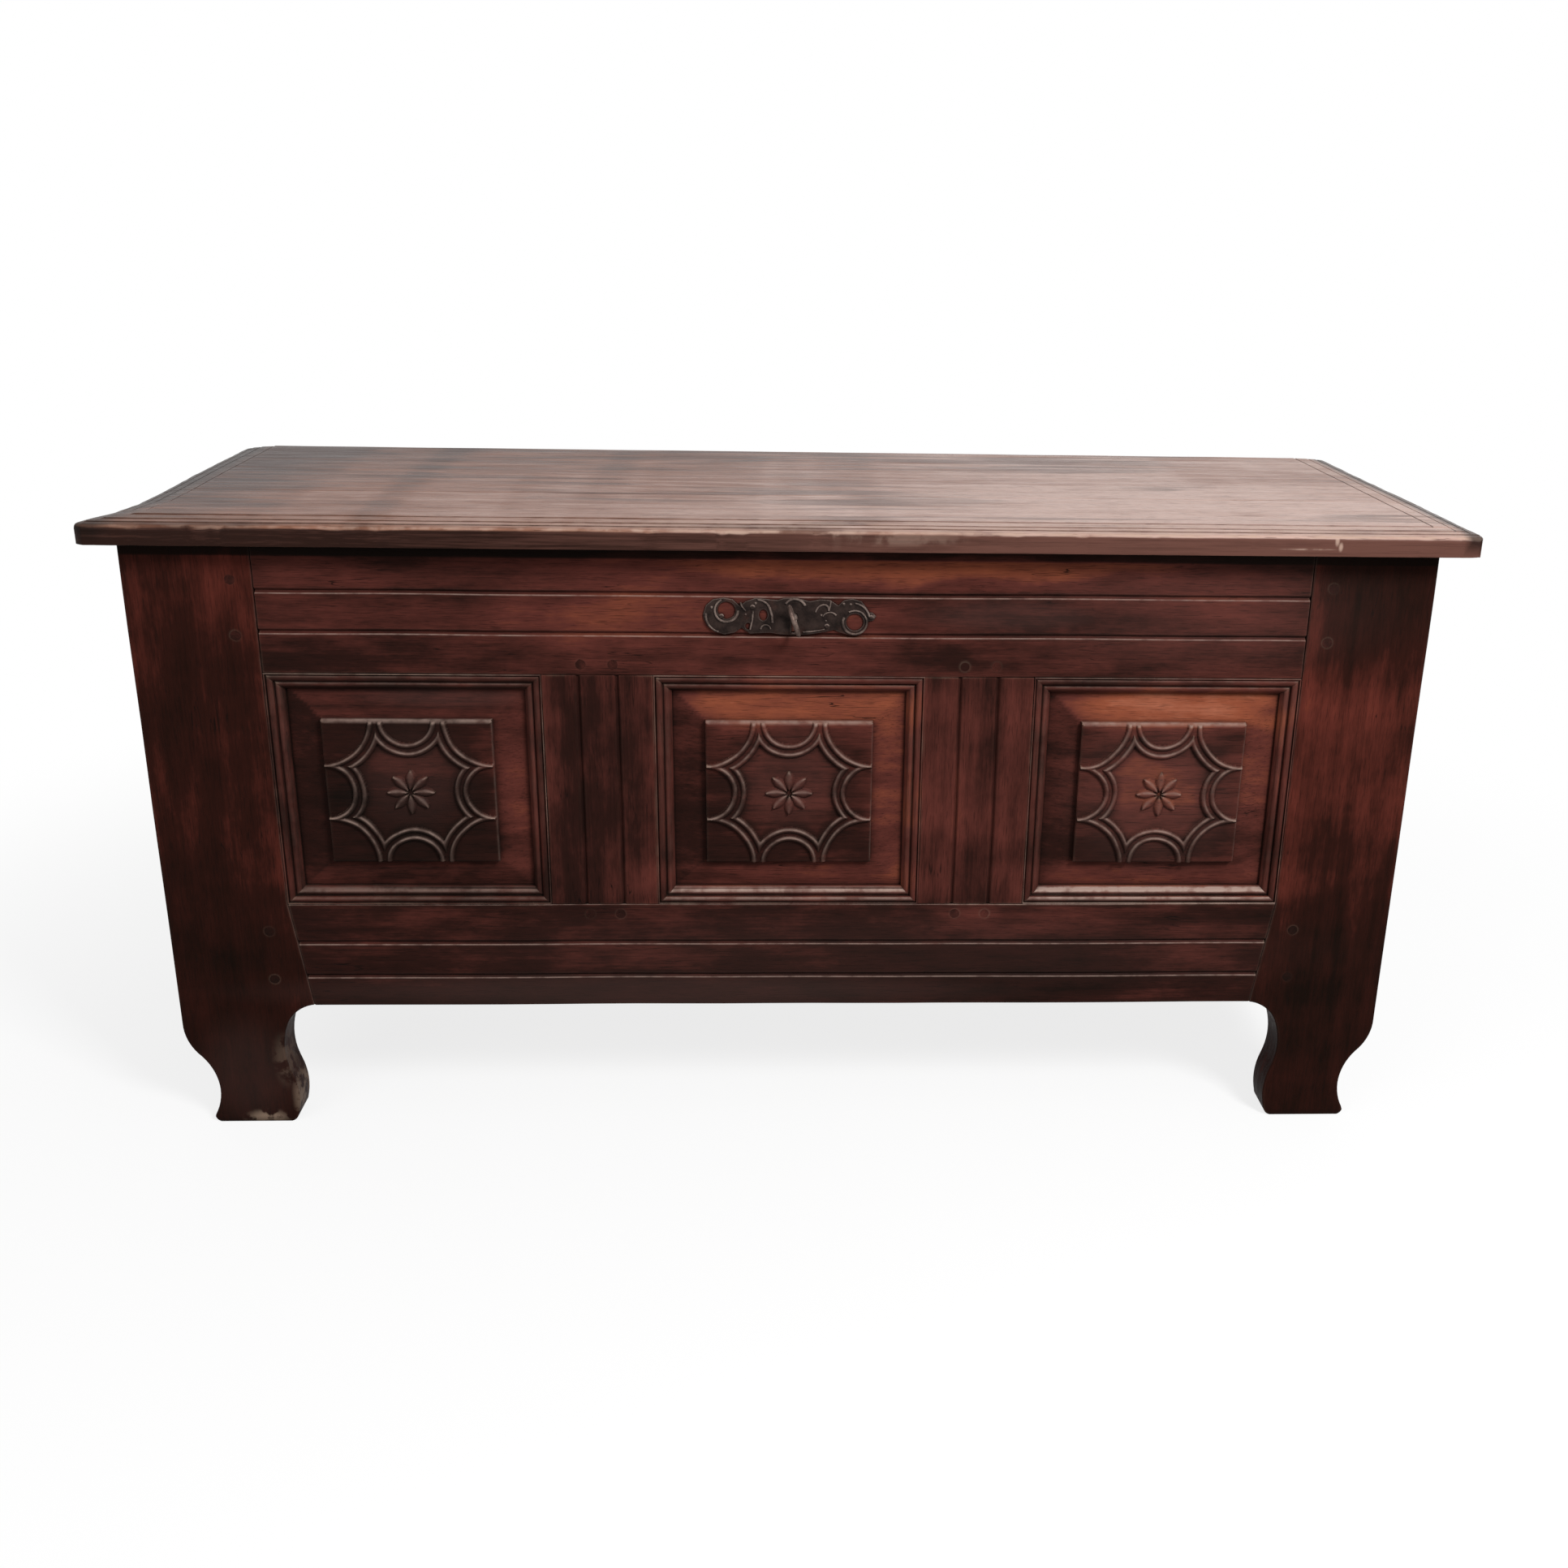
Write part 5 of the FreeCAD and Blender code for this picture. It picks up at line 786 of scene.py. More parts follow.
# A board's own number comes from how many boards were made before it
NUMBER_START = 0.11
NUMBER_STEP = 0.37
board_numbers = []


def finish_piece(name, shape, body, slot, materials, *replaced):
    """Turns a bmesh into a piece that rides on a body and stands for the replaced nodes."""
    mesh = bpy.data.meshes.new(name)
    shape.to_mesh(mesh)
    shape.free()
    mesh.shade_smooth()
    mesh.set_sharp_from_angle(angle=SMOOTH_ANGLE)
    for material in materials:
        mesh.materials.append(material)
    piece = add_object(name, mesh)
    flat_faces = piece.modifiers.new("flat_faces", "WEIGHTED_NORMAL")
    flat_faces.keep_sharp = True
    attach(piece, body)
    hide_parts(*replaced)
    return piece


def number_board(shape):
    """Gives all vertices of a board its own number, which shifts the grain from board to board."""
    number = len(board_numbers) * NUMBER_STEP + NUMBER_START
    board_numbers.append(number)
    layer = shape.verts.layers.float.new("board")
    for vertex in shape.verts:
        vertex[layer] = number


def merged_copy(node):
    """A bmesh of a CAD node's mesh, with its loose triangles joined to whole faces."""
    shape = bmesh.new()
    shape.from_mesh(NODES[node].data)
    bmesh.ops.remove_doubles(shape, verts=shape.verts[:], dist=MERGE_DISTANCE)
    bmesh.ops.dissolve_limit(shape, angle_limit=FLAT_ANGLE, verts=shape.verts[:], edges=shape.edges[:])
    return shape


def ease_arrises(shape, width):
    sharp = []
    for edge in shape.edges:
        if len(edge.link_faces) == 2 and edge.calc_length() > SHORTEST_ARRIS:
            if edge.calc_face_angle() > SHARP_ANGLE:
                sharp.append(edge)
    bmesh.ops.bevel(shape, geom=sharp, offset=width, segments=2, profile=0.5, affect="EDGES", material=-1,
                    clamp_overlap=False)


def body_of(node):
    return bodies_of(NODES[node])[0]


print("board helpers ready")

# %% Write the marks of hand work
# Blender draws the offsets of its vector noise anew at each start unless they get a seed
NOISE_SEED = 3
noise.seed_set(NOISE_SEED)
SWAY_STEP = 0.045
SWAY_SCALE = 7.0
SWAY_LAYER = 0.5
SWAY_REACH = 0.9 * MM
# Share of the sway that goes in and out of the chest's face
SWAY_DEPTH_SHARE = 0.4
FRONT_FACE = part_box("front_top_rail")[0][1]
GROOVE_HEIGHTS = (0.595, 0.554, 0.216, 0.177)
GROOVE_HALF = 2.5 * MM
# An eased lip lies this close to a groove's edge and this far behind the face
LIP_REACH = 0.8 * MM
LIP_LEAST_DEPTH = 0.03 * MM
LIP_MOST_DEPTH = 0.55 * MM
# The joint between stile and rails, as distances from the chest's middle
JOINT_NEAR = 0.500
JOINT_FAR = 0.530
JOINT_RUB = 0.7


def sway_board(shape, axis, seed):
    """Cuts rings across a board and moves them a little, as a hand-sawn and hand-planed board wanders."""
    places = [vertex.co[axis] for vertex in shape.verts]
    direction = Vector((0, 0, 0))
    direction[axis] = 1.0
    count = int((max(places) - min(places)) / SWAY_STEP)
    for index in range(1, count):
        point = Vector((0, 0, 0))
        point[axis] = min(places) + index * (max(places) - min(places)) / count
        everything = shape.verts[:] + shape.edges[:] + shape.faces[:]
        bmesh.ops.bisect_plane(shape, geom=everything, dist=MERGE_DISTANCE, plane_co=point,
                               plane_no=direction)
    for vertex in shape.verts:
        move = noise.noise_vector(Vector((vertex.co[axis] * SWAY_SCALE, seed, SWAY_LAYER)))
        move[axis] = 0.0
        move.y *= SWAY_DEPTH_SHARE
        vertex.co += move * SWAY_REACH


def rub_and_highlight_lips(shape):
    """Paints the lower lip of each V-groove as rubbed and as a painted highlight, and the stiles' inner arris
    as rubbed: cloths catch there.
    """
    layer = shape.verts.layers.float.new("rubbed_and_highlit")
    for vertex in shape.verts:
        if not LIP_LEAST_DEPTH < vertex.co.y - FRONT_FACE < LIP_MOST_DEPTH:
            continue
        if JOINT_NEAR < abs(vertex.co.x) < JOINT_FAR:
            vertex[layer] = JOINT_RUB
        if any(abs(vertex.co.z - (groove - GROOVE_HALF)) < LIP_REACH for groove in GROOVE_HEIGHTS):
            vertex[layer] = 1.0


def worked_board(node, slot, material, ease, sway_axis=None):
    """A copy of a CAD board with eased arrises, rubbed lips with a painted highlight and, along an axis, the
    sway of hand work.
    """
    shape = merged_copy(node)
    ease_arrises(shape, ease)
    rub_and_highlight_lips(shape)
    if sway_axis is not None:
        sway_board(shape, sway_axis, len(board_numbers))
    number_board(shape)
    return finish_piece(node + "_worked", shape, body_of(node), slot, [material], node)


print("front face at:", round(FRONT_FACE, 4))

# %% Work the boards of the frame
# Each group: nodes, finish, width of the eased arris, axis along which the board sways
BOARD_GROUPS = (
    (("front_stile_left", "front_stile_right", "back_stile_left", "back_stile_right"), STILE_OAK, 1.8, 2),
    (("front_muntin_left", "front_muntin_right", "back_muntin"), OAK_ALONG_Z, 0.9, 2),
    (("front_top_rail", "front_bottom_rail", "back_top_rail", "back_bottom_rail"), OAK_ALONG_X, 1.2, 0),
    (("back_panel_left", "back_panel_right"), OAK_ALONG_X, 0.8, None),
    (("side_top_rail_left", "side_top_rail_right", "side_bottom_rail_left", "side_bottom_rail_right"),
     OAK_ALONG_Y, 1.0, None),
    (("side_panel_left", "side_panel_right"), OAK_ALONG_Y, 1.0, None),
)

for nodes, material, ease, sway_axis in BOARD_GROUPS:
    for node in nodes:
        worked_board(node, "stained_oak", material, ease * MM, sway_axis)
print("boards worked:", len(board_numbers))

# %% [markdown]
# ## Pegs
# Riven oak pegs hold every joint. They were driven in roughly round and cut off almost flush, and show
# dark end grain. The CAD pegs say where they are. Each gets a head with a few uneven facets, made from a
# cone whose vertices are pulled in or out by chance, and a low inset top.

# %% Drive the pegs
PEG_HEAD_RADIUS = 5.3 * MM
PEG_TOP_RADIUS = 4.6 * MM
PEG_STAND = 0.06 * MM
PEG_TOP_RISE = 0.4 * PEG_STAND
PEG_FACETS = 11
PEG_LENGTH = 12.0 * MM
# Largest turn by chance, in radians, and the range by which vertices are pulled in or out
PEG_TURN = 6.0
PEG_UNEVEN = (-0.12, 0.06)
PEG_SEED = 5
# Faces that look along a direction have at least this much of it in their normal
ALIGNED = 0.9


def peg_places(node):
    """Middle of each separate peg in a node and its half length along each axis."""
    shape = merged_copy(node)
    left = set(shape.verts)
    places = []
    for first in shape.verts:
        if first not in left:
            continue
        left.remove(first)
        group = [first]
        for vertex in group:
            for edge in vertex.link_edges:
                other = edge.other_vert(vertex)
                if other in left:
                    left.remove(other)
                    group.append(other)
        low = Vector([min(vertex.co[axis] for vertex in group) for axis in range(3)])
        high = Vector([max(vertex.co[axis] for vertex in group) for axis in range(3)])
        places.append(((low + high) / 2, (high - low) / 2))
    shape.free()
    return places


def faces_of(vertices):
    """Faces that touch any of the vertices, in a fixed order."""
    return list(dict.fromkeys(face for vertex in vertices for face in vertex.link_faces))


def drive_pegs(node, axis):
    """Pegs whose heads show on the chest's outside, across an axis."""
    dice = random.Random(PEG_SEED)
    shape = bmesh.new()
    for middle, half in peg_places(node):
        out = Vector((0, 0, 0))
        out[axis] = math.copysign(1.0, middle[axis])
        turn = out.to_track_quat("Z", "Y").to_matrix().to_4x4()
        turn = turn @ Matrix.Rotation(dice.uniform(0, PEG_TURN), 4, "Z")
        seat = middle + out * (half[axis] + PEG_STAND - PEG_LENGTH / 2)
        peg = bmesh.ops.create_cone(shape, cap_ends=True, segments=PEG_FACETS, radius1=PEG_HEAD_RADIUS,
                                    radius2=PEG_HEAD_RADIUS, depth=PEG_LENGTH,
                                    matrix=Matrix.Translation(seat) @ turn)["verts"]
        for vertex in peg:
            vertex.co += (vertex.co - seat).project(turn.col[0].xyz) * dice.uniform(*PEG_UNEVEN)
        head = [face for face in faces_of(peg) if face.normal.dot(out) > ALIGNED]
        bmesh.ops.inset_region(shape, faces=head, thickness=PEG_HEAD_RADIUS - PEG_TOP_RADIUS,
                               depth=PEG_TOP_RISE)
    number_board(shape)
    return finish_piece(node + "_driven", shape, "carcase", "stained_oak", [PEG_ENDS], node)


for node, axis in (("front_pegs", 1), ("back_pegs", 1), ("side_pegs", 0)):
    pegs = drive_pegs(node, axis)
    print(pegs.name, "faces:", len(pegs.data.polygons))

# %% [markdown]
# ## Panel mouldings
# Each panel sits behind a mitred moulding of four strips. The CAD copy already has the moulding's beads,
# so it only needs softer arrises. The grain has to follow each strip, and the bottom strips, which look up,
# are rubbed far more than the others and carry a painted highlight on their beads. All strips meet in the
# mitres and share their vertices there, so the three kinds of strip are told apart by the material of their
# faces, and only the beads' crests are painted on the vertices.

# %% Work the mouldings
PANEL_SIDES = ("left", "centre", "right")
MOULDING_EASE = 0.5 * MM
# Material numbers of the strips
UPRIGHT, BOTTOM, TOP = range(3)
# Crests of the fillet, the bead and the ovolo: insets from the outer edge, and how far they are rubbed and
# painted with a highlight
BEAD_CRESTS = (
    (-1.0 * MM, 1.2 * MM, 1.5),
    (2.6 * MM, 7.6 * MM, 0.6),
    (9.8 * MM, 16.6 * MM, 1.0),
)


def worked_moulding(side):
    node = "panel_moulding_" + side
    low, high = (Vector(corner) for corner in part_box(node))
    middle = (low + high) / 2
    half = (high - low) / 2
    shape = merged_copy(node)
    ease_arrises(shape, MOULDING_EASE)
    for face in shape.faces:
        out = face.calc_center_median() - middle
        if half.x - abs(out.x) > half.z - abs(out.z):
            face.material_index = TOP if out.z > 0 else BOTTOM
        else:
            face.material_index = UPRIGHT
    # The bead crests are painted as rubbed and as a highlight
    layer = shape.verts.layers.float.new("rubbed_and_highlit")
    for vertex in shape.verts:
        out = vertex.co - middle
        inset = min(half.x - abs(out.x), half.z - abs(out.z))
        for start, end, rubbed_and_highlit in BEAD_CRESTS:
            if start < inset < end:
                vertex[layer] = rubbed_and_highlit
    number_board(shape)
    finishes = (UPRIGHT_STRIP, BOTTOM_STRIPS[side], TOP_STRIP)
    return finish_piece(node + "_worked", shape, body_of(node), "stained_oak", finishes, node)


for side in PANEL_SIDES:
    worked_moulding(side)
print("mouldings worked:", len(PANEL_SIDES))

# %% [markdown]
# ## Carved panels
# A carver lowered the ground round a square plaque, sloped it down to the moulding, and left a star band
# of two ridges and a small rosette standing. A boolean could build that from bars, but carved ridges are
# round and a little uneven. So each panel is a grid whose lines are close on the plaque, and every
# crossing is pressed back as deep as a carver would go. The rim is then drawn back to the panel's rear
# face and closed.

# %% Write the relief helpers
ROUNDING_SLACK = 1e-6


def smooth_step(value):
    """0 below 0, 1 above 1, and a smooth rise between them."""
    held = min(1.0, max(0.0, value))
    return held * held * (3 - 2 * held)


def stretches(*parts):
    """Places along a line. Each part is a start, an end and the largest step between places."""
    places = [parts[0][0]]
    for start, end, step in parts:
        count = max(1, math.ceil((end - start) / step - ROUNDING_SLACK))
        places += [start + (end - start) * index / count for index in range(1, count + 1)]
    return places


def mirrored(places):
    """Places from the middle out, with the same on the other side."""
    return [-place for place in reversed(places)][:-1] + list(places)


def relief_grid(across, along, mask_names, lift):
    """Grid with lines at the given places. lift gives each crossing's place and its painted masks."""
    shape = bmesh.new()
    layers = [shape.verts.layers.float.new(name) for name in mask_names]
    columns = len(across) - 1
    rows = len(along) - 1
    bmesh.ops.create_grid(shape, x_segments=columns, y_segments=rows, size=0.5)
    for vertex in shape.verts:
        column = round((vertex.co.x + 0.5) * columns)
        row = round((vertex.co.y + 0.5) * rows)
        vertex.co, *masks = lift(across[column], along[row])
        for layer, mask in zip(layers, masks):
            vertex[layer] = mask
    return shape


def close_back(shape, axis, place):
    """Draws the rim of an open sheet to a plane across an axis, fills it there and returns its edges."""
    rim = [edge for edge in shape.edges if edge.is_boundary]
    drawn = bmesh.ops.extrude_edge_only(shape, edges=rim)["geom"]
    for vertex in drawn:
        if isinstance(vertex, bmesh.types.BMVert):
            vertex.co[axis] = place
            for layer in shape.verts.layers.float.values():
                vertex[layer] = 0.0
    bmesh.ops.holes_fill(shape, edges=[edge for edge in shape.edges if edge.is_boundary])
    bmesh.ops.recalc_face_normals(shape, faces=shape.faces[:])
    return [edge for edge in shape.edges if all(abs(v.co[axis] - place) < MERGE_DISTANCE for v in edge.verts)]


print("relief helpers ready")

# %% Draw the star and the rosette
# Millimetres from the panel's middle
PLAQUE_HALF_WIDTH = 85.53
PLAQUE_HALF_HEIGHT = 77.0
STAR_EDGE = 0.6
RIDGE_WIDTH = 6.0
RIDGE_PITCH = 8.8
RIDGE_HEIGHT = 3.8
BAND_RISE = 1.2
BAND_EDGE = 1.0
# The circles that bound the star: place in half widths and half heights of the plaque, and radius
STAR_HOLLOWS = (
    (1, 0, 27.0), (-1, 0, 27.0), (0, 1, 24.0), (0, -1, 24.0),
    (1, 1, 46.0), (-1, 1, 46.0), (1, -1, 46.0), (-1, -1, 46.0),
)
PETAL_COUNT = 8
PETAL_START = 2.5
PETAL_END = 24.0
PETAL_HALF_WIDTH = 5.6
PETAL_HEIGHT = 3.4
PETAL_SKEW = 1.15
PETAL_FULLNESS = 0.65


def ridge(inset, start):
    """Height of a round ridge that starts at an inset into the star."""
    across = (inset - start) / (RIDGE_WIDTH / 2) - 1
    if abs(across) >= 1:
        return 0.0
    return RIDGE_HEIGHT * math.sqrt(1 - across * across)


def star_inset(u, w):
    """Distance into the star from the nearest of the eight circles that bound it."""
    return min(math.hypot(u - x * PLAQUE_HALF_WIDTH, w - z * PLAQUE_HALF_HEIGHT) - radius
               for x, z, radius in STAR_HOLLOWS)


def star_band(u, w):
    """A raised band that follows eight circles, with a round ridge on each side and a hollow between them."""
    if abs(u) > PLAQUE_HALF_WIDTH - STAR_EDGE or abs(w) > PLAQUE_HALF_HEIGHT - STAR_EDGE:
        return 0.0
    inset = star_inset(u, w)
    raised = max(ridge(inset, 0.0), ridge(inset, RIDGE_PITCH))
    if BAND_EDGE < inset < RIDGE_PITCH + RIDGE_WIDTH - BAND_EDGE:
        return max(raised, BAND_RISE)
    return raised


def rosette(u, w):
    """Almond petals round the middle."""
    part = 2 * math.pi / PETAL_COUNT
    angle = math.atan2(w, u)
    off = angle - part * round(angle / part)
    radius = math.hypot(u, w)
    along = (radius * math.cos(off) - PETAL_START) / (PETAL_END - PETAL_START)
    if not 0 < along < 1:
        return 0.0
    half_width = PETAL_HALF_WIDTH * math.sin(math.pi * along ** PETAL_SKEW) ** PETAL_FULLNESS
    across = abs(radius * math.sin(off)) / half_width
    if across >= 1:
        return 0.0
    return PETAL_HEIGHT * (1 - across * across)


print("hollows of the star:", len(STAR_HOLLOWS), "petals:", PETAL_COUNT)

# %% Shape the surface of a panel
# Heights in front of the flat margin round the bevels
BEVEL_SIDE_WIDTH = 31.8
BEVEL_END_WIDTH = 28.5
BEVEL_RISE = 5.0
PLAQUE_STEP = 7.0
# How far the plaque lies behind its full height, and how uneven the plaque and the ground are
PLAQUE_SINK = 0.25
PLAQUE_UNEVEN = 0.175
GROUND_UNEVEN = 0.35
# Worn arrises of the plaque: width and drop, more at the top
PLAQUE_ARRIS = 1.6
ARRIS_DROP = 0.9
TOP_ARRIS = 4.2
TOP_ARRIS_DROP = 2.6
HAND_WOBBLE = 1.3
WOBBLE_SCALE = 0.03
# How far the plaque, the star's middle and the four facets shift the tone; the facets' shifts are painted
# light and shade, lighter on the top and right facets and darker on the left, as the light falls
PLAQUE_TONE = -0.08
STAR_LIFT = 0.09
STAR_LIFT_FADE = 8.0
TOP_FACET_LIGHT = 0.05
RIGHT_FACET_LIGHT = 0.02
BOTTOM_FACET_LIGHT = 0.0
LEFT_FACET_SHADE = -0.07
# Carving above this height is rubbed and painted with a highlight, and so are the plaque's arrises,
# most the top and right ones, which face the light
RUBBED_AND_HIGHLIT_FROM = 1.5
RIDGE_RUB_AND_HIGHLIGHT = 0.82
TOP_ARRIS_RUB_AND_HIGHLIGHT = 0.8
RIGHT_ARRIS_RUB_AND_HIGHLIGHT = 1.0
OTHER_ARRIS_RUB = 0.1


def bevel_surface(u, w, side, end, sway):
    """Height, tone and rub of the slope that falls from the plaque to the margin; its tone is painted light
    and shade, set by the facet.
    """
    side_slope = side / BEVEL_SIDE_WIDTH
    end_slope = end / BEVEL_END_WIDTH
    slope = max(side_slope, end_slope)
    if side_slope > end_slope:
        tone = RIGHT_FACET_LIGHT if u > 0 else LEFT_FACET_SHADE
    else:
        tone = TOP_FACET_LIGHT if w > 0 else BOTTOM_FACET_LIGHT
    uneven = GROUND_UNEVEN * sway.z if slope < 1.0 else 0.0
    return BEVEL_RISE * max(0.0, 1.0 - slope) + uneven, tone, 0.0


def plaque_surface(u, w, side, end, sway):
    """Height, tone and rub of the plaque with its carving and worn arrises; the rub is also a painted
    highlight.
    """
    carved_u = u + HAND_WOBBLE * sway.x
    carved_w = w + HAND_WOBBLE * sway.y
    carving = star_band(carved_u, carved_w) + rosette(carved_u, carved_w)
    arris, drop, arris_rub_and_highlight = PLAQUE_ARRIS, ARRIS_DROP, OTHER_ARRIS_RUB
    if end > side and w > 0:
        arris, drop, arris_rub_and_highlight = TOP_ARRIS, TOP_ARRIS_DROP, TOP_ARRIS_RUB_AND_HIGHLIGHT
    elif side > end and u > 0:
        arris_rub_and_highlight = RIGHT_ARRIS_RUB_AND_HIGHLIGHT
    worn = max(0.0, arris + max(side, end)) / arris
    ridge_rub_and_highlight = RIDGE_RUB_AND_HIGHLIGHT * smooth_step((carving - RUBBED_AND_HIGHLIT_FROM) / (RIDGE_HEIGHT - RUBBED_AND_HIGHLIT_FROM))
    height = BEVEL_RISE + PLAQUE_STEP - PLAQUE_SINK + carving - drop * worn ** 2 + PLAQUE_UNEVEN * sway.z
    past_band = star_inset(carved_u, carved_w) - RIDGE_PITCH - RIDGE_WIDTH
    tone = PLAQUE_TONE + STAR_LIFT * smooth_step(past_band / STAR_LIFT_FADE)
    return height, tone, max(ridge_rub_and_highlight, arris_rub_and_highlight * worn)


def panel_surface(u, w, seed):
    """Height in front of the margin, and the tone and rubbed masks there."""
    sway = noise.noise_vector(Vector((u * WOBBLE_SCALE, w * WOBBLE_SCALE, seed)))
    side = abs(u) - PLAQUE_HALF_WIDTH
    end = abs(w) - PLAQUE_HALF_HEIGHT
    surface = bevel_surface if max(side, end) > 0 else plaque_surface
    return surface(u, w, side, end, sway)


print("plaque stands", BEVEL_RISE + PLAQUE_STEP - PLAQUE_SINK, "mm in front of the margin")

# %% Carve the panels
MARGIN_Y = -213.15
PLAQUE_WALL = 0.5
CARVING_STEP = 0.85
BEVEL_STEP = 3.2
FIRST_SEED = 4.0
SEED_STEP = 3.0


def panel_lines(plaque_half, bevel, board_half):
    """Places of the grid lines from the plaque's middle out, and mirrored."""
    foot = plaque_half + PLAQUE_WALL
    rim = plaque_half + bevel
    return mirrored(stretches((0.0, plaque_half, CARVING_STEP), (plaque_half, foot, PLAQUE_WALL),
                              (foot, rim, BEVEL_STEP), (rim, board_half, BEVEL_STEP)))


def carved_panel(node, seed):
    low, high = (Vector(corner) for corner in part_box(node))
    middle = (low + high) / 2
    half = (high - low) / 2 / MM
    across = panel_lines(PLAQUE_HALF_WIDTH, BEVEL_SIDE_WIDTH, half.x)
    along = panel_lines(PLAQUE_HALF_HEIGHT, BEVEL_END_WIDTH, half.z)

    def lift(u, w):
        height, *masks = panel_surface(u, w, seed)
        return Vector((middle.x + u * MM, (MARGIN_Y - height) * MM, middle.z + w * MM)), *masks

    shape = relief_grid(across, along, ("tone", "rubbed_and_highlit"), lift)
    close_back(shape, 1, high.y)
    number_board(shape)
    return finish_piece(node + "_carved", shape, body_of(node), "stained_oak", [OAK_ALONG_X], node)


for index, side in enumerate(PANEL_SIDES):
    panel = carved_panel("front_panel_" + side, FIRST_SEED + SEED_STEP * index)
    print(panel.name, "faces:", len(panel.data.polygons))

# %% [markdown]
# ## The lid
# Two boards make the lid. A plane with a shaped iron ran the moulding along the front and both ends: a
# round nosing and three steps with a fine quirk at each. The ends and the nosing are the most worn part of
# the chest: the left end is worn hollow, the moulding of the right end is shallower, and the nosing is
# chipped. The boards are grids again. A line lies on every step of the moulding, so the profile turns the
# corners in a mitre by itself, as a plane would leave it, and the wear then moves the crossings.

# %% Measure the lid and set out its moulding
# The moulding: millimetres in from the edge, and below the lid's top
LID_PROFILE = (
    (0.0, 8.6), (0.5, 6.6), (1.6, 5.0), (3.0, 4.3), (4.6, 4.0), (9.6, 3.6), (10.4, 4.9), (11.4, 4.9),
    (12.2, 2.9), (20.6, 2.3), (21.4, 3.5), (22.4, 3.5), (23.2, 1.7), (37.6, 1.1), (38.4, 2.4), (39.4, 2.4),
    (40.4, 0.4),
)
JOINT_ROUND = ((0.0, 0.5), (0.5, 0.12), (1.2, 0.0))
EDGE_INSETS = [inset for inset, drop in LID_PROFILE]
JOINT_INSETS = [inset for inset, drop in JOINT_ROUND]
LID_BOTTOM_CLEARANCE = 0.4
LID_UNDER_ROUND = 2.6
LID_LENGTH_STEP = 7.0
LID_DEPTH_STEP = 12.0

front_low, front_high = (Vector(corner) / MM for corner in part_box("lid_board_front"))
LID_LEFT, LID_FRONT, LID_UNDERSIDE = front_low
LID_RIGHT, LID_JOINT, LID_TOP = front_high
LID_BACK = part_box("lid_board_rear")[1][1] / MM
LID_BOTTOM = LID_UNDERSIDE + LID_BOTTOM_CLEARANCE
print("lid:", round(LID_RIGHT - LID_LEFT, 1), "by", round(LID_BACK - LID_FRONT, 1), "mm")

# %% Chip the nosing and round the corners
# Chips of the nosing, in millimetres: count, range of half widths and range of depths
NOSING_CHIPS = 26
CHIP_WIDTHS = (3.0, 14.0)
CHIP_DEPTHS = (0.6, 2.4)
CHIP_SEED = 11

dice = random.Random(CHIP_SEED)
CHIPS = []
for index in range(NOSING_CHIPS):
    CHIPS.append((dice.uniform(LID_LEFT, LID_RIGHT), dice.uniform(*CHIP_WIDTHS), dice.uniform(*CHIP_DEPTHS)))


def drop_at(profile, inset):
    """Depth of a profile at an inset, on straight lines between its points."""
    for (start, first), (end, second) in zip(profile, profile[1:]):
        if inset <= end:
            return first + (second - first) * max(0.0, inset - start) / (end - start)
    return profile[-1][1]


def near(distance, width):
    """1 at an edge, fading smoothly to 0 at a width from it."""
    return smooth_step(1 - distance / width)


def chip_at(x):
    """How deep the nosing is chipped at a place along the front."""
    return max(deepest * near(abs(x - place), width) for place, width, deepest in CHIPS)


def rounded(x, y, corner_x, corner_y, radius):
    """Moves a point near a square corner so that the corner becomes an arc."""
    inward_x = math.copysign(1, -corner_x)
    inward_y = math.copysign(1, -corner_y)
    across = 1 - (x - corner_x) * inward_x / radius
    along = 1 - (y - corner_y) * inward_y / radius
    if across <= 0 or along <= 0:
        return x, y
    pull = 1 - max(across, along) / math.hypot(across, along)
    return x + inward_x * radius * across * pull, y + inward_y * radius * along * pull


print("chips on the nosing:", len(CHIPS))

# %% Write the wear of the lid
# The worn hollow of the left end: place along the lid's depth, and how far the end is worn back there
LEFT_HOLLOW = (
    (-250.0, 0.0), (-232.0, 4.0), (-195.0, 17.0), (-150.0, 23.0), (-100.0, 22.0), (60.0, 15.0), (245.0, 10.0),
)
HOLLOW_FADE = 150.0
HOLLOW_UNEVEN = 0.08
# Rounded corners: place and radius
FRONT_CORNERS = ((LID_LEFT, LID_FRONT, 16.0), (LID_RIGHT, LID_FRONT, 8.0))
BACK_CORNERS = ((LID_LEFT + LEFT_HOLLOW[-1][1], LID_BACK, 8.0), (LID_RIGHT, LID_BACK, 3.0))
# Share of the moulding's depth that is left at the right end
RIGHT_END_DEPTH = 0.6
# How far the whole top, the nosing and the front edge are worn down or back
TOP_WORN = 0.35
TOP_UNEVEN = 0.3
NOSING_WIDTH = 9.0
NOSING_WORN = 0.5
NOSING_UNEVEN = 0.4
NOSING_BACK = 0.4
FRONT_WIDTH = 7.0
FRONT_BACK = 0.6
FRONT_UNEVEN = 0.5
CHIP_BACK = 0.7
# Noise that makes the wear uneven: scale per millimetre, and the layer of the noise that is used
BROAD_WEAR = (0.012, 2.0)
FINE_WEAR = (0.07, 7.0)
HOLLOW_WEAR = (0.02, 5.0)


def uneven_wear(x, y, scale, layer):
    return noise.noise(Vector((x * scale, y * scale, layer)))


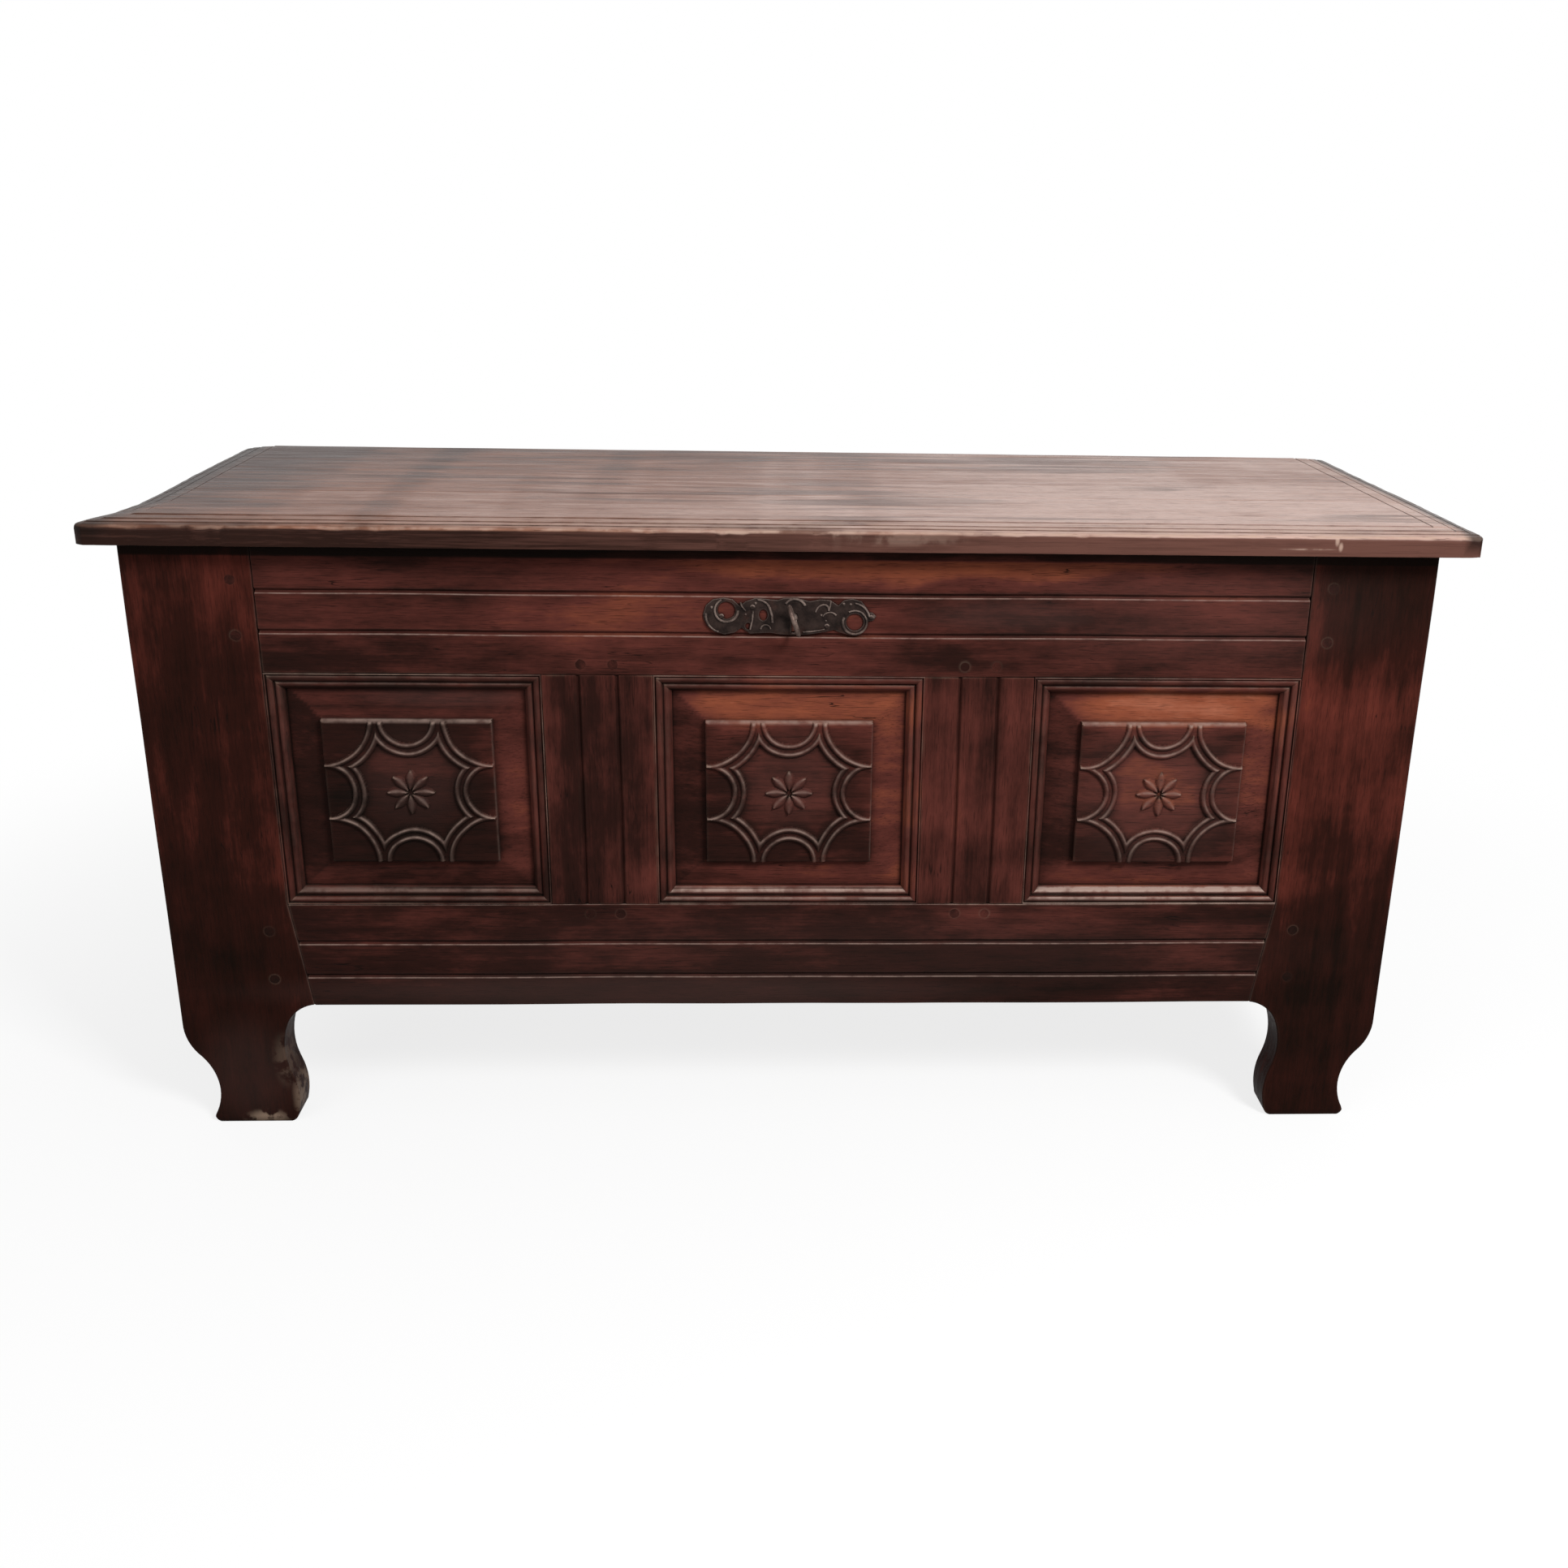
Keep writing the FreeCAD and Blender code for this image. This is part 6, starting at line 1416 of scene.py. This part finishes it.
def lid_insets(x, y, moulded_front):
    """How far a crossing lies in from the left and front edges, and from any moulded edge."""
    worn_inset = x - LID_LEFT
    if moulded_front:
        worn_inset = min(worn_inset, y - LID_FRONT)
    return worn_inset, min(worn_inset, LID_RIGHT - x)


def lid_place(x, y, moulded_front):
    """Where a crossing of a lid board's grid lies on the worn lid."""
    broad = uneven_wear(x, y, *BROAD_WEAR)
    fine = uneven_wear(x, y, *FINE_WEAR)
    worn_inset, inset = lid_insets(x, y, moulded_front)
    right_inset = LID_RIGHT - x
    drop = max(drop_at(LID_PROFILE, worn_inset), RIGHT_END_DEPTH * drop_at(LID_PROFILE, right_inset))
    off_joint = LID_JOINT - y if moulded_front else min(y - LID_JOINT, LID_BACK - y)
    drop += drop_at(JOINT_ROUND, off_joint) + TOP_WORN + TOP_UNEVEN * broad
    nosing = near(inset, NOSING_WIDTH)
    drop += nosing * (NOSING_WORN + NOSING_UNEVEN * (broad + fine))
    hollow = drop_at(LEFT_HOLLOW, y) * (1 + HOLLOW_UNEVEN * uneven_wear(0.0, y, *HOLLOW_WEAR))
    moved_x = x + hollow * near(x - LID_LEFT, HOLLOW_FADE)
    moved_x -= math.copysign(nosing, x) * NOSING_BACK * (1 + fine)
    moved_y = y
    if moulded_front:
        front = near(y - LID_FRONT, FRONT_WIDTH)
        drop += front * chip_at(x)
        moved_y += front * (FRONT_BACK + FRONT_UNEVEN * fine + CHIP_BACK * chip_at(x))
    for corner in FRONT_CORNERS if moulded_front else BACK_CORNERS:
        moved_x, moved_y = rounded(moved_x, moved_y, *corner)
    return Vector((moved_x, moved_y, LID_TOP - drop)) * MM


print("deepest hollow of the left end:", max(depth for place, depth in LEFT_HOLLOW), "mm")

# %% Plane and wear the lid boards
# The quirks are darkened, dirt and painted shade together; the moulding of the right end is darkened as
# painted shade, and that of the left end is darkened too
QUIRKS = (10.9, 21.9, 38.9)
QUIRK_HALF = 0.7
QUIRK_DIRT_AND_SHADE = 0.7
RIGHT_SHADE = 0.80
RIGHT_SHADE_WIDTH = 22.0
LEFT_SHADE = 0.6
LEFT_SHADE_WIDTH = 42.0
# The rubbed strip of the nosing, and how far it and the moulding behind it are rubbed and painted with a
# highlight
RUB_START = 0.8
RUB_END = 4.0
NOSING_RUB_AND_HIGHLIGHT = 0.80
BROAD_RUB = 0.6
FINE_RUB = 0.5
END_NOSING_RUB_AND_HIGHLIGHT = 0.3
MOULDING_RUB_AND_HIGHLIGHT = 0.30


def end_shade(distance, width):
    """1 over the outer half of a width, fading smoothly to 0 at its end."""
    return smooth_step(2 - 2 * distance / width)


def lid_masks(x, y, moulded_front):
    """How far a crossing of a lid board's grid is rubbed, with a painted highlight, and how dark it is, from
    dirt and painted shade.
    """
    inset = lid_insets(x, y, moulded_front)[1]
    rubbed_and_highlit = 0.0
    if RUB_START < inset < RUB_END:
        uneven = BROAD_RUB * uneven_wear(x, y, *BROAD_WEAR) + FINE_RUB * uneven_wear(x, y, *FINE_WEAR)
        rubbed_and_highlit = smooth_step(NOSING_RUB_AND_HIGHLIGHT + uneven)
        if not moulded_front or y - LID_FRONT > inset:
            rubbed_and_highlit *= END_NOSING_RUB_AND_HIGHLIGHT
    elif RUB_END < inset < EDGE_INSETS[-1]:
        rubbed_and_highlit = MOULDING_RUB_AND_HIGHLIGHT
    in_quirk = any(abs(inset - quirk) < QUIRK_HALF for quirk in QUIRKS)
    dirt_and_shade = max(QUIRK_DIRT_AND_SHADE * in_quirk, RIGHT_SHADE * end_shade(LID_RIGHT - x, RIGHT_SHADE_WIDTH),
               LEFT_SHADE * end_shade(x - LID_LEFT, LEFT_SHADE_WIDTH))
    return rubbed_and_highlit, dirt_and_shade


def lid_lines(start, start_insets, end, end_insets, step):
    """Places of the grid lines: on every step of both edges' profiles, and evenly spaced between them."""
    lines = [start + inset for inset in start_insets[:-1]]
    lines += stretches((start + start_insets[-1], end - end_insets[-1], step))
    return lines + [end - inset for inset in reversed(end_insets[:-1])]


def lid_board(node, moulded_front):
    across = lid_lines(LID_LEFT, EDGE_INSETS, LID_RIGHT, EDGE_INSETS, LID_LENGTH_STEP)
    if moulded_front:
        along = lid_lines(LID_FRONT, EDGE_INSETS, LID_JOINT, JOINT_INSETS, LID_DEPTH_STEP)
    else:
        along = lid_lines(LID_JOINT, JOINT_INSETS, LID_BACK, JOINT_INSETS, LID_DEPTH_STEP)

    def lift(x, y):
        return lid_place(x, y, moulded_front), *lid_masks(x, y, moulded_front)

    shape = relief_grid(across, along, ("rubbed_and_highlit", "dirt_and_shade"), lift)
    under = close_back(shape, 2, LID_BOTTOM * MM)
    bmesh.ops.bevel(shape, geom=under, offset=LID_UNDER_ROUND * MM, segments=3, profile=0.5, affect="EDGES",
                    material=-1, clamp_overlap=True)
    number_board(shape)
    return finish_piece(node + "_worn", shape, "lid", "lid_oak", [LID_OAK], node)


for node, moulded_front in (("lid_board_front", True), ("lid_board_rear", False)):
    board = lid_board(node, moulded_front)
    print(board.name, "faces:", len(board.data.polygons))

# %% [markdown]
# ## The lock plate
# The plate round the keyhole is thin pierced iron with an uneven outline. Scrolls and punched beads stand
# up from it: a curl at each end, leaf curls between them and an arch over the keyhole. The outline, the
# keyhole and the openings are drawn as closed loops, filled between and thickened. Each scroll starts as a
# small circle of vertices that is spun from arc to arc, shrinking as it goes, which is close to how a
# smith curls a tapered rod.

# %% Draw the lock plate
# Millimetres from the plate's middle, right and up as seen from the front
KEY_AXIS = Vector((4.0, 0.0, 573.0))
PLATE_MIDDLE = Vector((0.0, 0.0, 573.0))
PLATE_FRONT = -227.0
PLATE_BACK = -225.15
PLATE_OUTLINE = (
    (-86, 2), (-83, 11), (-76, 17), (-66, 18.5), (-57, 17), (-50, 10.5), (-44, 15), (-34, 18.5), (-24, 17.5),
    (-12, 16.5), (-6, 18.5), (4, 18.7), (12, 17.5), (20, 15.5), (30, 17.5), (40, 17), (48, 11.5), (54, 17),
    (62, 18.5), (71, 16), (76, 9.5), (78, 4.5), (82, 4.5), (86, 1), (83, -3.5), (78, -4), (75, -11.5),
    (68, -17), (60, -18.5), (51, -16), (44, -13), (34, -15.5), (22, -17.5), (10, -18.5), (0, -18.5),
    (-10, -18), (-20, -16.5), (-30, -17), (-40, -17.5), (-48, -11.5), (-55, -16.5), (-65, -18.5), (-75, -16),
    (-82, -10), (-85.5, -3),
)
# The same from the key's axis
KEYHOLE_OUTLINE = (
    (2.6, -2.8), (2.6, -16.5), (-2.6, -16.5), (-2.6, -2.8), (-4.2, 0.2), (-3.0, 3.2), (0.0, 4.4), (3.0, 3.2),
    (4.2, 0.2),
)
# Openings through the plate: place, half width and half height
PLATE_OPENINGS = (
    (-63.0, 6.0, 9.0, 9.0), (-41.5, -10.0, 3.0, 3.6), (-26.5, 1.5, 4.4, 6.0), (64.8, -5.2, 8.8, 8.8),
)
# Each scroll: start, heading in degrees, thickness at start and end, and arcs as radius and turn
SCROLLS = (
    ((-67.9, 16.6), 205.0, 2.0, 3.0, ((11.5, 245.0),)),
    ((-83.2, 3.0), 262.0, 2.6, 1.6, ((17.0, 82.0),)),
    ((-49.0, 14.5), 280.0, 1.8, 1.4, ((14.0, 42.0),)),
    ((-36.5, 6.0), 268.0, 2.2, 1.6, ((80.0, -14.0),)),
    ((-32.0, 17.0), 0.0, 1.6, 2.8, ((13.0, -68.0), (36.0, -24.0))),
    ((-29.0, -12.5), 80.0, 1.8, 1.4, ((5.0, -160.0),)),
    ((-4.0, 13.5), 55.0, 2.2, 2.8, ((11.0, -120.0),)),
    ((25.5, 5.0), 78.0, 1.6, 2.4, ((10.0, -60.0), (5.0, -120.0))),
    ((40.5, 16.0), 266.0, 2.0, 1.6, ((40.0, -11.0),)),
    ((46.0, 2.0), 130.0, 1.8, 1.4, ((8.0, 110.0),)),
    ((58.8, 5.2), 30.0, 1.6, 3.0, ((12.0, -325.0),)),
    ((65.0, 14.2), -8.0, 1.6, 2.4, ((17.0, -70.0),)),
    ((13.0, -15.4), 2.0, 1.6, 1.4, ((120.0, 8.0), (60.0, 5.0))),
)
# Punched beads: place and radius
BEADS = (
    (-34.0, 13.5, 1.3), (-44.0, 2.0, 1.0), (31.3, 1.8, 1.3), (36.0, -4.0, 1.0), (53.5, 13.4, 1.4),
    (60.5, 13.0, 1.2), (-77.5, 9.0, 1.5), (83.4, 0.6, 1.9),
)
print("outline points:", len(PLATE_OUTLINE), "scrolls:", len(SCROLLS), "beads:", len(BEADS))

# %% Cut the lock plate
OPENING_SIDES = 20
PLATE_ARRIS = 0.4
# Vertices this close to the plate's front lie on it
FACE_SLACK = 0.1


def plate_point(x, z, y):
    return (PLATE_MIDDLE + Vector((x, y, z))) * MM


def outline_loop(shape, points):
    """Closed loop of edges through a list of points."""
    ring = [shape.verts.new(point) for point in points]
    return [shape.edges.new((ring[index - 1], ring[index])) for index in range(len(ring))]


def loop_edges(vertices):
    """Edges between the vertices of a loop, in a fixed order."""
    own = set(vertices)
    edges = (edge for vertex in vertices for edge in vertex.link_edges if edge.other_vert(vertex) in own)
    return list(dict.fromkeys(edges))


def only_vertices(parts):
    return [part for part in parts if isinstance(part, bmesh.types.BMVert)]


def plate_sheet():
    """The pierced plate, thickened backwards and with its front arrises eased."""
    shape = bmesh.new()
    keyhole_x = (KEY_AXIS - PLATE_MIDDLE).x
    loops = outline_loop(shape, [plate_point(x, z, PLATE_FRONT) for x, z in PLATE_OUTLINE])
    loops += outline_loop(shape, [plate_point(x + keyhole_x, z, PLATE_FRONT) for x, z in KEYHOLE_OUTLINE])
    upright = Matrix.Rotation(math.pi / 2, 4, "X")
    for x, z, half_width, half_height in PLATE_OPENINGS:
        seat = Matrix.Translation(plate_point(x, z, PLATE_FRONT)) @ upright
        seat = seat @ Matrix.Diagonal((half_width * MM, half_height * MM, 1.0, 1.0))
        ring = bmesh.ops.create_circle(shape, segments=OPENING_SIDES, radius=1.0, matrix=seat)["verts"]
        loops += loop_edges(ring)
    bmesh.ops.triangle_fill(shape, edges=loops, use_beauty=True, normal=(0, -1, 0))
    drawn = bmesh.ops.extrude_face_region(shape, geom=shape.faces[:])["geom"]
    bmesh.ops.translate(shape, verts=only_vertices(drawn), vec=(0, (PLATE_BACK - PLATE_FRONT) * MM, 0))
    bmesh.ops.recalc_face_normals(shape, faces=shape.faces[:])
    front_limit = (PLATE_FRONT + FACE_SLACK) * MM
    arrises = []
    for edge in shape.edges:
        on_front = all(vertex.co.y < front_limit for vertex in edge.verts)
        if on_front and edge.calc_face_angle(0.0) > SHARP_ANGLE:
            arrises.append(edge)
    bmesh.ops.bevel(shape, geom=arrises, offset=PLATE_ARRIS * MM, segments=2, profile=0.5, affect="EDGES",
                    material=-1)
    return shape


plate = plate_sheet()
print("faces of the plate:", len(plate.faces))

# %% Forge the scrolls and beads
WIRE_SIDES = 10
SCROLL_SINK = 0.5
DEGREES_PER_STEP = 12.0
# Relief this high above the plate is fully rubbed and painted with a highlight
RUBBED_AND_HIGHLIT_RISE = 1.6


def add_scroll(shape, start, heading, thick, thin, arcs):
    """Tapered rod that follows arcs in the plate's plane, half sunk into its face."""
    place = Vector((start[0], PLATE_FRONT - SCROLL_SINK, start[1]))
    facing = Matrix.Rotation(-math.radians(heading), 4, "Y") @ Matrix.Rotation(math.pi / 2, 4, "Y")
    seat = Matrix.Translation((PLATE_MIDDLE + place) * MM) @ facing
    loop = bmesh.ops.create_circle(shape, segments=WIRE_SIDES, radius=thick / 2 * MM, matrix=seat,
                                   cap_ends=True)["verts"]
    total = sum(abs(turn) for radius, turn in arcs)
    for radius, turn in arcs:
        side = math.radians(heading + math.copysign(90, turn))
        centre = place + radius * Vector((math.cos(side), 0, math.sin(side)))
        steps = max(2, round(abs(turn) / DEGREES_PER_STEP))
        shrink = (thin / thick) ** (abs(turn) / steps / total)
        for step in range(steps):
            drawn = bmesh.ops.spin(shape, geom=loop_edges(loop), cent=(PLATE_MIDDLE + centre) * MM,
                                   axis=(0, 1, 0), angle=-math.radians(turn / steps), steps=1)["geom_last"]
            loop = only_vertices(drawn)
            middle = sum((vertex.co for vertex in loop), Vector()) / len(loop)
            bmesh.ops.scale(shape, verts=loop, vec=(shrink, shrink, shrink),
                            space=Matrix.Translation(-middle))
        place = centre + Matrix.Rotation(-math.radians(turn), 3, "Y") @ (place - centre)
        heading += turn
    bmesh.ops.contextual_create(shape, geom=[edge for edge in shape.edges if edge.is_boundary])


def add_bead(shape, x, z, radius):
    seat = Matrix.Translation(plate_point(x, z, PLATE_FRONT))
    bmesh.ops.create_icosphere(shape, subdivisions=2, radius=radius * MM, matrix=seat)


plate_rub_highlight_layer = plate.verts.layers.float.new("rubbed_and_highlit")
for scroll in SCROLLS:
    add_scroll(plate, *scroll)
for bead in BEADS:
    add_bead(plate, *bead)
# Relief stands paler the higher it rises: rubbed wear and painted highlight
for vertex in plate.verts:
    vertex[plate_rub_highlight_layer] = smooth_step((PLATE_FRONT - vertex.co.y / MM) / RUBBED_AND_HIGHLIT_RISE)
bmesh.ops.recalc_face_normals(plate, faces=plate.faces[:])
plate_piece = finish_piece("escutcheon_scrolled", plate, "carcase", "dark_iron", [DARK_IRON], "escutcheon")
print(plate_piece.name, "faces:", len(plate_piece.data.polygons))

# %% [markdown]
# ## The key
# The key's bow is a flattened ring, seen edge on because the key stands nearly upright in the lock. Behind
# it come a turned collar, the shank and the bit that moves the bolt. A ring of vertices spun right round
# makes the bow, a profile spun round the key's axis makes collar and shank, and the bit is a block with a
# ward sunk into both sides.

# %% Forge the key
BOW_WIRE = 5.2
BOW_HALF_HEIGHT = 17.0
BOW_HALF_LENGTH = 12.0
BOW_FLATNESS = 0.8
BOW_MIDDLE_Y = -244.15
BOW_STEPS = 40
SHANK_STEPS = 20
REST_TILT = math.radians(-18.0)
BIT_THICKNESS = 4.0
BIT_WIDTH = 9.0
BIT_REACH = 16.0
WARD_MARGIN = 2.0
WARD_DEPTH = 0.8
KEY_MERGE = 0.001
staple_low, staple_high = (Vector(corner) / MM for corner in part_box("lid_staple"))
BIT_Y = (staple_low.y + staple_high.y) / 2
SHANK_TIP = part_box("key")[1][1] / MM
# The shank from the bow to its tip: radius and place along the key
SHANK_PROFILE = (
    (0.0, -236.5), (2.6, -236.0), (3.0, -233.4), (3.7, -232.2), (3.8, -230.9), (3.0, -230.0), (3.0, -229.4),
    (3.6, -228.8), (3.6, -227.9), (3.5, -227.4), (3.5, SHANK_TIP - 4.0), (2.5, SHANK_TIP - 3.5),
    (2.5, SHANK_TIP - 0.4), (0.0, SHANK_TIP),
)


def add_bow(shape):
    """A ring of vertices spun right round, then flattened to an oval."""
    seat = Matrix.Translation((0, 0, BOW_HALF_HEIGHT - BOW_WIRE / 2)) @ Matrix.Rotation(math.pi / 2, 4, "X")
    bmesh.ops.create_circle(shape, segments=WIRE_SIDES, radius=BOW_WIRE / 2, matrix=seat)
    bmesh.ops.spin(shape, geom=shape.verts[:] + shape.edges[:], cent=(0, 0, 0), axis=(1, 0, 0),
                   angle=2 * math.pi, steps=BOW_STEPS, use_merge=True)
    oval = (BOW_FLATNESS, BOW_HALF_LENGTH / BOW_HALF_HEIGHT, 1.0)
    bmesh.ops.scale(shape, verts=shape.verts[:], vec=oval)
    bmesh.ops.translate(shape, verts=shape.verts[:], vec=(0, BOW_MIDDLE_Y, 0))


def add_shank(shape):
    """Collar and shank, a profile spun round the key's axis."""
    line = [shape.verts.new((0, place, radius)) for radius, place in SHANK_PROFILE]
    edges = [shape.edges.new(pair) for pair in zip(line, line[1:])]
    bmesh.ops.spin(shape, geom=line + edges, cent=(0, 0, 0), axis=(0, 1, 0), angle=2 * math.pi,
                   steps=SHANK_STEPS, use_merge=True)


def add_bit(shape):
    """A block with a sunk ward on both sides."""
    bit = bmesh.ops.create_cube(shape, size=1.0)["verts"]
    bmesh.ops.scale(shape, verts=bit, vec=(BIT_THICKNESS, BIT_WIDTH, BIT_REACH))
    bmesh.ops.translate(shape, verts=bit, vec=(0, BIT_Y, -BIT_REACH / 2))
    sides = [face for face in faces_of(bit) if abs(face.normal.x) > ALIGNED]
    bmesh.ops.inset_individual(shape, faces=sides, thickness=WARD_MARGIN, depth=-WARD_DEPTH)


def key_shape():
    """The key upright in millimetres round its own axis, then tilted and put in its place."""
    shape = bmesh.new()
    add_bow(shape)
    add_shank(shape)
    add_bit(shape)
    bmesh.ops.remove_doubles(shape, verts=shape.verts[:], dist=KEY_MERGE)
    bmesh.ops.recalc_face_normals(shape, faces=shape.faces[:])
    everything = shape.verts[:]
    bmesh.ops.rotate(shape, verts=everything, cent=(0, 0, 0), matrix=Matrix.Rotation(REST_TILT, 3, "Y"))
    bmesh.ops.translate(shape, verts=everything, vec=KEY_AXIS)
    bmesh.ops.scale(shape, verts=everything, vec=(MM, MM, MM))
    return shape


key_piece = finish_piece("key_forged", key_shape(), "key", "worn_steel", [WORN_STEEL], "key")
print(key_piece.name, "faces:", len(key_piece.data.polygons))

# %% [markdown]
# ## Ironwork and boards inside
# The hinges, the lock behind the rail, the battens and the floor show only from behind or with the lid up.
# They are plain forged and sawn work and their CAD shapes are right, so they could stay as they are, but
# sharp edges would look new. So they are copied and eased like the frame.

# %% Ease the ironwork and the inside boards
# Each group: nodes, slot, finish, width of the eased arris
INNER_GROUPS = (
    (("hinge_strap_left", "hinge_strap_right", "hinge_plate_left", "hinge_plate_right"),
     "dark_iron", DARK_IRON, 0.35),
    (("lock_plate", "lock_case", "lock_bolt", "lid_staple"), "dark_iron", DARK_IRON, 0.35),
    (("lid_batten_left", "lid_batten_right"), "bare_oak", BARE_ALONG_Y, 1.0),
    (("floor_board_1", "floor_board_2", "floor_board_3", "floor_board_4", "floor_board_5"),
     "bare_oak", BARE_ALONG_Y, 1.0),
    (("floor_ledger_front", "floor_ledger_back"), "bare_oak", BARE_ALONG_X, 1.0),
)

for nodes, slot, material, ease in INNER_GROUPS:
    for node in nodes:
        worked_board(node, slot, material, ease * MM)

# %% [markdown]
# ## Nails and other small nodes
# Nails, hinge pins and the lock's spring are small and rightly shaped in the CAD model, so they keep their
# nodes and only need a finish. A word in a node's name tells which one.

# %% Finish the rest of the nodes
# Words in the names of nodes, and the finish that goes with them
NODE_FINISHES = (
    (("hinge", "nails", "escutcheon", "lock", "staple"), DARK_IRON),
    (("key",), WORN_STEEL),
    (("lid_board",), LID_OAK),
    (("floor", "lid_batten"), BARE_ALONG_Y),
)


def node_finish(name):
    for words, finish in NODE_FINISHES:
        if any(word in name for word in words):
            return finish
    return OAK_ALONG_X


for name, node in NODES.items():
    node.data.materials.clear()
    node.data.materials.append(node_finish(name))
print("nodes with a finish:", len(NODES))
